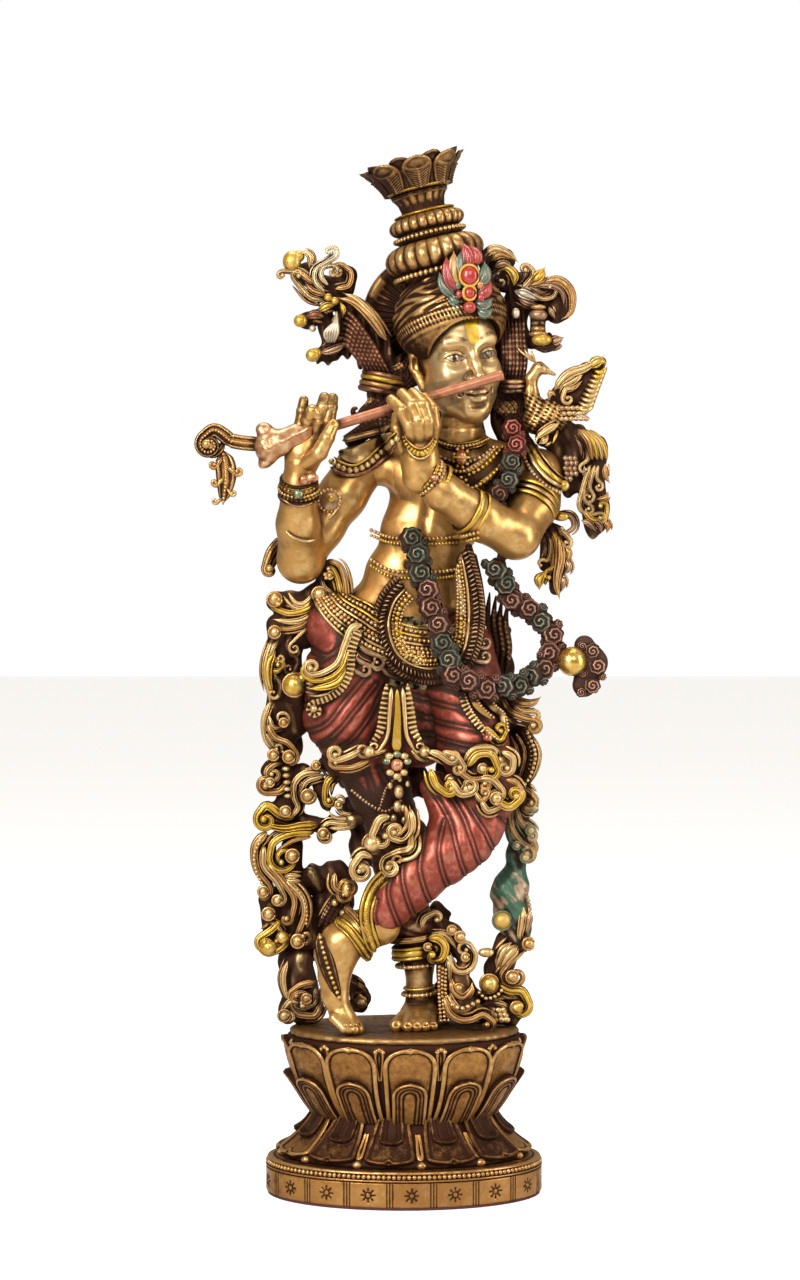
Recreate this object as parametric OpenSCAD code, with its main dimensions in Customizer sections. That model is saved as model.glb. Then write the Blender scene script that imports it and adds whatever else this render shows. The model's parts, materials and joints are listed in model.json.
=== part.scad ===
// Statue of a flute-playing deity on a double lotus pedestal, 24 inches tall.
// Castings are keyed together with steel dowels; a tie rod clamps the pedestal to the standing leg.
// +Z is up and the statue faces -Y. The origin is the middle of the felt pad's underside.

/* [Pedestal] */
// Width of the plinth, left to right
plinth_w = 162; // [150:1:190]
// Depth of the plinth, front to back
plinth_d = 108; // [98:1:130]
// Height of the plinth casting, without the felt
plinth_h = 20.5; // [17:0.5:28]
// Wall of the hollow plinth
plinth_wall = 6; // [4:0.5:10]
// Thickness of the felt pad under the plinth
felt_t = 1.5; // [1:0.5:3]
// Height of the lower lotus ring
lower_lotus_h = 27; // [22:1:34]
// Height of the upper lotus bowl
upper_lotus_h = 44; // [36:1:54]
// Width of the waist between the two lotus rings
neck_w = 104; // [94:1:120]
// Width of the deck that the figure stands on
deck_w = 134; // [124:1:150]
// Thickness of the deck plate
deck_t = 4; // [3:0.5:6]
// Petals around each lotus ring
petals = 12; // [8:1:16]
// Diameter of the beads around the plinth
bead_d = 3.6; // [2.5:0.1:4.5]

/* [Fixings] */
// Diameter of the tie rod through the pedestal
rod_d = 8; // [6:1:10]
// Diameter of the dowels between castings
dowel_d = 5; // [4:0.5:6]
// Length of each dowel
dowel_l = 20; // [14:1:26]
// Radial clearance of rods and dowels in their bores
fit_gap = 0.1; // [0.05:0.05:0.3]

/* [Figure] */
// Height of the figure from the deck to the top of the crown
figure_h = 513; // [400:1:640]
// Diameter of the flute
flute_d = 6.4; // [5:0.2:8]
// Diameter of the flower garland
garland_d = 13; // [10:0.5:15]
// Diameter of the gold ball at the end of the garland
ball_d = 16; // [12:0.5:20]
// Half depth of the scrollwork bands, front to back
scroll_depth = 5; // [3.5:0.5:7]
// Flutes around the crown's melon ring
melon_flutes = 18; // [12:1:24]
// Petals around the crown's flare
flare_petals = 9; // [7:1:12]

/* [Hidden] */
limb_fn = 10;
stem_fn = 6;
bud_fn = 6;
band_fn = 14;
ring_fn = 64;
oval_steps = 72;
drawn_deck = 97;
drawn_figure_h = 513;
oval = plinth_d / plinth_w;
plinth_top = felt_t + plinth_h;
neck_z = plinth_top + lower_lotus_h;
bowl_top = neck_z + upper_lotus_h;
deck_top = bowl_top + deck_t;
figure_scale = figure_h / drawn_figure_h;
lower_rim_w = plinth_w - 18;
rod_x = 8 * figure_scale;
rod_y = 9 * figure_scale;
rod_in_leg = 46;
nut_h = rod_d * 0.8;
washer_t = 1.6;
nut_recess = nut_h + washer_t + 3;
shoulder_h = bead_d + 2;
shoulder_in = bead_d + 1;

gold = "goldenrod";
dark = "saddlebrown";
skin = "darkkhaki";
red = "indianred";
green = "seagreen";
rose = "rosybrown";
steel = "silver";

// ---- shared shapes ----

// Figure parts are drawn with the deck at drawn_deck, then stood on the real deck.
module on_deck() {
    translate([0, 0, deck_top]) scale(figure_scale) translate([0, 0, -drawn_deck]) children();
}

function last(v) = v[len(v) - 1];
function unit(v) = v / max(norm(v), 1e-6);
function bend(a, b, c, d, t) =
    0.5 * (2 * b + (c - a) * t + (2 * a - 5 * b + 4 * c - d) * t * t + (3 * b - a - 3 * c + d) * t * t * t);

// A smooth line through a few chosen points
function smooth(p, n = 2) = [
    for (i = [0 : len(p) - 2], j = [0 : n - 1])
        bend(p[max(i - 1, 0)], p[i], p[i + 1], p[min(i + 2, len(p) - 1)], j / n),
    last(p)
];

// Points of a curl that goes on from the end of a line, turning to side 1 (left) or -1 (right)
function curl(p, r, side, turns, n = 5) =
    let (e = last(p), t = unit(e - p[len(p) - 2]), a = atan2(t.z, t.x),
         c = e + r * [cos(a + 90 * side), 0, sin(a + 90 * side)])
    [for (k = [1 : n]) let (q = k / n, th = a - 90 * side + side * 360 * turns * q)
        c + r * (1 - 0.5 * q) * [cos(th), 0, sin(th)]];

// One closed band along a line: half width w across it, half depth d front to back
module band(line, w, d, tip = 0.45, sides = 4) {
    n = len(line);
    function ring(i) =
        let (t = unit(line[min(i + 1, n - 1)] - line[max(i - 1, 0)]), q = i / (n - 1),
             across = unit([-t.z, 0, t.x]), k = 1 - (1 - tip) * q * q)
        [for (s = [0 : sides - 1]) let (f = 360 * (s + 0.5) / sides)
            line[i] + k / cos(180 / sides) * (w * cos(f) * across + [0, d * sin(f), 0])];
    polyhedron(
        [for (i = [0 : n - 1]) each ring(i)],
        [for (i = [0 : n - 2], s = [0 : sides - 1])
            let (a = i * sides + s, b = i * sides + (s + 1) % sides)
            each [[a, b, b + sides], [a, b + sides, a + sides]],
         for (s = [1 : sides - 2]) [0, s + 1, s],
         for (s = [1 : sides - 2]) let (o = (n - 1) * sides) [o, o + s, o + s + 1]]);
}

module bud(at, r) {
    hull() {
        translate(at) sphere(r, $fn = bud_fn);
        translate(at + [0, -r * 0.3, r * 0.2]) sphere(r * 0.8, $fn = bud_fn);
    }
}

// A scroll: a line through p that ends in a curl
module scroll(p, w, r, side, turns = 0.8, d = scroll_depth) {
    line = smooth(p);
    band(concat(line, curl(line, max(r, w * 1.4), side, turns)), w, d);
}

module limb(a, ra, b, rb, sides = limb_fn) {
    hull() {
        translate(a) sphere(ra, $fn = sides);
        translate(b) sphere(rb, $fn = sides);
    }
}

module blob(at, size, sides = limb_fn) {
    translate(at) scale(size) sphere(1, $fn = sides);
}

// A thin limb, for hair, scrollwork stems and toes
module stem(a, ra, b, rb) {
    limb(a, ra, b, rb, stem_fn);
}

// A round bar between two points
module bar(a, b, d) {
    v = b - a;
    translate(a) rotate([0, acos(v.z / norm(v)), atan2(v.y, v.x)]) cylinder(d = d, h = norm(v), $fn = ring_fn);
}

// ---- pedestal ----

module oval_plate(w, h) {
    linear_extrude(h)
        polygon([for (i = [0 : oval_steps - 1]) let (a = 360 * i / oval_steps) w / 2 * [cos(a), oval * sin(a)]]);
}

// A ring of petals: rows are [z, width, petal depth], lowest first
module petal_ring(rows, phase) {
    steps = petals * 4;
    n = len(rows);
    function swell(a) = pow(abs(sin((a - phase) * petals / 2)), 0.7);
    polyhedron(
        [for (r = rows, i = [0 : steps - 1]) let (a = 360 * i / steps, k = r[1] / 2 - r[2] * (1 - swell(a)))
            [k * cos(a), k * oval * sin(a), r[0]]],
        [for (j = [0 : n - 2], i = [0 : steps - 1])
            let (a = j * steps + i, b = j * steps + (i + 1) % steps)
            each [[a, b + steps, b], [a, a + steps, b + steps]],
         [for (i = [0 : steps - 1]) i],
         [for (i = [steps - 1 : -1 : 0]) (n - 1) * steps + i]]);
}

module rod_hole(z, h) {
    translate([rod_x, rod_y, z]) cylinder(d = rod_d + 2 * fit_gap, h = h, $fn = ring_fn);
}

module felt_pad() {
    color("darkgreen") oval_plate(plinth_w - 2, felt_t);
}

module plinth() {
    color(gold) difference() {
        translate([0, 0, felt_t]) union() {
            oval_plate(plinth_w, plinth_h - shoulder_h);
            oval_plate(plinth_w - shoulder_in, plinth_h);
        }
        translate([0, 0, felt_t - 1]) oval_plate(plinth_w - 2 * (plinth_wall + bead_d), plinth_h - plinth_wall + 1);
        rod_hole(0, plinth_top + 1);
    }
}

// Beads stand side by side on the plinth's shoulder
module bead_band() {
    count = 2 * floor(plinth_w * 1.3 / bead_d);
    steps = count * 2;
    color(gold) difference() {
        translate([0, 0, plinth_top - shoulder_h]) linear_extrude(shoulder_h)
            polygon([for (i = [0 : steps - 1])
                let (a = 360 * i / steps, r = plinth_w / 2 - bead_d * 0.3 * abs(cos(a * count / 2)))
                r * [cos(a), oval * sin(a)]]);
        translate([0, 0, plinth_top - shoulder_h - 1]) oval_plate(plinth_w - shoulder_in, shoulder_h + 2);
    }
}

module lotus_lower() {
    rim = lower_rim_w;
    color(gold) difference() {
        translate([0, 0, plinth_top]) petal_ring([
            [0, rim - 8, 3], [lower_lotus_h * 0.12, rim, 4], [lower_lotus_h * 0.3, rim - 4, 3.5],
            [lower_lotus_h * 0.55, (rim + neck_w) / 2, 2.5], [lower_lotus_h * 0.8, neck_w + 9, 1.6],
            [lower_lotus_h, neck_w, 0.8]], -97);
        rod_hole(plinth_top - 1, lower_lotus_h + 2);
    }
}

module lotus_upper() {
    h = upper_lotus_h;
    color(gold) difference() {
        translate([0, 0, neck_z]) petal_ring([
            [0, neck_w, 0.8], [h * 0.15, neck_w + (deck_w - neck_w) * 0.38, 1.5],
            [h * 0.4, neck_w + (deck_w - neck_w) * 0.72, 2.2], [h * 0.7, deck_w - 2, 2.6],
            [h * 0.92, deck_w + 2, 3], [h, deck_w, 3]], -87);
        rod_hole(neck_z - 1, h + 2);
    }
}

module deck() {
    color(dark) difference() {
        translate([0, 0, bowl_top]) oval_plate(deck_w - 1, deck_t);
        rod_hole(bowl_top - 1, deck_t + 2);
    }
}

module tie_rod() {
    color(steel) translate([rod_x, rod_y, plinth_top - plinth_wall - nut_recess])
        cylinder(d = rod_d, h = deck_top + rod_in_leg - plinth_top + plinth_wall + nut_recess, $fn = ring_fn);
}

module around_rod(z, h, outer, sides) {
    difference() {
        translate([rod_x, rod_y, z]) cylinder(d = outer, h = h, $fn = sides);
        rod_hole(z - 1, h + 2);
    }
}

module tie_washer() {
    color(steel) around_rod(plinth_top - plinth_wall - washer_t, washer_t, rod_d * 2.2, ring_fn);
}

module tie_nut() {
    color(steel) around_rod(plinth_top - plinth_wall - washer_t - nut_h, nut_h, rod_d * 1.9, 6);
}

// ---- body: raw shapes, each cut later by the larger ones it seats on ----

shoulder_r = [-26, 4, 422];
elbow_r = [-60, -8, 376];
wrist_r = [-60, -36, 418];
shoulder_l = [78, 6, 420];
elbow_l = [62, -22, 385];
wrist_l = [6, -44, 420];
hip_r = [-24, 6, 300];
knee_r = [-6, 2, 212];
ankle_r = [8, 9, 126];
hip_l = [30, 4, 292];
knee_l = [46, -24, 218];
cuff_l = [-13, -26, 163];
ankle_l = [-30, -22, 147];
toe_l = [-31, -24, 103];
flute_in = [56, -33, 477];
flute_out = [-78, -43, 436];
neck_base = [31, 5, 432];
chin = [34, -8, 462];
skull = [29, 2, 488];
crown_foot = [26, 2, 515];
crown_lean = -14;

module raw_torso() {
    hull() {
        blob([24, 6, 419], [40, 21, 20]);
        blob([20, 6, 395], [33, 19, 16]);
    }
    hull() {
        blob([20, 6, 390], [31, 18, 10]);
        blob([7, 6, 366], [20, 15, 8]);
    }
    hull() {
        blob([7, 6, 364], [20, 15, 8]);
        blob([0, 6, 343], [36, 22, 12]);
    }
    hull() {
        blob(neck_base, [20, 13, 8]);
        blob(shoulder_r, [13, 13, 11]);
        blob(shoulder_l, [13, 13, 11]);
    }
    limb(neck_base, 14, neck_base + [2, -3, 22], 13);
}

module raw_hips() {
    hull() {
        blob([-22, 6, 316], [31, 25, 24]);
        blob([22, 6, 308], [28, 24, 22]);
        blob([2, 6, 334], [34, 23, 12]);
    }
}

module raw_standing_leg() {
    limb(hip_r, 24, knee_r, 16);
    limb(knee_r, 16, ankle_r + [0, 0, 22], 12);
    limb(ankle_r + [0, 0, 22], 12, ankle_r, 9);
}

module raw_crossed_thigh() {
    limb(hip_l, 24, knee_l, 18);
}

module raw_crossed_shin() {
    limb(knee_l, 18.5, cuff_l, 13);
}

module raw_head() {
    hull() {
        blob(skull, [25, 26, 29]);
        blob(chin, [15, 16, 10]);
    }
}

module along_crown() {
    translate(crown_foot) rotate([0, crown_lean, 0]) children();
}

module raw_helmet() {
    difference() {
        along_crown() {
            blob([0, 0, -4], [32, 31, 27]);
            cylinder(r = 20, h = 26, $fn = 24);
        }
        along_crown() translate([0, 0, -58]) cylinder(r = 60, h = 46);
        hull() {
            blob(skull + [5, -10, 0], [22, 18, 24]);
            blob(skull + [5, -40, -4], [20, 6, 26]);
        }
    }
}

module raw_right_arm() {
    limb(shoulder_r, 15, elbow_r, 13);
    limb(elbow_r, 14, wrist_r, 9);
}

module raw_left_arm() {
    limb(shoulder_l, 15.5, elbow_l, 14.5);
    limb(elbow_l, 15, wrist_l, 8.5);
}

module core() {
    raw_torso();
    raw_hips();
    raw_standing_leg();
    raw_crossed_thigh();
    raw_crossed_shin();
}

// The first child is cut to sit on the body, and on any other children
module on_core() {
    on_deck() difference() {
        children(0);
        core();
        raw_back();
        if ($children > 1) children([1 : $children - 1]);
    }
}

module on_arms() {
    on_deck() difference() {
        children(0);
        core();
        raw_right_arm();
        raw_left_arm();
        if ($children > 1) children([1 : $children - 1]);
    }
}

// Dowels between castings: where each one starts, and the way it points
pins = [
    [[3, 6, 336], [0, 0, 1]],
    [[32, 2, 457], [0, 0, 1]],
    [shoulder_r + 3 * unit(elbow_r - shoulder_r), elbow_r - shoulder_r],
    [shoulder_l + 5 * unit(elbow_l - shoulder_l), elbow_l - shoulder_l],
    [crown_foot + 16 * [sin(crown_lean), 0, cos(crown_lean)], [sin(crown_lean), 0, cos(crown_lean)]],
];

module pin(i, gap = 0) {
    u = unit(pins[i][1]);
    translate([0, 0, deck_top - drawn_deck * figure_scale])
        bar(figure_scale * pins[i][0] - gap * u, figure_scale * pins[i][0] + (dowel_l + gap) * u, dowel_d + 2 * gap);
}

module dowels() {
    color(steel) for (i = [0 : len(pins) - 1]) pin(i);
}

module torso() {
    color(skin) difference() {
        on_deck() difference() {
            raw_torso();
            raw_hips();
        }
        for (i = [0 : 3]) pin(i, fit_gap);
    }
}

module hips() {
    color(dark) difference() {
        on_deck() raw_hips();
        pin(0, fit_gap);
    }
}

module standing_leg() {
    color(dark) difference() {
        on_deck() difference() {
            raw_standing_leg();
            raw_hips();
        }
        rod_hole(deck_top - 1, rod_in_leg + 1);
    }
}

module raw_standing_foot() {
    hull() {
        blob([8, 8, 108], [11, 14, 11], stem_fn);
        blob([8, -8, 104], [13, 9, 6], stem_fn);
    }
}

module toes() {
    for (i = [0 : 4]) stem([-2 + 5 * i, -10, 103], 3.6, [-3 + 5.6 * i, -18 + i, 101.5], 3.2);
}

module below_deck() {
    translate([-100, -100, 0]) cube([200, 200, drawn_deck]);
}

module standing_foot() {
    color(skin) difference() {
        on_deck() difference() {
            union() {
                raw_standing_foot();
                toes();
            }
            raw_standing_leg();
            below_deck();
        }
        rod_hole(deck_top - 1, rod_in_leg + 1);
    }
}

module crossed_leg() {
    color(red) on_deck() difference() {
        union() {
            raw_crossed_thigh();
            raw_crossed_shin();
        }
        raw_hips();
        raw_torso();
        raw_standing_leg();
    }
}

module raw_cuff() {
    limb(cuff_l + [-2, 0, -2], 14.5, cuff_l + [-6, 0, -7], 13);
}

module ankle_rings() {
    translate(ankle_r + [0, 0, -8]) cylinder(r = 13, h = 4.5, $fn = band_fn);
    translate(ankle_r + [0, 0, 8]) cylinder(r = 13.5, h = 4, $fn = band_fn);
}

module leg_cuffs() {
    color(gold) difference() {
        on_deck() difference() {
            union() {
                ankle_rings();
                raw_cuff();
            }
            raw_standing_leg();
            raw_standing_foot();
            raw_crossed_shin();
        }
        rod_hole(deck_top, rod_in_leg);
    }
}

module crossed_foot() {
    color(skin) on_deck() difference() {
        union() {
            stem(cuff_l, 11, ankle_l, 9.5);
            stem(ankle_l + [-4, 6, -2], 8.5, toe_l + [-6, 0, 18], 6.5);
            stem(ankle_l, 9, toe_l + [-2, 0, 16], 7.5);
            stem(toe_l + [-4, 0, 18], 8, toe_l + [3, -2, 0], 5.5);
        }
        raw_crossed_shin();
        raw_cuff();
        below_deck();
    }
}

// ---- cloth and scrollwork: each row is [line of [x, z], y, half width, curl radius, side, turns] ----

module scrolls(rows) {
    for (s = rows)
        scroll([for (p = s[0]) [p.x, s[1], p.y]], s[2], s[3], s[4], s[5]);
}

module raw_thigh_cloth() {
    hull() {
        blob([-33, 2, 302], [24, 25, 24]);
        blob([-34, 0, 276], [20, 22, 16]);
    }
    hull() {
        blob([24, -6, 282], [22, 25, 18]);
        blob([38, -8, 268], [20, 22, 14]);
    }
}

module thigh_cloth() {
    color(red) on_core() raw_thigh_cloth();
}

module raw_waist_belt() {
    for (k = [0, 1])
        band(smooth([[-42, -8, 342 - 9 * k], [-22, -20, 337 - 9 * k], [2, -24, 331 - 9 * k],
            [24, -22, 334 - 9 * k], [42, -8, 342 - 9 * k]]), 3.6, 4.5, 1);
    scrolls([
        [[[-30, 328], [-22, 318], [-14, 316]], -24, 3, 5, 1, 0.9],
        [[[-36, 318], [-24, 308], [-14, 306]], -24, 3, 5, 1, 0.9],
    ]);
}

module waist_belt() {
    color(gold) on_core() {
        raw_waist_belt();
        raw_thigh_cloth();
        raw_sash_loop();
        raw_garland_front();
        raw_garland_loop();
    }
}

module raw_front_sash() {
    band(smooth([[-5, -27, 296], [-4, -29, 280], [-4, -30, 255]]), 3, 4, 1);
    scrolls([
        [[[-7, 300], [-9, 282], [-14, 267]], -28, 2.6, 4.5, -1, 0.9],
        [[[-13, 302], [-16, 284], [-28, 266]], -27, 3, 5, -1, 0.8],
        [[[1, 298], [3, 280], [6, 266]], -28, 2.4, 4, 1, 0.9],
        [[[4, 222], [4, 212], [-2, 207]], -30, 2.8, 6, -1, 1],
        [[[4, 212], [-2, 203], [-10, 201]], -30, 2.8, 5, 1, 0.9],
        [[[-8, 219], [-18, 219], [-26, 210]], -26, 3, 8, 1, 0.9],
        [[[-28, 206], [-34, 198], [-32, 190]], -20, 3, 7, 1, 0.9],
        [[[-40, 192], [-39, 182], [-34, 178]], -18, 3, 5, 1, 0.8],
        [[[-12, 192], [-20, 176], [-27, 160]], -32, 4, 4, -1, 0.5],
        [[[-24, 188], [-34, 172], [-42, 156]], -18, 4, 4, -1, 0.5],
    ]);
    band(smooth([[-4, -28, 254], [-3, -25, 240], [-3, -18, 222]]), 2.6, 4, 1);
    bud([-4, -31, 254], 4);
    bud([-17, -28, 209], 6.5);
}

module front_sash() {
    color(gold) on_core() {
        raw_front_sash();
        raw_cuff();
        raw_thigh_cloth();
    }
}

module raw_back() {
    hull() {
        blob([-48, 16, 178], [16, 6, 9], stem_fn);
        blob([-50, 16, 146], [15, 6, 10], stem_fn);
    }
    hull() {
        blob([-14, 16, 240], [22, 8, 14], stem_fn);
        blob([-12, 16, 196], [20, 8, 12], stem_fn);
    }
    hull() {
        blob([46, 14, 322], [13, 8, 17], stem_fn);
        blob([30, 16, 300], [18, 8, 12], stem_fn);
    }
    hull() {
        blob([-62, 16, 128], [10, 8, 12], stem_fn);
        blob([-60, 16, 105], [12, 8, 9], stem_fn);
    }
    hull() {
        blob([-66, 14, 300], [12, 7, 30], stem_fn);
        blob([-66, 14, 262], [9, 7, 14], stem_fn);
    }
    hull() {
        blob([28, 20, 288], [20, 9, 16], stem_fn);
        blob([60, 14, 262], [15, 8, 22], stem_fn);
    }
    hull() {
        blob([64, 14, 240], [10, 7, 14], stem_fn);
        blob([36, 14, 246], [20, 7, 10], stem_fn);
    }
    hull() {
        blob([20, 18, 150], [9, 7, 16], stem_fn);
        blob([36, 14, 108], [20, 8, 10], stem_fn);
    }
}

module back_drape() {
    color(dark) on_deck() difference() {
        raw_back();
        core();
        ankle_rings();
    }
}

module raw_hip_knot_left() {
    band(smooth([[-54, -2, 344], [-50, -4, 358], [-40, -6, 367], [-33, -6, 358], [-31, -8, 344]]), 5, 7, 1);
    scrolls([
        [[[-50, 348], [-62, 352], [-70, 351]], 0, 4, 5, 1, 0.8],
        [[[-44, 344], [-60, 337], [-70, 337]], -2, 4, 5, 1, 0.8],
        [[[-44, 334], [-60, 330], [-66, 324]], -4, 4, 4, 1, 0.8],
    ]);
    bud([-47, -10, 346], 5);
}

module hip_knot_left() {
    color(gold) on_core() {
        raw_hip_knot_left();
        raw_waist_belt();
    }
}

module raw_apron_left() {
    scrolls([
        [[[-24, 336], [-31, 318], [-48, 306]], -26, 3.4, 5.5, -1, 0.9],
        [[[-28, 328], [-36, 308], [-50, 299]], -24, 3.4, 4, -1, 0.7],
        [[[-28, 318], [-33, 302], [-46, 291]], -24, 3.6, 5, 1, 0.9],
    ]);
    bud([-62, -8, 299], 8);
}

module apron_left() {
    color(gold) on_core() {
        raw_apron_left();
        raw_waist_belt();
        raw_thigh_cloth();
    }
}

module raw_apron_right() {
    scrolls([
        [[[30, 302], [34, 286], [48, 270]], -24, 3.6, 4, 1, 0.8],
        [[[40, 302], [48, 290], [60, 278]], -18, 3.6, 5, -1, 0.8],
        [[[52, 296], [66, 288], [76, 280]], -8, 3.6, 5, -1, 0.7],
        [[[60, 294], [70, 290], [78, 289]], -4, 3, 3.4, 1, 0.8],
    ]);
}

module apron_right() {
    color(gold) on_core() {
        raw_apron_right();
        raw_thigh_cloth();
        raw_sash_loop();
        raw_garland_loop();
    }
}

module raw_fringe_right() {
    scrolls([
        [[[10, 262], [16, 256], [24, 254]], -26, 3, 4, 1, 0.8],
        [[[26, 258], [32, 252], [38, 250]], -28, 3, 5, 1, 0.9],
        [[[38, 252], [50, 250], [56, 252]], -26, 3, 5, 1, 0.9],
        [[[12, 252], [18, 242], [26, 240]], -28, 3, 5, 1, 0.9],
        [[[28, 246], [34, 238], [40, 234]], -30, 3, 4.5, 1, 0.9],
        [[[44, 246], [52, 246], [58, 240]], -26, 3, 6, -1, 0.9],
        [[[44, 234], [54, 230], [64, 232]], -22, 3, 4.5, 1, 0.9],
    ]);
}

module fringe_right() {
    color(gold) on_core() {
        raw_fringe_right();
        raw_front_sash();
        raw_thigh_cloth();
    }
}

module raw_scarf_left_upper() {
    scrolls([
        [[[-64, 338], [-76, 328], [-80, 312], [-79, 296]], 4, 4.6, 3, 1, 0.5],
        [[[-79, 298], [-81, 280], [-78, 266], [-74, 260]], 6, 4, 3, 1, 0.6],
        [[[-80, 290], [-78, 282], [-74, 284]], 2, 2.4, 6, -1, 0.8],
        [[[-76, 272], [-68, 268], [-63, 262]], 4, 3, 4, -1, 0.8],
    ]);
    hull() {
        blob([-70, 10, 324], [8, 6, 14], stem_fn);
        blob([-72, 10, 268], [7, 6, 12], stem_fn);
    }
}

module scarf_left_upper() {
    color(gold) on_core() {
        raw_scarf_left_upper();
        raw_hip_knot_left();
    }
}

module raw_scarf_left_middle() {
    scrolls([
        [[[-68, 254], [-74, 250], [-78, 246]], 4, 3.6, 5, -1, 0.9],
        [[[-64, 244], [-74, 242], [-80, 240]], 4, 3.6, 5.5, 1, 0.9],
        [[[-46, 250], [-58, 246], [-66, 236], [-64, 226]], -4, 3.4, 5, -1, 0.8],
        [[[-44, 242], [-54, 240], [-60, 232]], -2, 3, 5, 1, 0.9],
        [[[-30, 250], [-40, 252], [-46, 250]], -6, 3.4, 4.5, -1, 0.8],
        [[[-60, 222], [-72, 219], [-82, 221]], 2, 4.4, 6, -1, 0.8],
        [[[-18, 222], [-34, 218], [-48, 217]], -8, 3.6, 5, 1, 0.8],
        [[[-18, 226], [-28, 223], [-36, 226]], -6, 2.6, 4.5, -1, 0.8],
    ]);
}

module scarf_left_middle() {
    color(gold) on_core() {
        raw_scarf_left_middle();
        raw_scarf_left_upper();
    }
}

module raw_scarf_left_lower() {
    scrolls([
        [[[-42, 217], [-60, 214], [-74, 209], [-80, 199]], 0, 4.4, 10, 1, 1],
        [[[-78, 215], [-86, 204], [-85, 188], [-76, 174]], 4, 4, 4, -1, 0.6],
        [[[-82, 190], [-72, 178], [-62, 168], [-60, 156]], 4, 4.6, 4, -1, 0.7],
        [[[-70, 186], [-63, 182], [-58, 178]], 4, 3.6, 4, -1, 0.6],
        [[[-84, 180], [-82, 168], [-76, 160]], 6, 3.6, 6, 1, 0.9],
        [[[-60, 152], [-66, 144], [-74, 140]], 2, 4.4, 5.5, -1, 0.9],
    ]);
    hull() {
        blob([-72, 12, 178], [8, 5, 12], stem_fn);
        blob([-68, 12, 150], [9, 5, 12], stem_fn);
    }
}

module scarf_left_lower() {
    color(gold) on_core() {
        raw_scarf_left_lower();
        raw_scarf_left_middle();
    }
}

module raw_scarf_left_foot() {
    scrolls([
        [[[-50, 128], [-54, 112], [-62, 106]], 3, 3.6, 8, -1, 0.9],
        [[[-66, 122], [-70, 112], [-70, 106]], 5, 3.6, 4, 1, 0.8],
        [[[-44, 134], [-28, 124], [-22, 114]], 14, 3.6, 6.5, -1, 0.9],
    ]);
}

module scarf_left_foot() {
    color(dark) on_core() raw_scarf_left_foot();
}

module raw_scarf_right_upper() {
    for (k = [0 : 2])
        band(smooth([[66 - 3 * k, 4 - 4 * k, 280 - 4 * k], [76 - 5 * k, 4 - 4 * k, 262], [74 - 6 * k, 4 - 4 * k, 246],
            [64 - 5 * k, 4 - 4 * k, 236]]), 3.2, 5, 0.8);
    scrolls([[[[72, 244], [74, 236], [70, 230]], 2, 3.4, 4.5, -1, 0.9]]);
}

module scarf_right_upper() {
    color(dark) on_core() raw_scarf_right_upper();
}

module raw_scarf_right_column() {
    scrolls([
        [[[64, 232], [62, 216], [68, 202]], 2, 4.4, 5, 1, 0.8],
        [[[66, 232], [70, 226], [74, 222]], 0, 3.6, 5.5, 1, 0.9],
        [[[64, 224], [72, 212], [77, 204]], 4, 3.6, 4.5, -1, 0.8],
    ]);
    stem([65, 8, 228], 7, [65, 8, 192], 6.5);
    stem([65, 8, 192], 6.5, [63, 8, 176], 11.5);
    stem([63, 8, 176], 11.5, [64, 8, 150], 9);
    bud([57, -1, 161], 6);
}

module scarf_right_column() {
    color(green) on_core() {
        raw_scarf_right_column();
        raw_scarf_right_upper();
    }
}

module raw_scarf_right_lower() {
    stem([62, 10, 148], 9, [56, 10, 122], 8);
    stem([56, 10, 122], 8, [62, 8, 104], 10);
    scrolls([
        [[[64, 146], [62, 134], [60, 124]], 0, 3.6, 5, 1, 0.9],
        [[[58, 122], [68, 116], [72, 110]], 0, 3.6, 6, -1, 0.9],
        [[[70, 150], [72, 142], [70, 134]], 4, 3, 4, 1, 0.8],
        [[[34, 106], [46, 102], [52, 106]], -16, 3.4, 4, 1, 0.8],
    ]);
    bud([50, -1, 123], 6);
}

module scarf_right_lower() {
    color(gold) on_core() {
        raw_scarf_right_lower();
        raw_scarf_right_column();
        below_deck();
    }
}

module raw_scarf_foot_middle() {
    scrolls([
        [[[8, 152], [12, 162], [20, 164]], -4, 3.4, 6, -1, 0.9],
        [[[14, 154], [24, 152], [24, 142]], -10, 3.4, 6.5, -1, 0.8],
        [[[24, 158], [30, 158], [34, 150]], 0, 3, 4, 1, 0.9],
        [[[30, 140], [32, 128], [42, 130]], -6, 3, 6, 1, 0.9],
        [[[22, 136], [21, 118], [22, 104]], -14, 2.6, 4, 1, 0.6],
        [[[26, 130], [28, 112], [38, 110]], -10, 3.4, 6, 1, 0.9],
    ]);
}

module scarf_foot_middle() {
    color(gold) on_core() {
        raw_scarf_foot_middle();
        raw_scarf_right_lower();
        raw_standing_foot();
        toes();
    }
}

// ---- jewellery, sashes and garland ----

module raw_necklaces() {
    band(smooth([[16, -6, 439], [32, -15, 434], [50, -8, 439]]), 2.4, 4, 1);
    band(smooth([[10, -12, 430], [22, -20, 420], [34, -22, 416], [48, -18, 422], [58, -10, 432]]), 2.6, 3, 1);
    band(smooth([[6, -12, 424], [20, -20, 410], [38, -22, 406], [54, -16, 416], [62, -8, 430]]), 2.6, 3, 1);
    bud([33, -18, 430], 4.5);
    bud([32, -25, 414], 4);
}

module necklaces() {
    color(gold) on_arms() {
        raw_necklaces();
        raw_garland_chest();
        arm_rings();
    }
}

module raw_shoulder_wrap() {
    band(smooth([[-44, -2, 428], [-38, -12, 422], [-22, -16, 424], [-8, -14, 434], [2, -8, 444]]), 5, 4, 1);
    band(smooth([[70, -8, 436], [80, -11, 428], [92, -6, 415]]), 3, 4, 1);
    band(smooth([[-2, 2, 446], [-16, 2, 446], [-34, 2, 436]]), 5, 4, 1);
}

module shoulder_wrap() {
    color(gold) on_arms() raw_shoulder_wrap();
}

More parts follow.
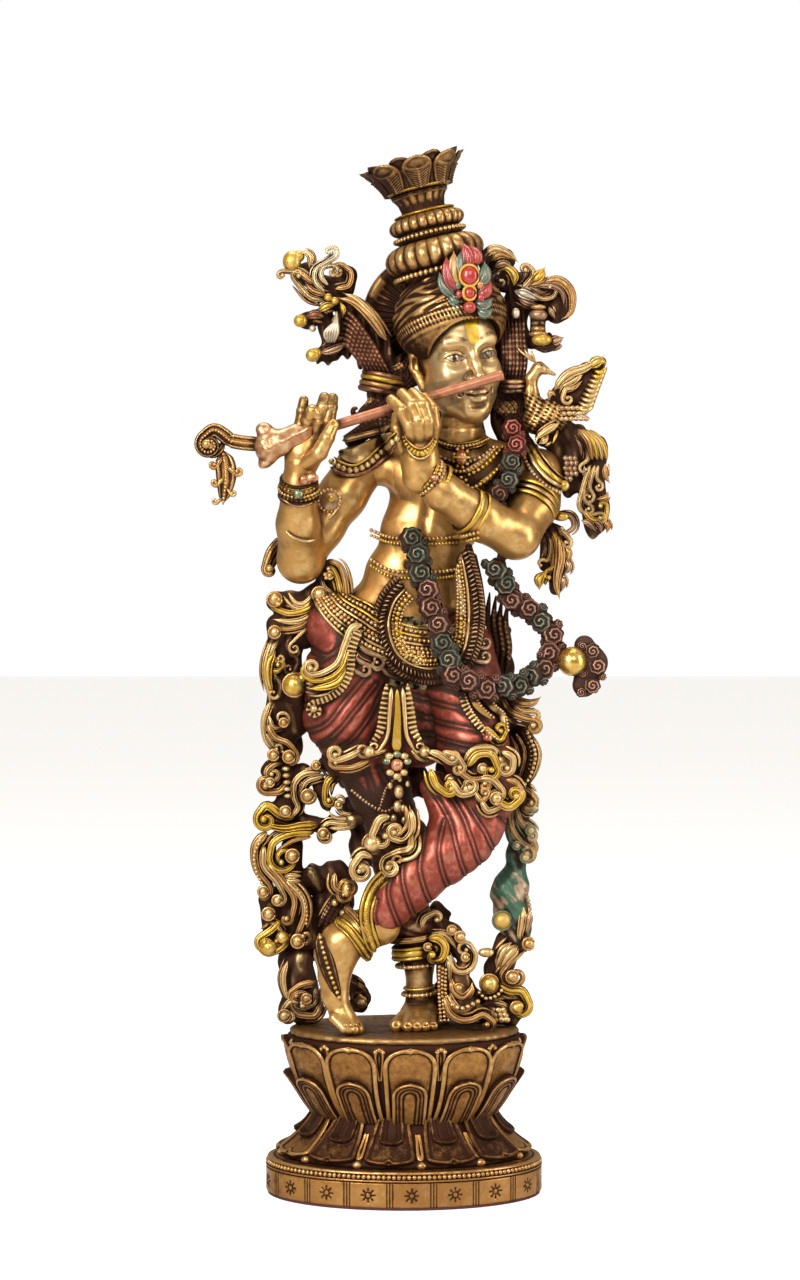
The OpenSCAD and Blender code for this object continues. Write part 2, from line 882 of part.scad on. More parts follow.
module raw_sash_loop() {
    band(smooth([[-1, -18, 356], [-11, -24, 344], [-12, -28, 328], [-4, -30, 312], [10, -31, 303],
        [24, -31, 304], [36, -29, 314], [40, -26, 334], [39, -22, 354], [34, -17, 374]]), 4.6, 4, 1);
}

module sash_loop() {
    color(dark) on_core() {
        raw_sash_loop();
        raw_garland_front();
        raw_garland_loop();
    }
}

module strand(p) {
    band(smooth(p), garland_d / 2, garland_d / 2, 0.9, 8);
}

module raw_garland_chest() {
    translate(shoulder_l) strand([[-14, -18, 26], [-14, -24, 16], [-17, -26, 2], [-22, -27, -10], [-30, -28, -20]]);
}

module raw_garland_front() {
    strand([[4, -24, 382], [9, -27, 368], [14, -30, 350], [20, -33, 332], [24, -35, 316]]);
}

module raw_garland_loop() {
    strand([[27, -36, 307], [38, -36, 301], [52, -32, 298], [66, -24, 300], [79, -14, 306], [86, -9, 319],
        [82, -8, 331], [72, -8, 340], [60, -8, 347], [53, -8, 358], [54, -8, 372]]);
}

module raw_garland_ball() {
    translate([97, -10, 312]) sphere(d = ball_d, $fn = ring_fn);
    bar([88, -10, 313], [106, -10, 312], ball_d * 0.3);
}

module garland_chest() {
    color(rose) on_arms() raw_garland_chest();
}

module garland_front() {
    color(rose) on_arms() raw_garland_front();
}

module garland_loop() {
    color(rose) on_arms() {
        raw_garland_loop();
        raw_garland_front();
    }
}

module garland_ball() {
    color("gold") on_deck() difference() {
        raw_garland_ball();
        raw_garland_loop();
    }
}

module garland_rosette() {
    color(rose) on_deck() difference() {
        hull() {
            blob([103, -10, 297], [4, 5, 7], stem_fn);
            blob([105, -9.5, 326], [4.4, 4.6, 6], stem_fn);
            blob([113, -10.4, 311], [6, 6.3, 12], stem_fn);
        }
        raw_garland_ball();
    }
}

// ---- arms, hands and flute ----

module right_arm() {
    color(skin) difference() {
        on_deck() difference() {
            raw_right_arm();
            raw_torso();
        }
        pin(2, fit_gap);
    }
}

module left_arm() {
    color(skin) difference() {
        on_deck() difference() {
            raw_left_arm();
            raw_torso();
        }
        pin(3, fit_gap);
    }
}

module raw_right_hand() {
    hull() {
        blob(wrist_r + [0, -1, 8], [8, 6, 6], stem_fn);
        blob(wrist_r + [5, -4, 25], [13, 5, 9], stem_fn);
    }
    stem(wrist_r + [-4, -4, 28], 3.4, wrist_r + [3, -7, 46], 2.6);
    stem(wrist_r + [6, -4, 30], 3.4, wrist_r + [12, -9, 45], 2.6);
    stem(wrist_r + [12, -4, 28], 3.4, wrist_r + [21, -10, 44], 2.6);
    stem(wrist_r + [15, -5, 16], 3.4, wrist_r + [25, -12, 30], 2.6);
}

module raw_left_hand() {
    hull() {
        blob(wrist_l + [-1, 0, 10], [8, 6, 7], stem_fn);
        blob(wrist_l + [1, -2, 30], [11, 5, 9], stem_fn);
    }
    for (i = [0 : 3])
        stem(wrist_l + [-7 + 5 * i, -2, 32], 3.4, wrist_l + [-5 + 5 * i, 5, 45 - i], 3);
}

module raw_flute() {
    bar(flute_out, flute_in, flute_d);
}

module right_hand() {
    color(skin) on_deck() difference() {
        raw_right_hand();
        raw_right_arm();
        bar(flute_out, flute_in, flute_d + 2 * fit_gap);
    }
}

module left_hand() {
    color(skin) on_deck() difference() {
        raw_left_hand();
        raw_left_arm();
        bar(flute_out, flute_in, flute_d + 2 * fit_gap);
    }
}

module ring_on(at, toward, r, w) {
    v = unit(toward - at);
    translate(at) rotate([0, acos(v.z), atan2(v.y, v.x)]) translate([0, 0, -w / 2]) cylinder(r = r, h = w, $fn = band_fn);
}

module arm_rings() {
    ring_on(wrist_r + [0, 2, -4], wrist_r, 11.5, 9);
    ring_on([-45, -2, 396], elbow_r, 16.5, 8);
    ring_on(wrist_l + [12, -4.7, -7], wrist_l, 12, 8);
    ring_on(wrist_l + [29, 11, -18], wrist_l, 14.5, 4);
    ring_on([73, -6, 404], elbow_l, 17.5, 6);
}

module bangles() {
    color(gold) on_arms() arm_rings();
}

module raw_elbow_scarf() {
    scrolls([
    [[[84, 398], [88, 392], [92, 390]], 4, 3.6, 5, 1, 0.9],
    [[[86, 392], [82, 374], [77, 358]], 2, 4.6, 3.4, 1, 0.7],
    [[[90, 388], [90, 370], [90, 354]], 4, 4.4, 3.4, 1, 0.6],
    [[[92, 386], [97, 374], [95, 362]], 6, 3.6, 3, -1, 0.6],
    [[[-70, 382], [-78, 374], [-80, 366]], 0, 3.6, 3, 1, 0.5],
    ]);
}

module elbow_scarf() {
    color(gold) on_arms() {
        raw_elbow_scarf();
        arm_rings();
    }
}

module flute() {
    color("peru") on_deck() raw_flute();
}

module flute_finial() {
    color(gold) on_deck() difference() {
        union() {
            hull() {
                blob([-72, -42, 438], [8, 6, 5], stem_fn);
                blob([-76, -43, 430], [5, 5, 6], stem_fn);
            }
            band(smooth([[-80, -43, 436], [-92, -43, 436], [-106, -43, 440]]), 5, 4.5, 1);
            scrolls([[[[-98, 440], [-108, 443], [-112, 436]], -43, 5, 6, 1, 0.8]]);
            band(smooth([[-102, -43, 434], [-101, -43, 418], [-102, -43, 403]]), 5, 4.5, 1.2);
        }
        bar(flute_out, flute_in, flute_d);
        raw_right_hand();
        raw_right_arm();
    }
}

// ---- head, crown and peacock ----

module head() {
    color(skin) difference() {
        on_deck() difference() {
            raw_head();
            raw_torso();
            raw_helmet();
            bar(flute_out, flute_in, flute_d + 2 * fit_gap);
        }
        pin(1, fit_gap);
    }
}

module raw_hair() {
    stem([6, 10, 486], 8, [-6, 12, 456], 7);
    stem([-6, 12, 456], 7, [-24, 12, 450], 5);
    stem([52, 14, 480], 9, [60, 14, 446], 9);
    stem([60, 14, 446], 9, [72, 16, 430], 7);
    stem([32, 22, 486], 18, [32, 24, 430], 13);
    stem([32, 24, 430], 13, [30, 24, 400], 10);
}

module hair_locks() {
    color(dark) on_arms() {
        raw_hair();
        raw_head();
        raw_helmet();
        raw_shoulder_wrap();
    }
}

module halo() {
    color(dark) on_arms() {
        translate([14, 27, 512]) rotate([90, 0, 0]) linear_extrude(6)
            polygon([for (i = [0 : 59]) let (a = 6 * i) (38 - 1.2 * (i % 2)) * [cos(a), sin(a)]]);
        raw_helmet();
        raw_head();
        raw_hair();
        raw_tiers();
        raw_hair_wing_left();
        raw_hair_wing_right();
    }
}

module crown_helmet() {
    color(gold) difference() {
        on_deck() raw_helmet();
        pin(4, fit_gap);
    }
}

// A turned ring whose edge is fluted
module melon(z, r, h, flutes, depth) {
    rows = 5;
    steps = flutes * 2;
    function out(j) = sin(180 * j / (rows - 1));
    polyhedron(
        [for (j = [0 : rows - 1], i = [0 : steps - 1])
            let (a = 360 * i / steps, k = r * (0.72 + 0.28 * out(j)) - depth * out(j) * (1 - abs(sin(a * flutes / 2))))
            [k * cos(a), k * sin(a), z - h / 2 * cos(180 * j / (rows - 1))]],
        [for (j = [0 : rows - 2], i = [0 : steps - 1])
            let (a = j * steps + i, b = j * steps + (i + 1) % steps)
            each [[a, b + steps, b], [a, a + steps, b + steps]],
         [for (i = [0 : steps - 1]) i],
         [for (i = [steps - 1 : -1 : 0]) (rows - 1) * steps + i]]);
}

module raw_tiers() {
    along_crown() {
        melon(35, 29, 18, melon_flutes, 2.4);
        translate([0, 0, 43]) cylinder(r = 16, h = 6, $fn = 32);
        melon(54, 22.5, 11, melon_flutes, 1.4);
        translate([0, 0, 59]) cylinder(r1 = 13, r2 = 16, h = 12, $fn = 32);
    }
}

module crown_tiers() {
    color(gold) difference() {
        on_deck() raw_tiers();
        pin(4, fit_gap);
    }
}

module crown_flare() {
    steps = flare_petals * 6;
    function tip(a) = pow(abs(sin(a * flare_petals / 2)), 0.6);
    rows = [[0, 16, 0], [3, 18.5, 0], [9, 19, 0.3], [14, 25, 1.6], [21, 29, 3.4]];
    color(dark) on_deck() along_crown() translate([0, 0, 71])
        polyhedron(
            [for (r = rows, i = [0 : steps - 1]) let (a = 360 * i / steps, k = r[1] - r[2] * (1 - tip(a)))
                [k * cos(a), k * sin(a), r[0] - r[2] * 1.4 * (1 - tip(a))],
             [0, 0, 13]],
            [for (j = [0 : len(rows) - 2], i = [0 : steps - 1])
                let (a = j * steps + i, b = j * steps + (i + 1) % steps)
                each [[a, b + steps, b], [a, a + steps, b + steps]],
             [for (i = [0 : steps - 1]) i],
             for (i = [0 : steps - 1]) let (o = (len(rows) - 1) * steps)
                [o + i, o + steps + 0 * i, o + (i + 1) % steps]]);
}

module crown_jewel() {
    color("crimson") on_arms() {
        union() {
            scrolls([
                [[[34, 520], [26, 528], [24, 540]], -26, 2.8, 4, -1, 0.7],
                [[[38, 520], [46, 528], [47, 538]], -26, 2.8, 4, 1, 0.7],
                [[[34, 526], [32, 538], [30, 548]], -26, 2.8, 3, -1, 0.7],
            ]);
            bud([37, -28, 523], 3.4);
            bud([38, -28, 533], 4.6);
            hull() {
                blob([36, -24, 522], [9, 5, 5], stem_fn);
                blob([33, -22, 542], [7, 5, 6], stem_fn);
            }
        }
        raw_helmet();
        raw_tiers();
    }
}

module raw_hair_wing_left() {
    stem([-11, 8, 474], 11.5, [-13, 8, 484], 12);
    stem([-13, 8, 484], 12, [-22, 8, 500], 13);
    stem([-22, 8, 500], 13, [-45, 6, 507], 8);
    stem([-28, 8, 498], 8, [-46, 6, 491], 4.5);
    stem([-46, 6, 491], 4.5, [-53, 6, 488], 4);
    stem([-24, 8, 508], 10, [-44, 6, 526], 7);
    stem([-50, 6, 507], 5, [-60, 4, 509], 4);
    stem([-44, 6, 526], 6, [-66, 4, 531], 3.6);
    stem([-50, 6, 536], 6, [-66, 4, 545], 5.5);
    bud([-43, -3, 504], 6);
    scrolls([
        [[[-50, 528], [-56, 538], [-54, 546]], 2, 4, 4, 1, 0.5],
        [[[-30, 524], [-32, 532], [-36, 540]], 2, 4.4, 9, 1, 0.9],
        [[[-40, 536], [-40, 546], [-43, 550]], 4, 2.8, 2.6, 1, 0.6],
    ]);
}

module hair_wing_left() {
    color(dark) on_arms() {
        raw_hair_wing_left();
        raw_head();
        raw_helmet();
        raw_hair();
        raw_tiers();
        raw_shoulder_wrap();
    }
}

module raw_hair_wing_right() {
    stem([62, 12, 474], 10, [60, 10, 505], 9);
    stem([62, 12, 470], 9, [72, 14, 462], 8);
    stem([62, 10, 510], 9, [70, 10, 530], 10);
    stem([70, 10, 530], 10, [90, 6, 522], 10);
    stem([68, 8, 500], 7, [82, 4, 498], 5.5);
    stem([82, 4, 498], 5, [91, 2, 497], 3.6);
    stem([72, 6, 510], 7, [80, 4, 505], 6);
    bud([82, 4, 538], 5);
    bud([66, -2, 514], 4);
    scrolls([
        [[[64, 524], [60, 536], [60, 544]], 2, 4, 6.5, 1, 0.9],
        [[[64, 530], [68, 538], [72, 542]], 2, 3, 3, -1, 0.6],
        [[[76, 534], [90, 532], [94, 522]], 0, 4, 9, -1, 0.9],
    ]);
}

module hair_wing_right() {
    color(dark) on_arms() {
        raw_hair_wing_right();
        raw_head();
        raw_helmet();
        raw_hair();
        raw_tiers();
        raw_shoulder_wrap();
    }
}

module raw_peacock() {
    translate(shoulder_l) {
        stem([0, -2, 32], 8, [12, -2, 37], 9);
        stem([-2, -2, 38], 6, [-4, -4, 52], 3.8);
        stem([-4, -4, 52], 3.8, [0, -6, 62], 3.6);
        stem([0, -6, 62], 4, [6, -8, 59], 2);
        hull() {
            blob([12, -4, 42], [8, 7, 9], stem_fn);
            blob([32, -4, 60], [8, 4, 7], stem_fn);
        }
        stem([32, -4, 62], 4, [39, -4, 67], 2.4);
    }
}

module peacock() {
    color(gold) on_arms() {
        raw_peacock();
        raw_hair();
        raw_hair_wing_right();
        raw_shoulder_wrap();
    }
}

module peacock_tail() {
    color(dark) on_arms() {
        translate(shoulder_l) union() {
            hull() {
                blob([18, 0, 28], [8, 6, 8], stem_fn);
                blob([32, 0, 16], [8, 5, 8], stem_fn);
            }
            hull() {
                blob([32, 0, 16], [8, 5, 8], stem_fn);
                blob([35, 0, -8], [6, 5, 10], stem_fn);
            }
            hull() {
                blob([35, 0, -8], [6, 5, 10], stem_fn);
                blob([26, 0, -26], [5, 4, 8], stem_fn);
            }
            hull() {
                blob([6, 0, 24], [8, 6, 6], stem_fn);
                blob([22, 0, 4], [8, 5, 10], stem_fn);
            }
            bud([20, -8, 24], 5);
            bud([26, -7, 10], 4.5);
            bud([30, -7, -6], 4.5);
            bud([26, -7, -20], 4);
        }
        raw_peacock();
        raw_shoulder_wrap();
    }
}

felt_pad();
plinth();
bead_band();
lotus_lower();
lotus_upper();
deck();
tie_rod();
tie_washer();
tie_nut();
dowels();
standing_leg();
standing_foot();
crossed_leg();
crossed_foot();
leg_cuffs();
hips();
thigh_cloth();
waist_belt();
front_sash();
back_drape();
hip_knot_left();
apron_left();
apron_right();
fringe_right();
scarf_left_upper();
scarf_left_middle();
scarf_left_lower();
scarf_left_foot();
scarf_right_upper();
scarf_right_column();
scarf_right_lower();
scarf_foot_middle();
torso();
necklaces();
shoulder_wrap();
sash_loop();
right_arm();
right_hand();
left_arm();
left_hand();
bangles();
elbow_scarf();
flute();
flute_finial();
garland_chest();
garland_front();
garland_loop();
garland_ball();
garland_rosette();
head();
hair_locks();
hair_wing_left();
hair_wing_right();
halo();
crown_helmet();
crown_tiers();
crown_flare();
crown_jewel();
peacock();
peacock_tail();
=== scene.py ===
import json
import math

import bpy
import numpy as np
import openvdb
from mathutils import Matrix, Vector


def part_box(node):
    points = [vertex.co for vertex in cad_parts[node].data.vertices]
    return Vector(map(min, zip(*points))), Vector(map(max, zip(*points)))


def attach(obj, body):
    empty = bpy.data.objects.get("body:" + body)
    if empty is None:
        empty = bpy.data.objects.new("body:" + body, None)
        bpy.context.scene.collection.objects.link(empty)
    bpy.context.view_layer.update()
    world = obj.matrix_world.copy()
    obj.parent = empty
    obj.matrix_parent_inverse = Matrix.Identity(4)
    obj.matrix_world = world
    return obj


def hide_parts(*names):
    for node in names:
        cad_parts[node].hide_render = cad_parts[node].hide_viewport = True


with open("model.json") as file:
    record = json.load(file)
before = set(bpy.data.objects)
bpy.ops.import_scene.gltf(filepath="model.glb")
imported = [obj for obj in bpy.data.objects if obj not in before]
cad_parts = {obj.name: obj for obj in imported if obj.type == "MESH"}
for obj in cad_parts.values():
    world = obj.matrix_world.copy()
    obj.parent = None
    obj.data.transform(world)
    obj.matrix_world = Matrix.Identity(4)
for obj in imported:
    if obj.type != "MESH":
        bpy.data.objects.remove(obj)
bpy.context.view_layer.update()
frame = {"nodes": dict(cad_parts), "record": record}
rng = np.random.default_rng(7)
coarse = 1.0


# Collecting geometry, in millimetres of the row frame

pieces = {}


def piece(name):
    return pieces.setdefault(name, {"verts": [], "faces": [], "count": 0, "cavity": [], "paint": [], "sdf": []})


def put(name, verts, faces, cavity=0.0, paint=None, sdf=False):
    store = piece(name)
    verts = np.asarray(verts, float).reshape(-1, 3)
    faces = np.asarray(faces, int).reshape(-1, 4)
    a, b, c, d = (verts[faces[:, i]] - verts.mean(0) for i in range(4))
    if (np.cross(c - a, d - b) * (a + b + c + d)).sum() < 0:
        faces = faces[:, ::-1]
    n = len(verts)
    store["verts"].append(verts)
    store["faces"].append(faces + store["count"])
    store["count"] += n
    store["cavity"].append(np.broadcast_to(np.asarray(cavity, float), (n,)))
    colour = np.zeros((n, 4)) if paint is None else np.broadcast_to(np.asarray(paint, float), (n, 4))
    store["paint"].append(colour)
    store["sdf"].append(np.full(n, sdf))


def gridFaces(rows, cols, closed=False):
    i = np.arange(rows - 1)[:, None]
    j = np.arange(cols if closed else cols - 1)[None, :]
    k = (j + 1) % cols
    return np.stack([i * cols + j, i * cols + k, (i + 1) * cols + k, (i + 1) * cols + j], -1).reshape(-1, 4)


def unit(v):
    v = np.asarray(v, float)
    return v / np.maximum(np.linalg.norm(v, axis=-1, keepdims=True), 1e-9)


def resample(points, step):
    points = np.asarray(points, float)
    lengths = np.r_[0, np.cumsum(np.linalg.norm(np.diff(points, axis=0), axis=1))]
    count = max(int(lengths[-1] / step) + 1, 4)
    at = np.linspace(0, lengths[-1], count)
    return np.stack([np.interp(at, lengths, points[:, c]) for c in range(points.shape[1])], 1)


# Catmull-Rom through the points, then even steps
def smooth(points, step=1.2):
    p = np.asarray(points, float)
    p = np.vstack([2 * p[0] - p[1], p, 2 * p[-1] - p[-2]])
    t = np.linspace(0, 1, 12, endpoint=False)[:, None]
    out = []
    for a, b, c, d in zip(p[:-3], p[1:-2], p[2:-1], p[3:]):
        out.append(0.5 * (2 * b + (c - a) * t + (2 * a - 5 * b + 4 * c - d) * t**2 + (3 * b - a - 3 * c + d) * t**3))
    return resample(np.vstack(out + [p[-2:-1]]), step * coarse)


# Goes on from the end of a line in a spiral that turns left (1) or right (-1) in the XZ plane
def curl(line, r, side, turns, rise=2.0):
    end, before = line[-1], line[-3]
    a = math.atan2(end[2] - before[2], end[0] - before[0])
    n = max(int(2 * math.pi * r * turns * 0.7 / (0.8 * coarse)), 10)
    q = np.linspace(0, 1, n + 1)[1:]
    th = a - side * math.pi / 2 + side * 2 * math.pi * turns * q
    centre = end[:3] + r * np.array([math.cos(a + side * math.pi / 2), 0, math.sin(a + side * math.pi / 2)])
    rr = r * (1 - 0.72 * q)
    spiral = np.stack([centre[0] + rr * np.cos(th), np.full(n, end[1]) - rise * q, centre[2] + rr * np.sin(th)], 1)
    return np.vstack([line, spiral])


# Cross-sections: across (-1 to 1), height, cavity
def section(kind):
    x = np.linspace(-1, 1, 15)
    dome = np.sqrt(np.clip(1 - x**2, 0, 1))
    if kind == "groove":
        dip = np.exp(-(((np.abs(x) - 0.45) / 0.11) ** 2))
        h, c = dome * 0.95 - 0.30 * dip, 0.85 * dip
    elif kind == "rims":
        rim = np.exp(-(((np.abs(x) - 0.74) / 0.16) ** 2))
        h = 0.42 * dome + 0.5 * rim + 0.3 * np.exp(-((x / 0.2) ** 2))
        c = 0.9 * np.exp(-(((np.abs(x) - 0.42) / 0.15) ** 2))
    elif kind == "cup":
        h = 0.3 + 0.62 * np.abs(x) ** 1.6
        h *= np.clip((1 - np.abs(x)) / 0.12, 0, 1) ** 0.5
        c = 0.55 * (1 - np.abs(x) ** 1.5)
    elif kind == "strap":
        h = np.clip((1 - np.abs(x)) / 0.15, 0, 1) ** 0.5 * 0.7
        c = 0.1 + 0 * x
    else:
        h, c = dome, 0 * x
    # Cavity is raised in the grooves, at the band edges and on the back, and lowered on the crest: patina in the
    # grooves, painted shade between bands and a painted highlight on the crest
    edge = np.clip((np.abs(x) - 0.72) / 0.28, 0, 1)
    c = np.maximum(c - 0.3 * dome, 0.85 * edge)
    back = np.array([[0.8, -0.55, 0.8], [0, -0.7, 0.9], [-0.8, -0.55, 0.8]])
    return np.vstack([np.stack([x, h, c], 1), back])


def taper(kind, n):
    t = np.linspace(0, 1, n)
    ends = np.clip(np.minimum(t, 1 - t) * n / 4, 0, 1) ** 0.5
    if kind == "out":
        return (1 - 0.6 * t**1.3) * ends
    if kind == "leaf":
        return (0.25 + np.sin(np.pi * np.clip(t, 0, 1) ** 0.7) ** 0.9) * np.clip((1 - t) * 6, 0, 1) ** 0.7 * ends
    if kind == "in":
        return (0.4 + 0.6 * t) * ends
    if kind == "both":
        return np.sin(np.pi * t) ** 0.6 * 0.9 + 0.05
    return ends


# A band along a line, with a cross-section that faces out. ribs cut it across every pitch millimetres
def sweep(name, line, width, height=None, kind="groove", shape="even", out=(0, -1, 0), ribs=0.0, pitch=2.4, slant=0.0,
          paint=None, dark=0.0):
    line = given = np.asarray(line, float)
    out = np.asarray(out, float)
    if ribs:
        line = resample(line, pitch / 6)
        if out.ndim == 2:
            out = np.stack([np.interp(np.linspace(0, len(out) - 1, len(line)), np.arange(len(out)), out[:, k])
                            for k in range(3)], 1)
    n = len(line)
    height = width if height is None else height
    tangent = unit(np.gradient(line, axis=0))
    face = np.broadcast_to(np.asarray(out, float), line.shape)
    face = unit(face - (face * tangent).sum(1, keepdims=True) * tangent)
    across = np.cross(tangent, face)
    sec = section(kind)
    k = taper(shape, n)[:, None]
    along = np.r_[0, np.cumsum(np.linalg.norm(np.diff(line, axis=0), axis=1))][:, None]
    wave = 0.5 - 0.5 * np.cos(2 * np.pi * (along + slant * width * sec[None, :, 0]) / pitch)
    lift = sec[None, :, 1] * (1 - ribs * wave * (sec[None, :, 1] > 0))
    verts = line[:, None] + across[:, None] * (width * k * sec[None, :, 0])[..., None] + face[:,
                                            None] * (height * k * lift)[..., None]
    cav = np.clip(sec[None, :, 2] + 1.1 * ribs * wave + dark, 0, 1) * np.ones((n, 1))
    m = sec.shape[0]
    put(name, verts, gridFaces(n, m, True), cav.ravel(), paint)
    return given


def ballMesh(cols=16, rows=10):
    th = np.linspace(0, np.pi, rows)[:, None]
    ph = np.linspace(0, 2 * np.pi, cols, endpoint=False)[None]
    v = np.stack([np.sin(th) * np.cos(ph), np.sin(th) * np.sin(ph), np.cos(th) + 0 * ph], -1).reshape(-1, 3)
    return v, gridFaces(rows, cols, True)


def balls(name, centres, radii, size=(1, 1, 1), cols=10, rows=7, paint=None):
    centres = np.asarray(centres, float).reshape(-1, 3)
    v, f = ballMesh(cols, rows)
    radii = np.broadcast_to(np.asarray(radii, float), (len(centres),))
    verts = centres[:, None] + radii[:, None, None] * (v * np.asarray(size))[None]
    faces = f[None] + (np.arange(len(centres)) * len(v))[:, None, None]
    # A cavity of -0.55 makes the finishes paint every ball lighter: a painted highlight
    put(name, verts, faces, -0.55, paint)


def ball(name, centre, r, size=(1, 1, 1), paint=None):
    balls(name, [centre], r, size, 20, 14, paint)


def beads(name, line, r, gap=2.1, lift=0.0, paint=None):
    line = resample(line, r * gap)
    balls(name, line + np.array([0, -lift, 0]), r, cols=8, rows=6, paint=paint)


# A band that ends in a spiral with a ball at its eye. Points are (x, z) at depth y, or (x, y, z). lift drapes it
def scroll(name, points, width, r=5, side=1, turns=1.1, kind="groove", shape="out", y=None, eye=True, height=None, rise=2.0,
           paint=None, dark=0.0, ribs=0.0, lift=None):
    p = np.array([(q[0], y, q[1]) if len(q) == 2 else q for q in points], float)
    line = curl(smooth(p), r, side, turns, rise) if turns else smooth(p)
    if lift is not None:
        line = drape(line, lift, y)
    sweep(name, line, width, height, kind, shape, paint=paint, dark=dark, ribs=ribs)
    if eye:
        balls(name, [line[-1] + [0, -width * 0.35, 0]], width * 0.62, cols=12, rows=9, paint=paint)
    return line


# Signed distance fields, meshed with OpenVDB


class Field:
    def __init__(self, low, high, step):
        self.step = step * coarse
        self.low = np.asarray(low, float)
        self.shape = np.ceil((np.asarray(high, float) - self.low) / self.step).astype(int) + 1
        self.f = np.full(self.shape, 8.0, np.float32)

    def window(self, low, high):
        a = np.clip(np.floor((np.asarray(low) - self.low) / self.step).astype(int), 0, self.shape)
        b = np.clip(np.ceil((np.asarray(high) - self.low) / self.step).astype(int) + 1, 0, self.shape)
        spot = tuple(slice(i, j) for i, j in zip(a, b))
        axes = [(self.low[c] + self.step * np.arange(a[c], b[c], dtype=np.float32)) for c in range(3)]
        return spot, axes[0][:, None, None], axes[1][None, :, None], axes[2][None, None, :]

    def blend(self, spot, d, k=0.0, cut=False):
        if 0 in d.shape:
            return
        old = self.f[spot]
        if cut:
            d = -d
            self.f[spot] = np.maximum(old, d) + (np.maximum(k - np.abs(old - d), 0) ** 2 / (4 * k) if k else 0)
        else:
            self.f[spot] = np.minimum(old, d) - (np.maximum(k - np.abs(old - d), 0) ** 2 / (4 * k) if k else 0)

    # A round cone from a to b. flat squeezes it along an axis, about its own middle line
    def limb(self, a, ra, b, rb, k=2.0, cut=False, flat=(1, 1, 1)):
        a, b, flat = np.asarray(a, float), np.asarray(b, float), np.asarray(flat, float)
        r = max(ra, rb)
        pad = r + k + 3 * self.step
        spot, x, y, z = self.window(np.minimum(a, b) - pad, np.maximum(a, b) + pad)
        v = b - a
        t = np.clip(((x - a[0]) * v[0] + (y - a[1]) * v[1] + (z - a[2]) * v[2]) / max(v @ v, 1e-6), 0, 1)
        dx, dy, dz = (x - a[0] - t * v[0]) / flat[0], (y - a[1] - t * v[1]) / flat[1], (z - a[2] - t * v[2]) / flat[2]
        d = (np.sqrt(dx * dx + dy * dy + dz * dz) - (ra + t * (rb - ra))) * flat.min()
        self.blend(spot, d.astype(np.float32), k, cut)

    def chain(self, points, radii, k=2.0, inner=None, cut=False, flat=(1, 1, 1)):
        points = np.asarray(points, float)
        for a, b, ra, rb in zip(points[:-1], points[1:], radii[:-1], radii[1:]):
            self.limb(a, ra, b, rb, k if inner is None else inner, cut, flat)

    def blob(self, centre, radii, k=2.0, cut=False, turn=None):
        c, r = np.asarray(centre, float), np.asarray(radii, float)
        pad = r.max() + k + 3 * self.step
        spot, x, y, z = self.window(c - pad, c + pad)
        x, y, z = x - c[0], y - c[1], z - c[2]
        if turn is not None:
            m = np.asarray(turn).T
            x, y, z = (m[i, 0] * x + m[i, 1] * y + m[i, 2] * z for i in range(3))
        k0 = np.sqrt((x / r[0]) ** 2 + (y / r[1]) ** 2 + (z / r[2]) ** 2)
        k1 = np.sqrt((x / r[0] ** 2) ** 2 + (y / r[1] ** 2) ** 2 + (z / r[2] ** 2) ** 2)
        self.blend(spot, (k0 * (k0 - 1) / np.maximum(k1, 1e-6)).astype(np.float32), k, cut)

    # Keeps only what is above a level
    def below(self, height):
        z = self.low[2] + self.step * np.arange(self.shape[2], dtype=np.float32)
        self.f = np.maximum(self.f, (height - z)[None, None, :])

    # fun(x, y, z) gives millimetres to push the surface out, in a narrow band around it
    def displace(self, fun):
        near = np.abs(self.f) < 3
        i, j, k = np.nonzero(near)
        x, y, z = (self.low[c] + self.step * v for c, v in enumerate((i, j, k)))
        self.f[near] -= fun(x, y, z).astype(np.float32)

    def mesh(self):
        grid = openvdb.FloatGrid(8.0)
        grid.copyFromArray(np.ascontiguousarray(self.f))
        points, quads = grid.convertToQuads(0.0)
        points = np.asarray(points, float) * self.step + self.low
        quads = np.asarray(quads, int)
        return points, quads


depthLow, depthShape = np.array([-140, 90]), (300, 540)
depth = np.full(depthShape, 40.0)


def noteDepth(points):
    i = np.clip((points[:, [0, 2]] - depthLow).round().astype(int), 1, np.array(depthShape) - 2)
    for dx in (-1, 0, 1):
        for dz in (-1, 0, 1):
            np.minimum.at(depth, (i[:, 0] + dx, i[:, 1] + dz), points[:, 1])


# Lays a line on the front of what has been built so far, and at the base depth where there is nothing
def drape(line, lift, base, over=None):
    i = np.clip((line[:, [0, 2]] - depthLow).round().astype(int), 0, np.array(depthShape) - 1)
    y = np.minimum((depth if over is None else over)[i[:, 0], i[:, 1]], base) - lift
    pad = np.r_[y[:1], y[:1], y, y[-1:], y[-1:]]
    y = np.minimum(y + 0.6, sum(pad[k:len(pad) - 4 + k] for k in range(5)) / 5)
    out = line.copy()
    out[:, 1] = y
    return out


def laid(points, lift, base, over=None):  # points are (x, z)
    return drape(smooth([(x, 0, z) for x, z in points]), lift, base, over)


def putField(name, field, paint=None, cavity=None, place=None):
    points, quads = field.mesh()
    a, b, c, d = (points[quads[:, i]] for i in range(4))
    volume = np.einsum("ij,ij->i", a, np.cross(b, c)).sum() + np.einsum("ij,ij->i", a, np.cross(c, d)).sum()
    if volume < 0:
        quads = quads[:, ::-1]
    tint = paint(*points.T) if callable(paint) else paint
    cav = cavity(*points.T) if callable(cavity) else cavity or 0.0
    if place is not None:
        points = place(points)
    if name not in ("back_drape", "hair_locks", "hair_wing_left", "hair_wing_right", "peacock_tail"):
        noteDepth(points)
    put(name, points, quads, cav, tint, sdf=True)
    print(f"{name}: {len(points)} points from a field", flush=True)


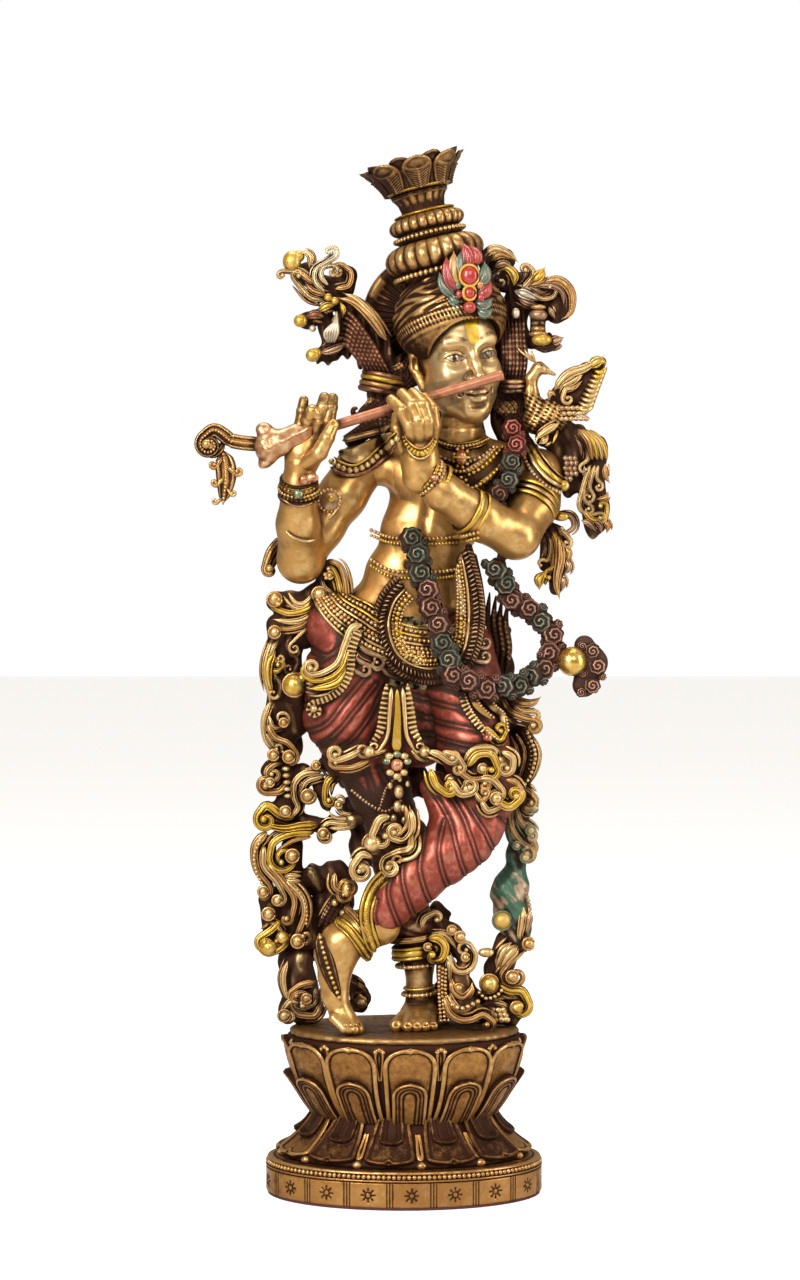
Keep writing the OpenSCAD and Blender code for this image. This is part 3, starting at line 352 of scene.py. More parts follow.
def turnX(a):
    c, s = math.cos(a), math.sin(a)
    return np.array([[1, 0, 0], [0, c, -s], [0, s, c]])


def turnY(a):
    c, s = math.cos(a), math.sin(a)
    return np.array([[c, 0, s], [0, 1, 0], [-s, 0, c]])


def turnZ(a):
    c, s = math.cos(a), math.sin(a)
    return np.array([[c, -s, 0], [s, c, 0], [0, 0, 1]])


# Paints: linear colour and strength
gilt = (0.62, 0.36, 0.03, 0.85)
red = (0.36, 0.035, 0.02, 0.85)
green = (0.03, 0.16, 0.10, 0.85)
darkLine = (0.035, 0.012, 0.006, 1.0)


# Pedestal

low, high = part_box("plinth")
plinthR = (high.x - low.x) * 500
oval = (high.y - low.y) / (high.x - low.x)
plinthTop = high.z * 1000
feltTop = low.z * 1000
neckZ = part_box("lotus_upper")[0].z * 1000
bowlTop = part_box("lotus_upper")[1].z * 1000
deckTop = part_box("deck")[1].z * 1000
neckR = 52.0
plinthWall = {"panels": 17, "shift": 4.5, "drop": 6.2, "starZ": 8.6, "starR": 4.4, "cut": 0.5, "bead": 1.4, "beadPitch": 2.95}
lotusPetals = {"count": 12, "lowerStart": -97, "upperStart": -87, "lowerHalf": 15.4, "upperHalf": 16.6, "stud": 3.0,
               "pearl": 1.5}


# An oval shell of revolution. profile rows are (radius, height, cavity); relief(angle, row) pushes it out
def loft(name, profile, angles, relief=None):
    profile = np.asarray(profile, float)
    r, z, c = (profile[:, i][:, None] for i in range(3))
    push, dark = relief(angles[None, :], profile) if relief else (0, 0)
    rr = r + push
    verts = np.stack(np.broadcast_arrays(rr * np.cos(angles), oval * rr * np.sin(angles), z + 0 * angles), -1)
    cavity = np.broadcast_to(np.clip(c + dark, 0, 1), verts.shape[:2])
    put(name, verts, gridFaces(len(profile), len(angles), True), cavity.ravel())


# Millimetres along the oval from the front middle, by its local speed
def arcLength(angle, r):
    steps = np.linspace(-np.pi / 2, 1.5 * np.pi, 721)
    speed = r * np.hypot(np.sin(steps), oval * np.cos(steps))
    table = np.r_[0, np.cumsum((speed[1:] + speed[:-1]) / 2 * np.diff(steps))]
    return np.interp((angle + np.pi / 2) % (2 * np.pi), steps + np.pi / 2, table), table[-1], steps, table


def plinthRelief(angle, rows):
    s, total, _, _ = arcLength(angle, plinthR)
    pitch = total / plinthWall["panels"]
    u = (s - plinthWall["shift"] + pitch / 2) % pitch - pitch / 2
    z = rows[:, 1][:, None]
    wall = ((z < plinthTop - plinthWall["drop"]) & (rows[:, 0][:, None] > plinthR - 1.3)).astype(float)
    dz = z - plinthWall["starZ"]
    d = np.hypot(u, dz)
    turn = np.arctan2(dz, u)
    ray = np.abs(np.sin(4 * turn)) * d / 4
    star = np.exp(-((ray / 0.42) ** 2)) * (d > 2.3) * (d < plinthWall["starR"]) + np.exp(-(((d - 1.7) / 0.4) ** 2))
    edge = pitch / 2 - np.abs(u)
    bars = sum(np.exp(-(((edge - e) / 0.3) ** 2)) for e in (0.0, 1.7))
    cut = np.clip(star + bars, 0, 1) * wall
    return -plinthWall["cut"] * cut, 0.95 * cut


wallTop = plinthTop - plinthWall["drop"]
plinthRows = [(plinthR - 1, feltTop, 0.6), (plinthR - 0.3, feltTop + 0.3, 0.3)]
plinthRows += [(plinthR, z, 0.12) for z in np.arange(feltTop + 0.9, wallTop - 0.3, 0.42)]
plinthRows += [(plinthR - 0.2, wallTop - 0.2, 0.5), (plinthR - 0.8, wallTop, 1), (plinthR - 0.8, wallTop + 0.4, 1),
               (plinthR + 0.1, wallTop + 0.7, 0.2), (plinthR + 0.2, wallTop + 1.2, 0), (plinthR - 0.2, wallTop + 1.6, 0.5),
               (plinthR - 1.7, wallTop + 1.9, 1), (plinthR - 1.9, wallTop + 3.2, 1), (plinthR - 1.9, wallTop + 4.4, 1),
               (plinthR - 0.9, wallTop + 4.7, 0.5), (plinthR - 0.7, wallTop + 5.2, 0), (plinthR - 1.1, wallTop + 5.8, 0),
               (plinthR - 2.2, wallTop + 6.2, 0.1), (plinthR - 4.2, wallTop + 6.3, 0.2), (plinthR - 4.7, wallTop + 6.0, 0.8),
               (plinthR - 5.3, wallTop + 6.0, 0.8), (plinthR - 6, wallTop + 6.5, 0.3), (plinthR - 14, wallTop + 6.7, 0.8),
               (plinthR - 24, wallTop + 6.7, 1)]
plinthAngles = np.linspace(0, 2 * np.pi, int(1240 / coarse), endpoint=False)
loft("plinth", plinthRows, plinthAngles, plinthRelief)
bottom = [(plinthR - 12, feltTop + 8, 1), (plinthR - 10, feltTop, 1), (plinthR - 1, feltTop, 0.6)]
loft("plinth", bottom, np.linspace(0, 2 * np.pi, 180, endpoint=False))
_, rimLength, rimSteps, rimTable = arcLength(np.zeros(1), plinthR)
beadCount = int(rimLength / plinthWall["beadPitch"])
beadAngles = np.interp(np.linspace(0, rimLength, beadCount, endpoint=False), rimTable, rimSteps)
beadR = plinthR - 1.3
balls("bead_band", np.stack([beadR * np.cos(beadAngles), oval * beadR * np.sin(beadAngles),
                             np.full(beadCount, wallTop + 3.2)], 1),
      plinthWall["bead"], cols=10, rows=8)


# Radius and height on the lower lotus, from its neck (0) to its rim (1)
def lowerSurface(v):
    return neckR - 1 + 22 * v**1.12, neckZ + 0.5 - (neckZ - plinthTop - 1.6) * v**0.82


def upperSurface(v):
    return neckR - 1 + 17.5 * (1 - (1 - v) ** 2.1), neckZ - 0.5 + (bowlTop - neckZ + 0.5) * v


# A petal laid on an oval surface. Its relief is a raised rim, a groove, then a flat or grooved panel
def petal(name, surface, centre, halfMm, v0, v1, lift, tipLift=0.0, rim=3.2, thick=1.7, cusp=0.0, grooves=(), arch=2.4,
          panel=0.7, taperIn=0.0, roundAt=0.7):
    cols, rows = int(44 / coarse), int(56 / coarse)
    u = np.linspace(-1, 1, cols)[None, :]
    q = np.linspace(0, 1, rows)[:, None]
    v = v0 + (v1 - v0) * q
    r, z = surface(v)
    end = np.clip((q - roundAt) / (1 - roundAt), 0, 1)
    half = halfMm * (1 - taperIn * (1 - q)) * np.sqrt(np.clip(1 - end**arch, 0.0004, 1))
    speed = r * np.hypot(np.sin(centre), oval * np.cos(centre))
    angle = centre + u * half / speed
    base = np.stack(np.broadcast_arrays(r * np.cos(angle), oval * r * np.sin(angle), z + 0 * angle), -1)
    normal = unit(np.cross(np.gradient(base, axis=1), np.gradient(base, axis=0)))
    outward = np.stack([np.cos(angle), np.sin(angle) / oval, 0 * angle], -1)
    normal *= np.sign((normal * outward).sum(-1, keepdims=True))
    length = np.hypot(*(np.array(surface(v1)) - np.array(surface(v0))))
    side = (1 - np.abs(u)) * half
    tip = (1 - q) * length - cusp * np.exp(-((u * half / 1.6) ** 2))
    k = 2.2
    d = -k * np.log(np.exp(-side / k) + np.exp(-tip / k)) + k * 0.35
    h = thick * np.clip(d / 1.0, 0, 1) ** 0.5
    inner = np.clip((d - rim) / 0.7, 0, 1)
    h = h * (1 - inner) + (thick * panel) * inner
    groove = np.exp(-(((d - rim - 0.3) / 0.42) ** 2))
    for g in grooves:
        groove = groove + np.exp(-(((d - g) / 0.42) ** 2))
    h = h - 0.75 * np.clip(groove, 0, 1) + lift + tipLift * np.clip((q - 0.45) / 0.55, 0, 1) ** 1.8
    cavity = np.clip(groove + 0.8 * np.exp(-((d / 0.5) ** 2)) + 0.25 * inner, 0, 1)
    verts = base + normal * h[..., None]
    put(name, verts, gridFaces(rows, cols), cavity.ravel())
    # The edge goes down to the bowl all round
    ring = np.r_[np.arange(rows) * cols, (rows - 1) * cols + np.arange(1, cols), (np.arange(rows - 2, -1, -1) + 1) * cols - 1]
    top = verts.reshape(-1, 3)[ring]
    under = (base - normal * 1.5).reshape(-1, 3)[ring]
    put(name, np.stack([top, under]), gridFaces(2, len(ring)), 0.85)


bowlAngles = np.linspace(0, 2 * np.pi, 240, endpoint=False)
for k in range(lotusPetals["count"]):
    step = 360 / lotusPetals["count"] * k
    below, above = math.radians(lotusPetals["lowerStart"] + step), math.radians(lotusPetals["upperStart"] + step)
    petal("lotus_lower", lowerSurface, below, lotusPetals["lowerHalf"], 0.02, 1.0, 0.5, tipLift=1.4, rim=3.0, cusp=3.0,
          taperIn=0.4, roundAt=0.82,
          arch=3.2, panel=0.55, thick=2.0)
    petal("lotus_lower", lowerSurface, below, 7.6, 0.0, 0.56, 2.0, tipLift=1.6, rim=2.2, grooves=(4.4,), taperIn=0.25,
          panel=0.9,
          thick=1.4)
    mid = below + math.radians(15)
    petal("lotus_lower", lowerSurface, mid, 2.4, 0.3, 0.9, 0.2, rim=2.4, taperIn=0.4, thick=1.0, roundAt=0.9)
    r, z = lowerSurface(0.95)
    ball("lotus_lower", (r * math.cos(mid), oval * r * math.sin(mid), z - 0.6), lotusPetals["stud"], (1, 0.8, 0.75))
    petal("lotus_upper", upperSurface, above, lotusPetals["upperHalf"], 0.0, 0.985, 0.7, tipLift=1.2, rim=3.3, taperIn=0.26,
          roundAt=0.66, arch=2.6,
          panel=0.42, thick=2.0, cusp=1.0)
    petal("lotus_upper", upperSurface, above, 10.2, 0.0, 0.56, 2.6, tipLift=2.4, rim=2.5, grooves=(4.6, 6.8), taperIn=0.12,
          roundAt=0.6, panel=0.9, thick=1.6)
    mid = above + math.radians(15)
    petal("lotus_upper", upperSurface, mid, 3.6, 0.55, 0.98, 0.1, rim=2.0, taperIn=0.7, thick=1.0, roundAt=0.9)
    r, z = upperSurface(0.95)
    for j in (-1, 0, 1):
        a = mid + j * 0.035
        ball("lotus_upper", (r * math.cos(a), oval * r * math.sin(a), z - 1.4 + 1.4 * (j == 0)), lotusPetals["pearl"])
lower = np.stack(lowerSurface(np.linspace(0, 1, 12)), 1)
loft("lotus_lower", [(r - 0.5, z, 0.9) for r, z in lower] + [(lower[-1][0] - 3, plinthTop + 0.2, 1)], bowlAngles)
upper = np.stack(upperSurface(np.linspace(0, 1, 14)), 1)
loft("lotus_upper", [(r - 0.4, z, 0.9) for r, z in upper] + [(upper[-1][0] - 2, bowlTop + 0.5, 1)], bowlAngles)


def deckRelief(angle, rows):
    rough = 0.35 * np.sin(9 * angle + 1) + 0.3 * np.sin(23 * angle) + 0.25 * np.sin(41 * angle + 2)
    near = (rows[:, 0][:, None] > 60).astype(float)
    return rough * near, 0


deckR = (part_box("deck")[1].x) * 1000
deckRows = [(deckR - 3, bowlTop - 0.5, 1), (deckR - 1.2, bowlTop, 0.9), (deckR + 0.2, bowlTop + 0.8, 0.4),
            (deckR + 0.5, bowlTop + 2, 0.1),
            (deckR, deckTop - 0.9, 0.1), (deckR - 1.2, deckTop, 0.2), (deckR - 6, deckTop, 0.35), (deckR - 20, deckTop, 0.5),
            (20, deckTop, 0.5), (0.1, deckTop, 0.5)]
loft("deck", deckRows, np.linspace(0, 2 * np.pi, 360, endpoint=False), deckRelief)
print("pedestal built", flush=True)


# Legs, cloth and feet


clothMarks = {"gap": 1.25, "wide": 0.5, "pitch": 9.0, "star": 1.9, "line": (0.05, 0.010, 0.006), "spot": (0.12, 0.02, 0.012)}


# How near points are to a set of double lines drawn in the XZ plane, and how far from the lines
def strokes(lines):
    paths = np.vstack([smooth([(x, 0, z) for x, z in line], 0.8)[:, [0, 2]] for line in lines])
    gx, gz = np.arange(-80, 90, 0.6), np.arange(140, 345, 0.6)
    grid = np.empty((len(gx), len(gz)))
    for i, x in enumerate(gx):
        close = paths[np.abs(paths[:, 0] - x) < 12]
        grid[i] = np.sqrt((((x - close[:, 0])[None] ** 2 + (gz[:, None]
                                            - close[:, 1][None]) ** 2)).min(1)) if len(close) else 20

    def near(x, z):
        u, v = np.clip((x + 80) / 0.6, 0, len(gx) - 1.01), np.clip((z - 140) / 0.6, 0, len(gz) - 1.01)
        i, j = u.astype(int), v.astype(int)
        u, v = u - i, v - j
        d = (grid[i, j] * (1 - u) * (1 - v) + grid[i + 1, j] * u * (1 - v) + grid[i, j + 1] * (1 - u) * v
             + grid[i + 1, j + 1] * u * v)
        return np.exp(-(((d - clothMarks["gap"]) / clothMarks["wide"]) ** 2)), d
    return near


# Small star prints in a staggered grid, hidden near lines by the caller
def prints(x, z):
    pitch = clothMarks["pitch"]
    row = np.floor(z / pitch)
    u = (x + 0.5 * pitch * (row % 2) + 1.3 * np.sin(row * 2.1)) % pitch - pitch / 2
    w = z % pitch - pitch / 2
    d = np.hypot(u, w)
    a = np.arctan2(w, u)
    return ((np.abs(np.sin(3 * a)) * d < 0.55) & (d < clothMarks["star"])) | (d < 0.6)


thighLines = strokes([
    [(-22, 304), (-35, 288), (-45, 276), (-58, 270)], [(-16, 299), (-28, 284), (-40, 270), (-55, 259)],
    [(-11, 297), (-20, 280), (-31, 266), (-42, 258)], [(-28, 312), (-42, 298), (-52, 289), (-62, 284)],
    [(-40, 318), (-50, 312), (-62, 308)], [(-30, 330), (-44, 316), (-60, 322)], [(-9, 290), (-14, 274), (-20, 262)],
    [(4, 292), (20, 288), (34, 285)], [(6, 281), (22, 277), (42, 274)], [(8, 270), (24, 267), (46, 262)],
    [(8, 260), (30, 257), (50, 250)],
    [(4, 300), (20, 298), (40, 294)], [(-14, 250), (-6, 236), (0, 222)], [(-22, 250), (-16, 232), (-10, 216)],
    [(30, 246), (40, 244), (56, 238)]])
thigh = Field((-66, -38, 178), (64, 26, 350), 0.7)
thigh.chain([(-24, -1, 330), (-32, 0, 306), (-33, 1, 280), (-26, 2, 262)], [17, 24, 24, 20], 6)
thigh.chain([(-25, 2, 262), (-14, 2, 236), (-7, 2, 214)], [20, 17, 14.5], 4)
thigh.chain([(32, -1, 318), (34, -4, 300), (40, -13, 266), (47, -20, 234)], [20, 21, 19, 17], 5)
thigh.blob((4, 2, 318), (34, 18, 26), 8)
thigh.blob((-41, 2, 334), (18, 18, 17), 6)
thigh.blob((9, 0, 276), (20, 10, 26), 6)
thigh.blob((2, 2, 285), (20, 12, 26), 6)
thigh.displace(lambda x, y, z: (0.7 - 1.2 * np.exp(-((thighLines(x, z)[1] / 2.4) ** 2)) + 1.0
                                * np.exp(-((thighLines(x, z)[1] / 0.8) ** 2))) * (y < 6))


def clothPaint(lines):
    def paint(x, y, z):
        near, d = lines(x, z)
        out = np.zeros((len(x), 4))
        mark = prints(x, z) & (d > 2.6) & (y < 4)
        out[:, :3] = np.where(mark[:, None], clothMarks["spot"], clothMarks["line"])
        out[:, 3] = np.where(mark, 0.6, np.clip(near * 0.95, 0, 1) * (y < 8))
        return out
    return paint


# Cavity is higher near the pleat lines and below z 248 left of x 20, where the crossed leg stands in front: painted
# shade
putField("thigh_cloth", thigh, clothPaint(thighLines), lambda x, y, z: 0.05 + 0.42
         * np.exp(-((thighLines(x, z)[1] / 3.2) ** 2)) + 0.5 * (z < 248) * (x < 20))

shinLines = strokes([
    [(-16, 176), (-17, 166), (-13, 154)], [(-7, 192), (-9, 180), (-4, 164), (-2, 158)],
    [(1, 210), (-1, 190), (5, 168), (9, 162)],
    [(12, 216), (9, 196), (14, 177), (20, 168)], [(23, 222), (20, 204), (25, 184), (32, 176)],
    [(12, 244), (26, 222), (32, 200), (38, 184)],
    [(20, 246), (34, 224), (43, 198), (48, 190)], [(34, 236), (46, 216), (52, 204), (60, 196)],
    [(44, 238), (56, 224), (66, 212)]])
shin = Field((-40, -56, 140), (76, 16, 250), 0.55)
shin.chain([(42, -18, 236), (44, -22, 222), (36, -25, 208)], [14, 14.5, 15], 5)
shin.chain([(40, -23, 214), (23, -26, 202), (3, -26, 186), (-12, -25, 168)], [14.5, 17, 16.5, 13.5], 6)
shin.limb((18, -18, 240), 9, (28, -21, 224), 13, 8)
shin.displace(lambda x, y, z: (-1.0 * np.exp(-((shinLines(x, z)[1] / 2.2) ** 2)) + 1.0
                               * np.exp(-((shinLines(x, z)[1] / 0.7) ** 2))) * (y < -12))
# Cavity is higher near the pleat lines: painted shade in the folds
putField("crossed_leg", shin, clothPaint(shinLines), lambda x, y, z: 0.02 + 0.3 * np.exp(-((shinLines(x, z)[1] / 2.4) ** 2)))

stand = Field((-30, -22, 96), (40, 26, 232), 0.7)
stand.chain([(-8, 3, 222), (-6, 3, 206), (-2, 5, 180), (4, 6, 158), (7, 6, 146)], [16, 15.5, 14, 12.5, 11.5], 4)
stand.chain([(8, 5, 150), (9, 5, 132), (9, 5, 118), (9, 6, 104)], [9.5, 8.6, 7.6, 9], 2)
stand.below(deckTop - 0.5)
stand.displace(lambda x, y, z: -0.5 * (0.5 + 0.5 * np.cos((z + 0.35 * x) / 1.3)) ** 4 * (z > 151))


def standPaint(x, y, z):
    bands = 0.5 + 0.5 * np.cos((z + 0.35 * x) / 1.3)
    out = np.zeros((len(x), 4))
    cloth = z > 151
    cuff = (z > 134.5) & (z <= 151)
    out[cloth] = (0.13, 0.022, 0.013, 0.85)
    # Darker where the carved grooves are deepest: painted shade in the folds
    out[cloth & (bands > 0.85)] = (0.03, 0.008, 0.005, 0.9)
    out[cuff] = (0.10, 0.045, 0.022, 0.8)
    return out


putField("standing_leg", stand, standPaint)

foot = Field((-16, -26, 95), (34, 24, 124), 0.5)
foot.chain([(9, 6, 116), (9, 7, 104)], [8, 8.6], 2)
foot.chain([(9, 12, 102), (9, 4, 103), (8, -6, 101.5), (7, -13, 100.5)], [7.5, 9, 8.6, 7.5], 4, flat=(1.15, 1, 0.8))
for i, (x, y, r) in enumerate([(-4.5, -14.5, 4.2), (2.0, -17.2, 3.5), (7.6, -17.6, 3.2), (12.6, -16.6, 3.0),
                               (17.2, -14.2, 2.8)]):
    foot.limb((x * 0.8 + 3, y + 9, 103), r, (x, y, 100.4), r * 0.95, 1.6)
    foot.blob((x, y - 2.6, 100.2), (r * 0.95, r * 0.8, r * 0.9), 0.6)
    foot.blob((x, y - r * 1.3 - 0.3, 102.0), (r * 0.5, 1.2, r * 0.42), 0.35, cut=True)
foot.below(deckTop - 0.3)
putField("standing_foot", foot)

# The crossed foot on tiptoe, its heel to the left
tip = Field((-60, -44, 94), (2, -6, 170), 0.5)
tip.chain([(-14, -24, 160), (-26, -23, 156), (-37, -22, 150)], [12, 12, 11], 3)
tip.chain([(-37, -22, 150), (-41.5, -21, 142), (-42, -22, 130), (-40.5, -23, 118), (-36, -25, 108), (-30.5, -27, 102.5)],
          [10.8, 9.6, 7.4, 6.6, 6.4, 5.4], 3)
tip.chain([(-33, -24, 146), (-38, -24, 132), (-38, -25, 118)], [9, 7, 6], 3)
tip.blob((-44, -20, 143), (7.5, 7.5, 8), 3)
for x, y, z, r in ((-26.4, -28, 100.2, 3.4), (-28.5, -32, 100.6, 2.9), (-31.5, -34, 100.9, 2.6), (-34.5, -35, 101.4, 2.4)):
    tip.limb((x - 6, y + 4, 107), r + 0.6, (x, y, z), r, 1.4)
    tip.blob((x + r * 0.5, y - 1.5, z + r * 0.9), (r * 0.55, r * 0.5, 0.7), 0.3, cut=True)
tip.below(deckTop - 0.3)
putField("crossed_foot", tip)

# The stud band down the crossed foot, its wide cuffs, and the rings of the other ankle
strap = laid([(-49, 156), (-47, 148), (-43.5, 136), (-40, 126), (-36, 116)], 0.4, -28)
sweep("leg_cuffs", strap, 4.0, 1.2, "rims", "leaf", dark=0.45)
beads("leg_cuffs", strap[2:-3], 1.15, 2.5, 1.0, gilt)
pale = (0.70, 0.46, 0.19, 0.6)
amber = (0.46, 0.22, 0.06, 0.7)
umber = (0.34, 0.19, 0.12, 0.75)


def cuff(points, wide, tint, bead=0.0):
    line = laid(points, 0.2, -26)
    line = np.vstack([line[:1] + [1.5, 9, 2], line[:1] + [0.5, 4, 1], line, line[-1:] + [0.5, 4, 0], line[-1:] + [1.5, 9, 0]])
    sweep("leg_cuffs", line, wide, 1.5, "rims", paint=tint)
    if bead:
        beads("leg_cuffs", line[3:-3], bead, 2.2, 1.2, tint)


cuff([(-9, 192), (-17, 183), (-21.5, 170), (-20.5, 158), (-17, 147)], 4.6, gilt, 0.7)
cuff([(-38, 163), (-31, 158), (-25, 150), (-20, 141)], 3.6, gilt, 0.6)
cuff([(-33, 170), (-27, 165), (-22, 158), (-19, 152)], 2.4, None)


def ringBand(name, centre, rx, ry, tilt, width, height, kind="round", paint=None):
    a = np.radians(np.linspace(0, 360, int(90 / coarse)))
    p = np.stack([rx * np.cos(a), ry * np.sin(a), tilt * np.cos(a)], 1) + np.asarray(centre, float)
    sweep(name, p, width, height, kind, out=np.stack([np.cos(a) / rx, np.sin(a) / ry, 0 * a], 1), paint=paint)
    return p


ringBand("leg_cuffs", (5, 5, 149), 13.2, 13.2, 1.5, 2.0, 1.6, "groove")
ringBand("leg_cuffs", (6, 5, 141), 12.6, 12.8, 1.5, 4.2, 1.2, "rims", paint=gilt)
beads("leg_cuffs", ringBand("leg_cuffs", (7, 5, 133), 11.2, 11.6, 1, 1.2, 1.0), 1.35, 2.0)
beads("leg_cuffs", ringBand("leg_cuffs", (9, 5, 116), 9.6, 9.8, 0.6, 1.0, 0.8), 1.3, 2.0)
beads("leg_cuffs", ringBand("leg_cuffs", (9, 5, 119.4), 8.8, 9.0, 0.6, 0.8, 0.7, paint=gilt), 0.85, 2.0, paint=gilt)

# Trunk and arms

body = Field((-58, -36, 326), (70, 28, 462), 0.75)
body.blob((26, 7, 412), (34, 18, 32), 3)
body.blob((8, -5, 419), (17, 9.5, 13.5), 5)
body.blob((43, -5, 421), (16, 9.5, 13), 5)
body.blob((13, 3, 386), (27, 15.5, 25), 9)
body.blob((4, 1, 362), (27, 16, 22), 7)
body.blob((0, 4, 345), (34, 19, 17), 8)
body.limb((-20, 4, 426), 12.5, (30, 6, 432), 14, 8)
body.limb((30, 6, 432), 14, (72, 6, 423), 13, 8)
body.limb((31, 6, 428), 16, (33, 1, 446), 12.2, 7)
body.limb((33, 1, 442), 12, (34, 0, 462), 12.2, 2)
body.blob((2, -13.5, 368), (2.0, 2.2, 2.4), 1.2, cut=True)
body.limb((14, -12.5, 405), 0.5, (10, -14, 380), 0.4, 5, cut=True)
body.displace(lambda x, y, z: -0.5 * (np.exp(-(((z - 447 - 0.03 * (x - 33) ** 2 * 0.3) / 0.9) ** 2))
                                       + np.exp(-(((z - 453.5 - 0.01 * (x - 33) ** 2) / 0.8) ** 2))) * (np.abs(x - 33) < 14))
putField("torso", body)
bare = depth.copy()

arms = {
    "right_arm": {"low": (-84, -60, 340), "high": (-8, 26, 446),
                  "upper": ([(-26, 4, 424), (-36, 0, 408), (-48, -4, 390), (-59, -8, 374)], [14.5, 13.6, 12.6, 13]),
                  "elbow": ((-60, -7, 369), (13, 12.5, 12)),
                  "lower": ([(-60, -10, 372), (-61, -24, 392), (-60, -37, 414), (-59, -40, 426)], [12.8, 12, 9.6, 8.6])},
    "left_arm": {"low": (-10, -66, 360), "high": (98, 26, 442),
                 "upper": ([(78, 6, 421), (76, -3, 404), (66, -18, 386)], [15, 14, 12.8]),
                 "elbow": ((64, -20, 384), (13, 13, 12)),
                 "lower": ([(64, -21, 385), (44, -32, 395), (22, -42, 410), (9, -46, 424)], [12.8, 12.6, 10.6, 9])},
}
for name, arm in arms.items():
    limb = Field(arm["low"], arm["high"], 0.65)
    limb.chain(*arm["upper"], 5)
    limb.blob(*arm["elbow"], 4)
    limb.chain(*arm["lower"], 4)
    putField(name, limb)

# Hands


def finger(field, points, radii, nail=None):
    field.chain(points, radii, 0.9, inner=0.4)
    for p, r in zip(points[1:-1], radii[1:-1]):
        field.blob(p, (r * 1.06, r * 1.06, r * 0.9), 0.6)
    if nail is not None:
        tip, way = np.array(points[-1], float), unit(np.array(nail, float))
        field.blob(tip + way * radii[-1] * 0.86, (radii[-1] * 0.62, 0.7, radii[-1] * 0.75), 0.3, cut=True)


hands = {  # fingers are (points, radii), the thumb last
    "right_hand": {"low": (-84, -64, 416), "high": (-18, -16, 478), "flat": (1.1, 0.8, 1), "nail": (0.2, -1, 0.3),
                   "palm": ([(-59, -40, 424), (-57, -41, 432), (-53, -41, 439)], [8.4, 9.2, 8.6]),
                   "fingers": [
                       ([(-44.5, -43, 441), (-43, -46, 450), (-41.5, -46, 458), (-40.5, -44, 463)], [4.4, 4.1, 3.8, 3.2]),
                       ([(-50, -42, 441), (-48, -46, 450), (-46.2, -47, 458), (-45.2, -45, 463.5)], [4.4, 4.2, 3.8, 3.2]),
                       ([(-55, -41, 442), (-54.5, -46, 450.5), (-52, -49, 456), (-49, -48, 453)], [4.1, 3.9, 3.5, 3.1]),
                       ([(-60, -40, 440), (-59, -43, 448), (-57.8, -43.5, 456), (-57, -42.5, 462)], [3.8, 3.5, 3.3, 2.8]),
                       ([(-55, -45, 427), (-48, -51, 432), (-43.5, -53, 440.5), (-40, -52, 448)], [5.2, 4.7, 4.2, 3.3])]},
    "left_hand": {"low": (-22, -70, 408), "high": (44, -18, 476), "flat": (1.1, 0.85, 1), "nail": None,
                  "palm": ([(9, -46, 418), (9, -47, 428), (9.5, -47, 438)], [9.2, 9.4, 8.6]),
                  "fingers": [
                      ([(5, -49, 438), (3.4, -55, 448), (-1, -56, 456), (-7, -51, 462)], [4.6, 4.3, 4.0, 3.2]),
                      ([(8.8, -50, 439), (8, -57, 450), (4.4, -57, 459), (-1, -51, 465.5)], [4.6, 4.4, 4.1, 3.3]),
                      ([(12.4, -49, 439), (13, -56, 450), (10.4, -56, 459.5), (5, -50, 466)], [4.5, 4.3, 4.0, 3.2]),
                      ([(15, -46, 438), (17, -51, 448), (16, -52, 457), (11.5, -48, 463.5)], [4.1, 3.9, 3.6, 3.0]),
                      ([(3, -46, 430), (-2, -48, 438), (-4, -47, 446), (-4, -44, 453)], [4.4, 4.0, 3.7, 3.1])]},
}


def fingerShade(x, y, z):
    out = np.zeros((len(x), 4))
    out[:, :3] = (0.16, 0.075, 0.02)
    out[:, 3] = 0.75 * np.clip((z - 445) / 6, 0, 1) * (y > -50.5)
    return out


for name, hand in hands.items():
    palm = Field(hand["low"], hand["high"], 0.45)
    palm.chain(*hand["palm"], 3, flat=hand["flat"])
    for points, radii in hand["fingers"]:
        finger(palm, points, radii, hand["nail"] if points is hand["fingers"][-1][0] else None)
    putField(name, palm, fingerShade if name == "right_hand" else None)
print("body and hands built", flush=True)

# Head, in its own frame: x across, front towards -y, z up from the eyes

headMid = np.array([30.0, 3.0, 488.6])
headScale = 1.1
headTurn = turnY(math.radians(-7.5)) @ turnZ(math.radians(24)) @ turnX(math.radians(4))


def headPlace(p):
    return headScale * np.asarray(p, float) @ headTurn.T + headMid


# Height of a lid's edge at x, for the eye on one side
def eyeCurve(x, side, top):
    u = (x * side - 9.6) / 5.6
    return (2.3 if top else -1.75) * (1 - u**2) + 0.55 * u - 0.15


head = Field((-29, -36, -40), (29, 36, 44), 0.42)
head.blob((0, 4, 11), (22, 26, 25), 0)
head.blob((0, -6, -7), (19.6, 17, 25), 4)
head.blob((0, -8, 13), (18.6, 15, 15), 5)
head.blob((0, -15.5, -27), (7.2, 6.6, 6.4), 6)
for s in (-1, 1):
    head.limb((s * 15, -2, -17), 5.5, (s * 3, -15, -28), 5, 7)
    head.blob((s * 10, -14.5, -9), (8, 7.2, 8.5), 5)
    head.limb((s * 3.5, -20.5, 7), 2.0, (s * 13, -18.3, 7.8), 2.6, 5)
    head.blob((s * 9.6, -24.5, -0.2), (7.8, 5.2, 5.2), 3, cut=True)
head.limb((0, -20.2, 5), 2.6, (0, -24.2, -4), 2.5, 3.5)
head.limb((0, -24, -4), 2.4, (0, -27.4, -10.6), 3.0, 2.5)
for s in (-1, 1):
    head.blob((s * 3.6, -23.9, -11.9), (2.7, 3.5, 2.4), 1.6)
    head.limb((s * 1.9, -25.3, -14.4), 1.0, (s * 2.3, -23.5, -13.2), 0.9, 0.6, cut=True)
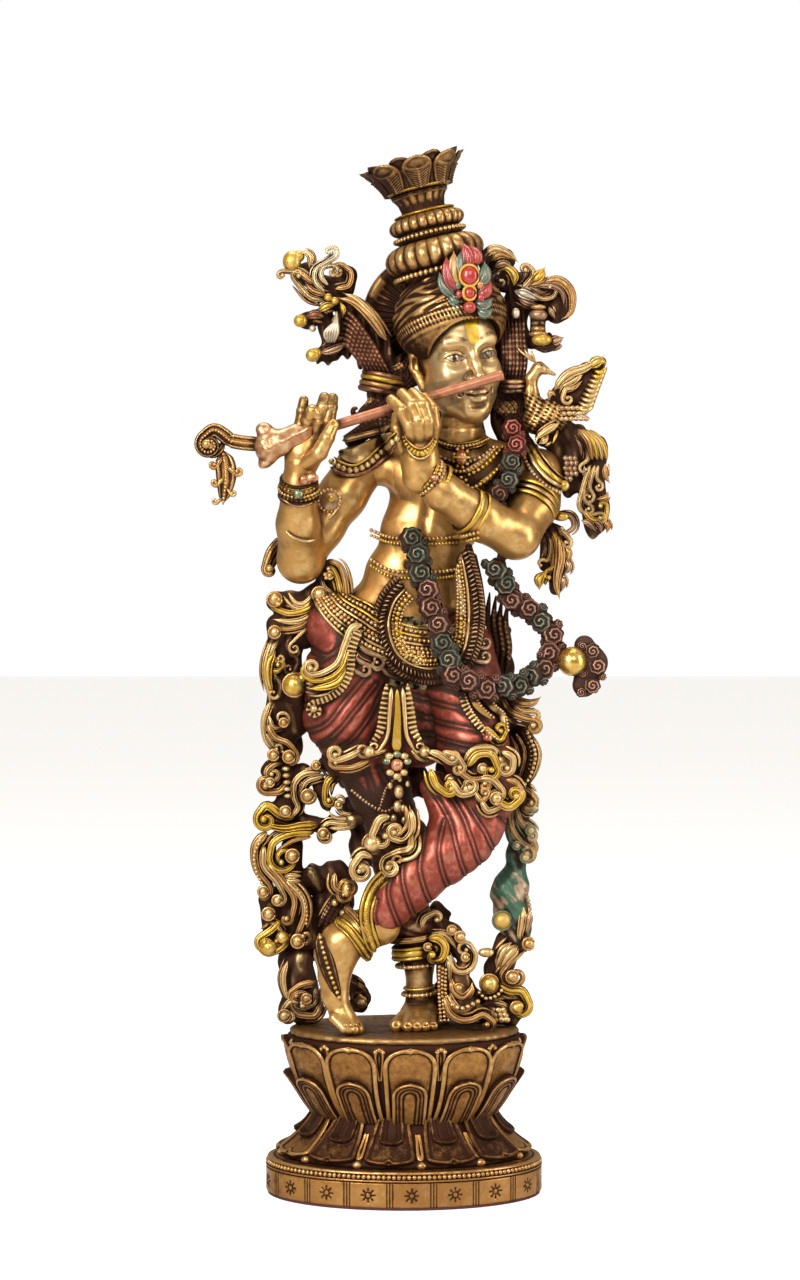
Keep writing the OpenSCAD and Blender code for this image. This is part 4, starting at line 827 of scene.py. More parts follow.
head.blob((0, -18.4, -19.5), (9.5, 6.2, 6.5), 4)
head.limb((0, -24.8, -14.8), 0.9, (0, -25, -17), 1.0, 1.6, cut=True)
for s in (-1, 1):
    head.chain([(s * 7.2, -20.2, -19.0), (s * 3.2, -23.5, -18.9), (0, -24.3, -18.9)], [0.6, 1.5, 1.35], 1.0)
    head.chain([(s * 6.0, -21.0, -20.4), (s * 2.8, -23.4, -22.0), (0, -23.8, -22.4)], [0.7, 1.75, 1.9], 1.2)
    head.chain([(s * 8.0, -21.0, -18.9), (s * 3.0, -25.3, -20.4), (0, -25.9, -20.2)], [0.45, 0.5, 0.5], 0.5, cut=True)
    head.blob((s * 8.8, -20.3, -18.8), (1.3, 1.3, 1.3), 1.5, cut=True)
head.blob((0, -22.6, -25.6), (5, 1.6, 1.5), 2, cut=True)
for s in (-1, 1):
    eye = np.array([s * 9.6, -14.4, -0.1])
    head.blob(eye, (6.2, 6.2, 6.2), 0.5)
    spot, x, y, z = head.window(eye - 9, eye + 9)
    ballD = np.sqrt((x - eye[0]) ** 2 + (y - eye[1]) ** 2 + (z - eye[2]) ** 2)
    head.blend(spot, np.maximum(ballD - 7.0, 0.8 * (eyeCurve(x, s, True) - z)).astype(np.float32) + 0
               * ballD.astype(np.float32), 0.5)
    spot, x, y, z = head.window(eye - 9, eye + 9)
    head.blend(spot, np.maximum(ballD - 6.75, 0.8 * (z - eyeCurve(x, s, False))).astype(np.float32), 0.5)
    # Ear, with a long lobe
    head.chain([(s * 20.6, 1, 4), (s * 22.6, 3, 3), (s * 22.8, 4, -3), (s * 21.6, 2, -8), (s * 20.4, 0, -14)],
               [2.2, 2.6, 2.4, 2.2, 2.5], 1.5)
    head.blob((s * 23.6, 0.6, -1.5), (1.6, 2.0, 3.4), 0.8, cut=True)


def headPaint(x, y, z):
    out = np.zeros((len(x), 4))
    ax = np.abs(x)
    front = y < -6
    # Painted paler towards the front of the face: the head's paler tone, with a painted highlight where the light falls
    # on the front
    out[:, :3] = (0.86, 0.66, 0.36)
    out[:, 3] = 0.45 * np.clip(-y / 12, 0, 1) * np.clip((z + 34) / 10, 0, 1)

    def lay(mask, colour, strength):
        s = np.clip(mask, 0, 1) * strength * front
        keep = out[:, 3] * (1 - s)
        total = keep + s
        out[:, :3] = (out[:, :3] * keep[:, None] + np.asarray(colour)[None] * s[:, None]) / np.maximum(total, 1e-6)[:, None]
        out[:, 3] = total

    u = (ax - 9.6) / 5.6
    top, bottom = eyeCurve(ax, 1, True), eyeCurve(ax, 1, False)
    inside = (z < top) & (z > bottom) & (np.abs(u) < 1.02)
    lay(inside * 1.0, (0.62, 0.52, 0.34), 0.85)
    edge = np.minimum(np.abs(z - top), np.abs(z - bottom))
    lay(np.exp(-((edge / 0.42) ** 2)) * (np.abs(u) < 1.06), (0.035, 0.014, 0.008), 0.95)
    d = np.hypot(ax - 9.6 - 0.3 * np.sign(x), z - 0.35)
    lay((d < 2.25) * inside, (0.06, 0.028, 0.02), 0.95)
    lay((d < 0.95) * inside, (0.008, 0.005, 0.005), 1.0)
    # A small light spot on each iris: a painted highlight
    lay((np.hypot(ax - 9.0, z - 1.0) < 0.5) * inside, (0.75, 0.7, 0.6), 0.9)
    # A dark line above the upper lid: painted shade in the lid crease
    lay(np.exp(-(((z - top - 1.9) / 0.35) ** 2)) * (np.abs(u) < 0.95) * (z > 0), (0.10, 0.045, 0.02), 0.85)
    brow = 8.4 + 2.6 * np.exp(-(((ax - 11.5) / 5.5) ** 2)) - 0.16 * np.clip(ax - 13, 0, 9) ** 1.25
    wide = 1.3 * np.clip((ax - 2.6) / 3, 0, 1) * np.clip((19.5 - ax) / 9, 0, 1)
    lay(np.clip((wide - np.abs(z - brow)) / 0.5 + 0.3, 0, 1) * (ax > 2.4), (0.13, 0.065, 0.025), 0.8)
    # A dark line between the lips: painted shade in the mouth crease
    lay(np.exp(-(((z + 20.1 - 0.022 * ax**2 - 0.28 * np.cos(ax * 0.9)) / 0.42) ** 2)) * (ax < 8.2) * (y < -18),
        (0.05, 0.018, 0.01), 0.9)
    lips = (ax < 7) * (z < -17.7 + 0.1 * ax) * (z > -24.0 + 0.07 * ax**2) * (y < -20.6)
    lay(lips, (0.42, 0.20, 0.10), 0.4)
    # Dark spots at the nostrils: painted shade in them
    nostril = np.exp(-((np.hypot(ax - 2.1, z + 14.2) / 0.95) ** 2))
    lay(nostril, (0.05, 0.02, 0.01), 0.9)
    half = 2.7 + 0.13 * (z - 6.5)
    cup = half - np.sqrt(np.clip(x**2 + np.clip(8.4 - z, 0, 9) ** 2, 0, 900))
    lay(np.clip(cup / 0.25, 0, 1) * (z > 5) * (z < 26), (0.86, 0.52, 0.02), 1.0)
    lay(np.exp(-((cup / 0.28) ** 2)) * (z > 5) * (z < 26), (0.22, 0.10, 0.02), 0.7)
    return out


putField("head", head, headPaint, None, headPlace)
print("head built", flush=True)


# Scrollwork


# Small curls on both sides of a line in turn
def sprigs(name, line, size, gap):
    line = np.asarray(line, float)[:, :3]
    along = np.r_[0, np.cumsum(np.linalg.norm(np.diff(line, axis=0), axis=1))]
    for i, mark in enumerate(np.arange(gap * 0.5, along[-1] * 0.92, gap)):
        p = np.array([np.interp(mark, along, line[:, c]) for c in range(3)])
        q = np.array([np.interp(mark + 1, along, line[:, c]) for c in range(3)])
        t = unit((q - p) * [1, 0, 1])
        s = 1 if i % 2 else -1
        n = s * np.array([-t[2], 0, t[0]])
        k = size * (0.85 + 0.3 * rng.random()) * (1 - 0.3 * mark / along[-1])
        lift = np.array([0, -0.25 * k, 0])
        pts = [p, p + t * k * 0.35 + n * k * 0.35 + lift, p + t * k * 0.85 + n * k * 0.75 + lift]
        scroll(name, pts, k * 0.27, k * 0.34, s, 0.9, "round" if k < 6.5 else "groove", "out", height=k * 0.3, rise=k * 0.2)


def dress(name, shape):  # backing, ribbons and studs of one piece
    if "cloth" in shape:
        mass(name, **shape["cloth"])
    for part in shape.get("bands", []):
        ribbons(name, **part)
    if "knobs" in shape:
        studs(name, **shape["knobs"])


# A dark backing of cloth folds behind open scrollwork, painted dark brown for patina and for the shade behind the
# scrollwork, with a lower cavity on the fold crests and a higher one in the troughs as painted light and shade. Blobs
# are (from, to, radius)
def mass(name, blobs, step=0.9, rough=0.9, scale=0.55):
    ends = np.array([p for a, b, r in blobs for p in (a, b)], float)
    reach = max(r for a, b, r in blobs) + 3
    field = Field(ends.min(0) - reach, ends.max(0) + reach, step)
    for a, b, r in blobs:
        field.limb(a, r, b, r, 3, flat=(1, 0.6, 1))
    field.displace(lambda x, y, z: rough * np.sin(x * scale + 0.6 * np.sin(z * 0.2)) * np.cos(z * 0.16 + x * 0.1))
    putField(name, field, (0.045, 0.018, 0.008, 0.75), lambda x, y, z: 0.55 - 0.45
             * np.sin(x * scale + 0.6 * np.sin(z * 0.2)) * np.cos(z * 0.16 + x * 0.1))


backDrape = {
    "cloth": {"blobs": [((-40, 17, 184), (-58, 17, 180), 9), ((-38, 17, 168), (-62, 17, 160), 9),
        ((-42, 17, 148), (-62, 17, 142), 9), ((-30, 17, 246), (6, 17, 240), 11), ((-26, 18, 222), (4, 18, 206), 12),
        ((-24, 18, 200), (2, 18, 190), 10), ((36, 15, 328), (54, 14, 330), 9), ((38, 15, 312), (56, 15, 308), 10),
        ((18, 17, 302), (42, 16, 296), 10), ((-64, 17, 132), (-60, 17, 108), 11), ((-67, 15, 318), (-68, 15, 262), 8.5),
        ((20, 20, 290), (50, 20, 286), 14), ((56, 15, 280), (64, 14, 236), 11), ((28, 15, 248), (50, 15, 246), 9),
        ((20, 18, 160), (20, 18, 140), 8), ((20, 16, 108), (48, 16, 106), 9), ((20, 14, 112), (34, 14, 118), 8)]}}
dress("back_drape", backDrape)


# Rows are (points, width, curl radius, side, turns, paint), or (points, width, paint) for a plain pointed leaf
def ribbons(name, y, rows, lift=None, ribs=0.0):
    for i, (points, width, *bend, tint) in enumerate(rows):  # a thinner band goes beside each wide one
        r, side, turns = bend or (0, 1, 0)
        scroll(name, points, width, r, side, turns, "groove", "out" if turns else "leaf", y, bool(turns), width * 0.85,
               width * 0.7, tint,
               0.0, ribs, lift=lift)
        line = smooth([(x, y, z) for x, z in points])
        if width > 1.55:
            ahead = unit(np.gradient(line, axis=0) * [1, 0, 1])
            across = np.stack([ahead[:, 2], 0 * ahead[:, 0], -ahead[:, 0]], 1) * (-side if i % 2 else side)
            line = (line + across * width * 1.35 + [0, 1.2, 0])[:int(len(line) * (0.92 if turns else 0.8))]
            if lift is not None:
                line = drape(line, lift - 1, y + 1)
            sweep(name, line, width * 0.5, width * 0.7, "round", "both", paint=(None, tint, amber)[i % 3])


# Balls, each with a thin ring: (x, z, radius)
def studs(name, spots, y=0.0, lift=None, paint=None, size=(1, 0.8, 1)):
    for x, z, r in spots:
        at = np.array([[x, y, z]], float)
        if lift is not None:
            at = drape(at, lift, y)
        ball(name, at[0], r, size, paint)
        a = np.radians(np.arange(0, 361, 20))
        ring = at + np.stack([(r + 0.5) * np.cos(a), 0 * a, (r + 0.5) * np.sin(a)], 1)
        sweep(name, ring, 0.8, 0.9, "round")


# Belt: rows of granules between lines, falling to the right, then scrolled edges below it
beltTop = smooth([(-41, 0, 358), (-31, 0, 350), (-20, 0, 345), (-10, 0, 338), (4, 0, 332.5), (20, 0, 331), (32, 0, 335),
                  (43, 0, 346)])
beltLow = smooth([(-53, 0, 349), (-44, 0, 336), (-30, 0, 324), (-12, 0, 315), (4, 0, 311), (20, 0, 311), (36, 0, 317),
                  (47, 0, 330)])
beltTop, beltLow = (line[np.linspace(0, len(line) - 1, 90).astype(int)] for line in (beltTop, beltLow))
for k in range(10):
    line = drape(beltTop + (beltLow - beltTop) * k / 9, 0.9, 4)
    if k in (0, 2, 4, 7, 9):
        sweep("waist_belt", line, 1.1, 1.6, "round", paint=gilt if k < 3 else pale)
    else:
        beads("waist_belt", line, 1.45, 1.9, 0.2, amber if k % 2 else pale)
waistBelt = {
    "bands": [{"y": -12, "lift": 1.4, "rows": [ ([(-30, 329), (-24, 320), (-14, 315)], 1.7, 4.5, -1, 1.0, umber),
        ([(-33, 324), (-27, 314), (-17, 309)], 1.7, 4.5, 1, 1.0, umber),
        ([(-35, 318), (-30, 309), (-24, 305)], 1.7, 3.5, 1, 0.9, umber),
        ([(-8, 314), (-2, 306), (6, 302)], 1.7, 3.5, 1, 0.9, umber),
        ([(34, 330), (40, 322), (46, 320)], 1.7, 3.5, 1, 0.9, umber),
        ([(30, 322), (38, 314), (46, 312)], 1.7, 3.5, 1, 0.9, umber),
        ([(-14, 310), (-8, 304), (0, 302)], 1.5, 3, -1, 0.9, umber)]}]}
dress("waist_belt", waistBelt)
for k, (z0, sag, r) in enumerate(((387, 3, 1.2), (384, 3, 1.0), (370, 5, 1.3), (366.5, 5, 1.0))):
    chain = laid([(-19, z0 + 1), (-8, z0 - sag), (8, z0 - sag - 1), (28, z0 - sag), (42, z0)], 0.6, 0)
    beads("necklaces", chain, r, 2.0, 0.3, gilt if k % 2 else None)

# Ribbed sash loop with strings of beads inside it
loop = laid([(-1, 358), (-9.5, 347), (-12.5, 331), (-6, 314), (8, 305.5), (24, 306), (36, 315), (41, 334), (40, 354),
                     (35, 377)], 1.6, -14)
mid = np.array([14.5, 0, 338])
towards = unit((mid - loop) * [1, 0, 1])
# A dark band behind the ribbed strips: painted shade between and behind them
sweep("sash_loop", loop + [0, 1.5, 0], 6.2, 2.6, "round", paint=(0.05, 0.02, 0.01, 0.85))
sweep("sash_loop", loop - towards * 4.0, 2.1, 2.6, "round", ribs=0.5, pitch=2.2, slant=0.3, paint=(0.30, 0.17, 0.10, 0.7))
sweep("sash_loop", loop - towards * 0.2, 2.3, 3.4, "round", ribs=0.6, pitch=2.7, slant=-0.4, paint=(0.55, 0.36, 0.22, 0.65))
sweep("sash_loop", loop + towards * 3.6, 1.2, 2.8, "round", paint=pale)
for inner, r, tint in ((5.8, 1.1, None), (8.2, 1.5, gilt), (10.6, 1.0, None)):
    string = drape(loop + towards * inner, 1.2, -14)
    beads("sash_loop", string[2:-2], r, 2.0, 0.6, tint)

# Front sash: gilt strip between ribbed leaves, then jewel, pendants and the scrolls between the legs
strip = laid([(-4, 297), (-3.6, 284), (-4, 272), (-4.3, 260)], 3.2, -26)
sweep("front_sash", strip, 3.4, 2.0, "strap", "in", paint=gilt)
for e in (-1, 1):
    side = laid([(-4 + 3.2 * e, 298), (-4 + 4.4 * e, 282), (-4 + 5.6 * e, 270), (-4 + 10 * e, 262)], 2.8, -26)
    sweep("front_sash", curl(side, 3.4, e, 1.1), 1.7, 1.8, "round", "out", paint=pale)
    side = laid([(-4 + 6 * e, 300), (-4 + 7.6 * e, 284), (-4 + 10 * e, 272), (-4 + 16 * e, 264)], 2.2, -26)
    sweep("front_sash", side, 3.4, 2.2, "strap", "both", ribs=0.6, pitch=2.8, paint=pale)
    balls("front_sash", [side[-1] + [0, -2, -3]], 3.4, cols=14, rows=10, paint=pale)
frontSash = {
    "bands": [{"y": -27, "lift": 2.0, "rows": [ ([(-10, 262), (-16, 260), (-22, 258)], 1.6, 4.0, -1, 1.0, pale),
        ([(-24, 262), (-32, 258), (-38, 256)], 2.4, 4.5, -1, 1.1, pale),
        ([(-20, 256), (-30, 252), (-40, 252)], 2.0, 3.4, -1, 0.9, amber),
        ([(4, 262), (8, 258), (12, 256)], 1.8, 3.2, 1, 1.0, pale)]}]}
dress("front_sash", frontSash)
jewelAt = drape(np.array([[-4.0, 0, 253.5]]), 4, -28)[0]
ball("front_sash", jewelAt, 3.6, (1, 0.7, 1), (0.5, 0.03, 0.02, 0.9))
for dx, dz, tint in ((-6, 2, green), (6, 2, green), (0, 6, green), (0, -6.5, pale), (-4, -4.4, pale), (4, -4.4, pale),
                     (-4.4, 5, pale), (4.4, 5, pale)):
    ball("front_sash", jewelAt + [dx, 0.6, dz], 2.2, (1.1, 0.7, 0.9), tint)
for x, z, r in ((-3, 237.5, 3.0), (-3.8, 229, 2.6), (-0.4, 228, 1.7), (-2.4, 245, 1.5), (-8, 241, 1.6), (2, 242, 1.4),
                (-6, 222, 1.8), (0, 221, 1.6)):
    ball("front_sash", drape(np.array([[x, 0, z]]), 1.5, -24)[0], r, (0.9, 0.8, 1.3), pale)
beads("front_sash", laid([(-30, 238), (-20, 230), (-10, 226), (-2, 232)], 1, -22), 1.0, paint=umber)
beads("front_sash", laid([(-4, 246), (-10, 240), (-14, 228)], 1, -24), 0.8, paint=umber)
frontSashLow = {
    "bands": [{"y": -31, "lift": 1.4, "rows": [ ([(4, 228), (4.5, 216), (0, 210), (-6, 211)], 2.8, 4.6, -1, 1.1, pale),
        ([(5, 214), (4, 206), (-4, 203), (-10, 200)], 3.2, 5.0, 1, 1.2, pale),
        ([(1, 230), (2, 220), (-2, 214)], 1.6, 3.0, -1, 0.9, None),
        ([(-8, 224), (-14, 222), (-18, 214)], 3.0, 6.5, 1, 0.7, pale),
        ([(-18, 200), (-24, 202), (-29, 196)], 2.6, 6.0, 1, 1.1, pale),
        ([(-12, 190), (-8, 194), (-6, 200)], 1.6, 3, -1, 0.6, amber)]}],
    "knobs": {"y": -28, "lift": 2.5, "paint": pale, "spots": ((-18, 208, 5.4), (-24, 194, 3.6))}}
dress("front_sash", frontSashLow)
frontSashSide = {
    "bands": [{"y": -20, "rows": [ ([(-40, 190), (-40, 182), (-34, 178)], 2.6, 4.5, 1, 1.0, amber),
        ([(-30, 186), (-36, 184), (-38, 178)], 2.0, 4.5, 1, 1.0, amber)]}]}
dress("front_sash", frontSashSide)
ball("front_sash", (-33, -21, 180), 3.4, (0.9, 0.8, 1.3), gilt)
for k in range(4):
    ribbons("front_sash", -12, [([(-36 + 2 * k, 178 - k), (-43 + 2 * k, 169 - 2 * k), (-50 + 3 * k, 157 - 2 * k)], 2.2, 3, 1,
                                 0, umber)], ribs=0.3)
balls("front_sash", [(-40, -16, 172), (-35, -17, 166), (-33, -18, 169)], (2.2, 2.4, 2.0), paint=pale)

# Left hip: a folded knot, ribbons and balls; then the S-scrolls of the apron over the cloth
hipKnotLeft = {
    "cloth": {"rough": 0.4, "blobs": [((-44, 2, 362), (-42, 2, 356), 7), ((-50, 3, 350), (-62, 5, 340), 8),
        ((-60, 6, 346), (-74, 7, 346), 6.5), ((-62, 6, 336), (-74, 7, 332), 7), ((-58, 6, 326), (-72, 7, 322), 7.5)]},
    "bands": [{"y": -7, "rows": [ ([(-33, 346), (-34, 358), (-37, 367), (-42, 370)], 2.4, 3.6, 1, 0.5, amber),
        ([(-36, 348), (-38, 358), (-41, 365), (-45, 367)], 2.2, 3.6, 1, 0.6, gilt),
        ([(-39, 350), (-43, 352), (-47, 356), (-48, 361)], 2.0, 3, -1, 0.8, pale),
        ([(-51, 353), (-57, 346), (-63, 346), (-68, 353)], 1.5, 3, -1, 0, pale),
        ([(-52, 350), (-58, 343), (-65, 344), (-71, 351)], 1.5, 3, -1, 0, pale),
        ([(-50, 346), (-58, 341.5), (-67, 340), (-75, 343)], 2.8, 3.8, -1, 0.9, gilt),
        ([(-50, 343), (-57, 337), (-66, 335), (-77, 336.5)], 2.0, pale),
        ([(-51, 341), (-58, 333.5), (-66, 331), (-74, 331)], 2.0, 3.4, 1, 0.9, amber),
        ([(-50, 343), (-55, 333), (-62, 326), (-66, 322)], 1.3, 3.4, 1, 1.0, pale)]}],
    "knobs": {"y": -9, "spots": ((-49, 351, 3.8), (-75, 348, 3.6), (-75, 329, 3.0), (-43, 362, 1.6))}}
dress("hip_knot_left", hipKnotLeft)
apronLeft = {
    "bands": [{"y": -24, "lift": 1.8, "rows": [ ([(-24, 334), (-30, 331.5), (-34, 322), (-38, 312), (-46, 306.5),
        (-52, 305)], 2.7, 4.6, -1, 1.2, pale), ([(-31, 322), (-35, 310), (-42, 303.5), (-51, 301.5), (-57, 304)], 2.2, 5, -1,
        0.5, gilt), ([(-33, 308), (-38, 301), (-46, 298), (-55, 297)], 2.4, gilt),
        ([(-26, 318), (-34, 306), (-40, 296), (-48, 293), (-56, 293)], 1.2, pale)]}]}
dress("apron_left", apronLeft)
rib = drape(curl(smooth([(-26, 0, 331), (-30, 0, 320), (-31, 0, 307), (-36, 0, 297), (-45, 0, 291), (-52, 0, 289)]), 4.4, 1,
                 1.1), 2.2, -24)
sweep("apron_left", rib, 3.2, 2.6, "strap", "out", ribs=0.55, pitch=2.6, paint=pale)
balls("apron_left", [rib[-1] + [0, -1.4, 0]], 2.2, cols=12, rows=9, paint=pale)
studs("apron_left", ((-63.5, 298.5, 6.2), (-59, 302, 3.0)), -12, 3.0, gilt)
for k in range(3):
    ribbons("apron_left", -18, [([(-57, 300 - 2.5 * k), (-52, 299 - 2.5 * k), (-46, 300 - 2 * k)], 1.5, pale)],
            lift=1.2)

for k in range(6):
    x = 43 + 3.6 * k
    sweep("back_drape", smooth([(x, 4 + 0.6 * k, 352 - 2 * abs(k - 2)), (x - 1.5, 1 + 0.8 * k, 334),
                                (x + 0.5, 1 + 0.8 * k, 318), (x - 2, 2 + k, 303)]),
          2.2, 3.0, "round", "both", ribs=0.25, pitch=3.0, paint=(0.09, 0.04, 0.02, 0.8))
# Right hip: leaf scrolls over the cloth, then the fringe of fat curls above the knee
for pts, w, tint in (([(32, 303), (35, 288), (44, 275), (52, 268)], 2.6, pale),
                     ([(36, 303), (41, 289), (50, 280)], 2.4, None),
                     ([(42, 300), (50, 288), (56, 282), (58, 272)], 2.4, pale)):
    line = laid(pts, 1.8, -18)
    sweep("apron_right", line, w, 2.2, "strap", "both", ribs=0.5 if w > 2.5 else 0.0, pitch=2.6, paint=tint)
    beads("apron_right", line[1:-1] + [2.2, 0, 0], 0.9, 2.1, 1.2, tint)
apronRight = {
    "bands": [{"y": -12, "lift": 1.6, "rows": [ ([(44, 298), (50, 290), (56, 292)], 2.2, 3.4, 1, 0.9, pale),
        ([(54, 294), (60, 284), (68, 280), (76, 278)], 3.2, 4.0, -1, 0.9, amber),
        ([(58, 296), (66, 289), (74, 288), (80, 292)], 2.6, amber),
        ([(60, 291), (68, 284), (76, 283)], 2.2, 3, -1, 0.7, pale),
        ([(46, 276), (54, 268), (58, 272)], 2.6, 3.4, 1, 0.9, gilt)]}]}
dress("apron_right", apronRight)
ball("apron_right", drape(np.array([[48.0, 0, 269.5]]), 2.5, -26)[0], 2.8, paint=(0.40, 0.06, 0.04, 0.8))
fringeRight = {
    "bands": [{"y": -36, "lift": 2.2, "rows": [ ([(14, 262), (20, 260), (26, 256)], 2.6, 3.6, 1, 1.0, pale),
        ([(22, 262), (30, 259), (34, 254)], 2.4, 3.6, -1, 1.0, pale),
        ([(36, 253), (42, 260), (50, 260), (54, 252)], 3.0, 5.0, -1, 0.9, gilt),
        ([(34, 256), (40, 263), (50, 264)], 2.0, 3.2, -1, 0.9, pale),
        ([(15, 252), (18, 243), (24, 238)], 2.8, 4.2, 1, 1.2, gilt),
        ([(26, 246), (32, 238), (38, 238)], 3.0, 4.4, 1, 1.0, pale),
        ([(30, 252), (38, 246), (46, 246)], 2.4, 3.6, -1, 1.0, amber),
        ([(42, 246), (50, 246), (56, 240)], 2.8, 4.0, -1, 1.1, pale),
        ([(44, 234), (48, 228), (54, 230)], 2.6, 3.4, 1, 1.0, pale),
        ([(52, 234), (60, 230), (66, 234)], 3.2, 4.0, 1, 1.0, gilt),
        ([(56, 262), (62, 258), (62, 252)], 2.6, 4.2, -1, 1.0, pale),
        ([(40, 240), (44, 234), (48, 236)], 2.0, 3, 1, 1.0, None),
        ([(58, 246), (64, 244), (68, 238)], 2.2, 3.4, -1, 1.0, amber)]}],
    "knobs": {"y": -32, "lift": 3.4, "paint": pale, "spots": ((55, 256, 3.6), (27, 245, 2.8), (53, 235, 3.0), (36, 240, 2.6),
        (64, 236, 2.8), (45, 252, 2.2))}}
dress("fringe_right", fringeRight)

# Left column, from the hip to the deck: a dark cloth mass with ribbons on it
scarfLeftUpper = {
    "cloth": {"rough": 0.5, "blobs": [((-72, 7, 322), (-73, 7, 300), 7.5), ((-73, 8, 300), (-73, 8, 284), 7),
        ((-66, 10, 304), (-64, 10, 274), 8.5), ((-74, 8, 282), (-71, 8, 262), 7)]},
    "bands": [{"y": -1, "rows": [ ([(-76, 326), (-80, 314), (-81, 304), (-79, 294), (-78, 286)], 2.0, pale),
        ([(-75, 318), (-79, 310), (-79, 300), (-76, 292)], 2.8, gilt),
        ([(-73, 324), (-77, 318), (-75, 312)], 1.8, 3, 1, 0.9, pale),
        ([(-79, 307), (-74, 306), (-71, 308)], 2.2, 2.6, 1, 0.7, gilt),
        ([(-76, 305), (-72, 298), (-73, 292)], 1.5, 3.4, -1, 0.8, pale),
        ([(-78, 288), (-82, 277), (-81, 266), (-76, 259)], 1.8, 3.2, 1, 1.0, pale),
        ([(-79, 280), (-76, 273), (-70, 274)], 1.6, 4.6, 1, 1.0, pale),
        ([(-80, 275), (-75, 267), (-68, 264), (-63, 258)], 2.4, 4.6, -1, 0.9, amber),
        ([(-81, 270), (-76, 262), (-74, 257)], 1.6, 3, 1, 0.6, pale),
        ([(-66, 318), (-62, 312), (-64, 306)], 1.4, 3.4, -1, 1.0, umber),
        ([(-64, 330), (-68, 322), (-66, 316)], 1.5, 3, 1, 1.0, umber)]}],
    "knobs": {"y": -4, "spots": ((-76, 257, 2.6), (-67, 256, 3.0), (-70, 276, 2.0))}}
dress("scarf_left_upper", scarfLeftUpper)

scarfLeftMiddle = {
    "cloth": {"rough": 0.4, "blobs": [((-78, 7, 247), (-74, 7, 240), 6.5), ((-70, 8, 250), (-66, 8, 236), 6.5),
        ((-58, 8, 246), (-62, 8, 238), 5), ((-79, 7, 222), (-66, 8, 222), 7), ((-56, 7, 216), (-44, 4, 214), 5),
        ((-40, 2, 217), (-20, -4, 220), 4), ((-62, 8, 232), (-68, 8, 228), 6), ((-46, 2, 252), (-34, 0, 254), 4),
        ((-50, 4, 240), (-46, 3, 228), 4)]},
    "bands": [{"y": -1, "rows": [ ([(-70, 252), (-75, 252), (-79, 249)], 2.4, 4.6, 1, 1.1, None),
        ([(-68, 242), (-72, 236), (-80, 235)], 2.8, 4.8, -1, 1.1, amber),
        ([(-48, 247), (-58, 246), (-64, 240), (-64, 232), (-62, 226), (-66, 221)], 2.6, 4.4, -1, 0.9, pale),
        ([(-46, 245), (-56, 242), (-60, 236)], 2.2, 5.6, 1, 0.9, pale),
        ([(-44, 247), (-54, 249), (-62, 245)], 1.2, None),
        ([(-38, 246), (-44, 242), (-46, 236), (-46, 230)], 2.8, 3.0, 1, 0.9, gilt),
        ([(-26, 252), (-34, 247), (-42, 247), (-46, 254)], 2.8, 5.0, -1, 0.9, gilt),
        ([(-64, 220), (-72, 222), (-80, 227), (-85, 222)], 3.4, 5.6, 1, 1.0, gilt),
        ([(-20, 226), (-28, 222), (-36, 223), (-40, 228)], 1.6, 3.6, -1, 1.0, pale),
        ([(-20, 223), (-30, 219.5), (-40, 220), (-45, 225)], 1.4, pale),
        ([(-24, 219), (-34, 216.5), (-44, 217), (-49, 212)], 2.0, 4.4, 1, 1.1, pale),
        ([(-26, 216), (-36, 214), (-46, 214)], 1.4, pale)]}]}
dress("scarf_left_middle", scarfLeftMiddle)
sweep("scarf_left_middle", smooth([(-50, -2, 216), (-60, -3, 215.5), (-70, -3, 214), (-80, -2, 216), (-86, -1, 221)]), 3.2,
      3.4, "rims", "out", paint=gilt)
for k in range(5):
    balls("scarf_left_middle", [(-69 + 0.3 * k, -3, 249 - 4 * k)], 2.0, (1.2, 0.8, 0.7), paint=pale)
studs("scarf_left_middle", ((-56, 233, 3.4), (-69, 224, 2.6), (-78, 241, 2.0), (-47, 211, 2.6), (-51, 251, 1.8),
                            (-38, 228, 1.6)), -4)

scarfLeftLower = {
    "cloth": {"rough": 0.5, "blobs": [((-82, 7, 204), (-80, 7, 186), 6), ((-66, 8, 202), (-66, 8, 192), 7),
        ((-68, 9, 184), (-62, 9, 160), 7.5), ((-78, 8, 170), (-74, 8, 150), 8), ((-66, 8, 158), (-58, 7, 148), 7),
        ((-56, 10, 184), (-50, 10, 180), 5)]},
    "bands": [{"y": -2, "rows": [ ([(-52, 212), (-66, 211), (-76, 206), (-78.5, 198)], 2.8, 8.4, 1, 1.2, gilt),
        ([(-54, 209), (-64, 207), (-72, 202)], 1.5, 7, 1, 0.9, amber),
        ([(-80, 212), (-87, 203), (-86, 190), (-79, 180), (-78, 176)], 3.0, 3.6, -1, 0.8, None),
        ([(-82, 204), (-82, 192), (-74, 182), (-70, 174)], 2.6, 4.0, -1, 0.9, pale),
        ([(-80, 194), (-70, 182), (-64, 172), (-66, 160)], 2.8, 3.0, -1, 0.8, amber),
        ([(-70, 184), (-60, 174), (-58, 164), (-62, 152)], 2.6, 4.6, 1, 1.0, None),
        ([(-60, 186), (-68, 186), (-72, 183)], 1.6, pale),
        ([(-60, 183), (-68, 183), (-70, 179)], 1.6, pale),
        ([(-72, 160), (-78, 154), (-84, 150)], 2.8, 4.6, 1, 0.9, gilt),
        ([(-66, 152), (-72, 144), (-78, 141)], 3.0, 4.6, -1, 1.0, gilt),
        ([(-80, 160), (-74, 156), (-70, 150)], 2.0, 4, -1, 0.6, pale)]}]}
dress("scarf_left_lower", scarfLeftLower)
beads("scarf_left_lower", smooth([(-84, -4, 207), (-87.5, -4, 198), (-86, -4, 188), (-82, -4, 180)]), 1.1, paint=pale)
beads("scarf_left_lower", smooth([(-62, -3, 178), (-57, -3, 168), (-57, -3, 158)]), 1.1, paint=None)
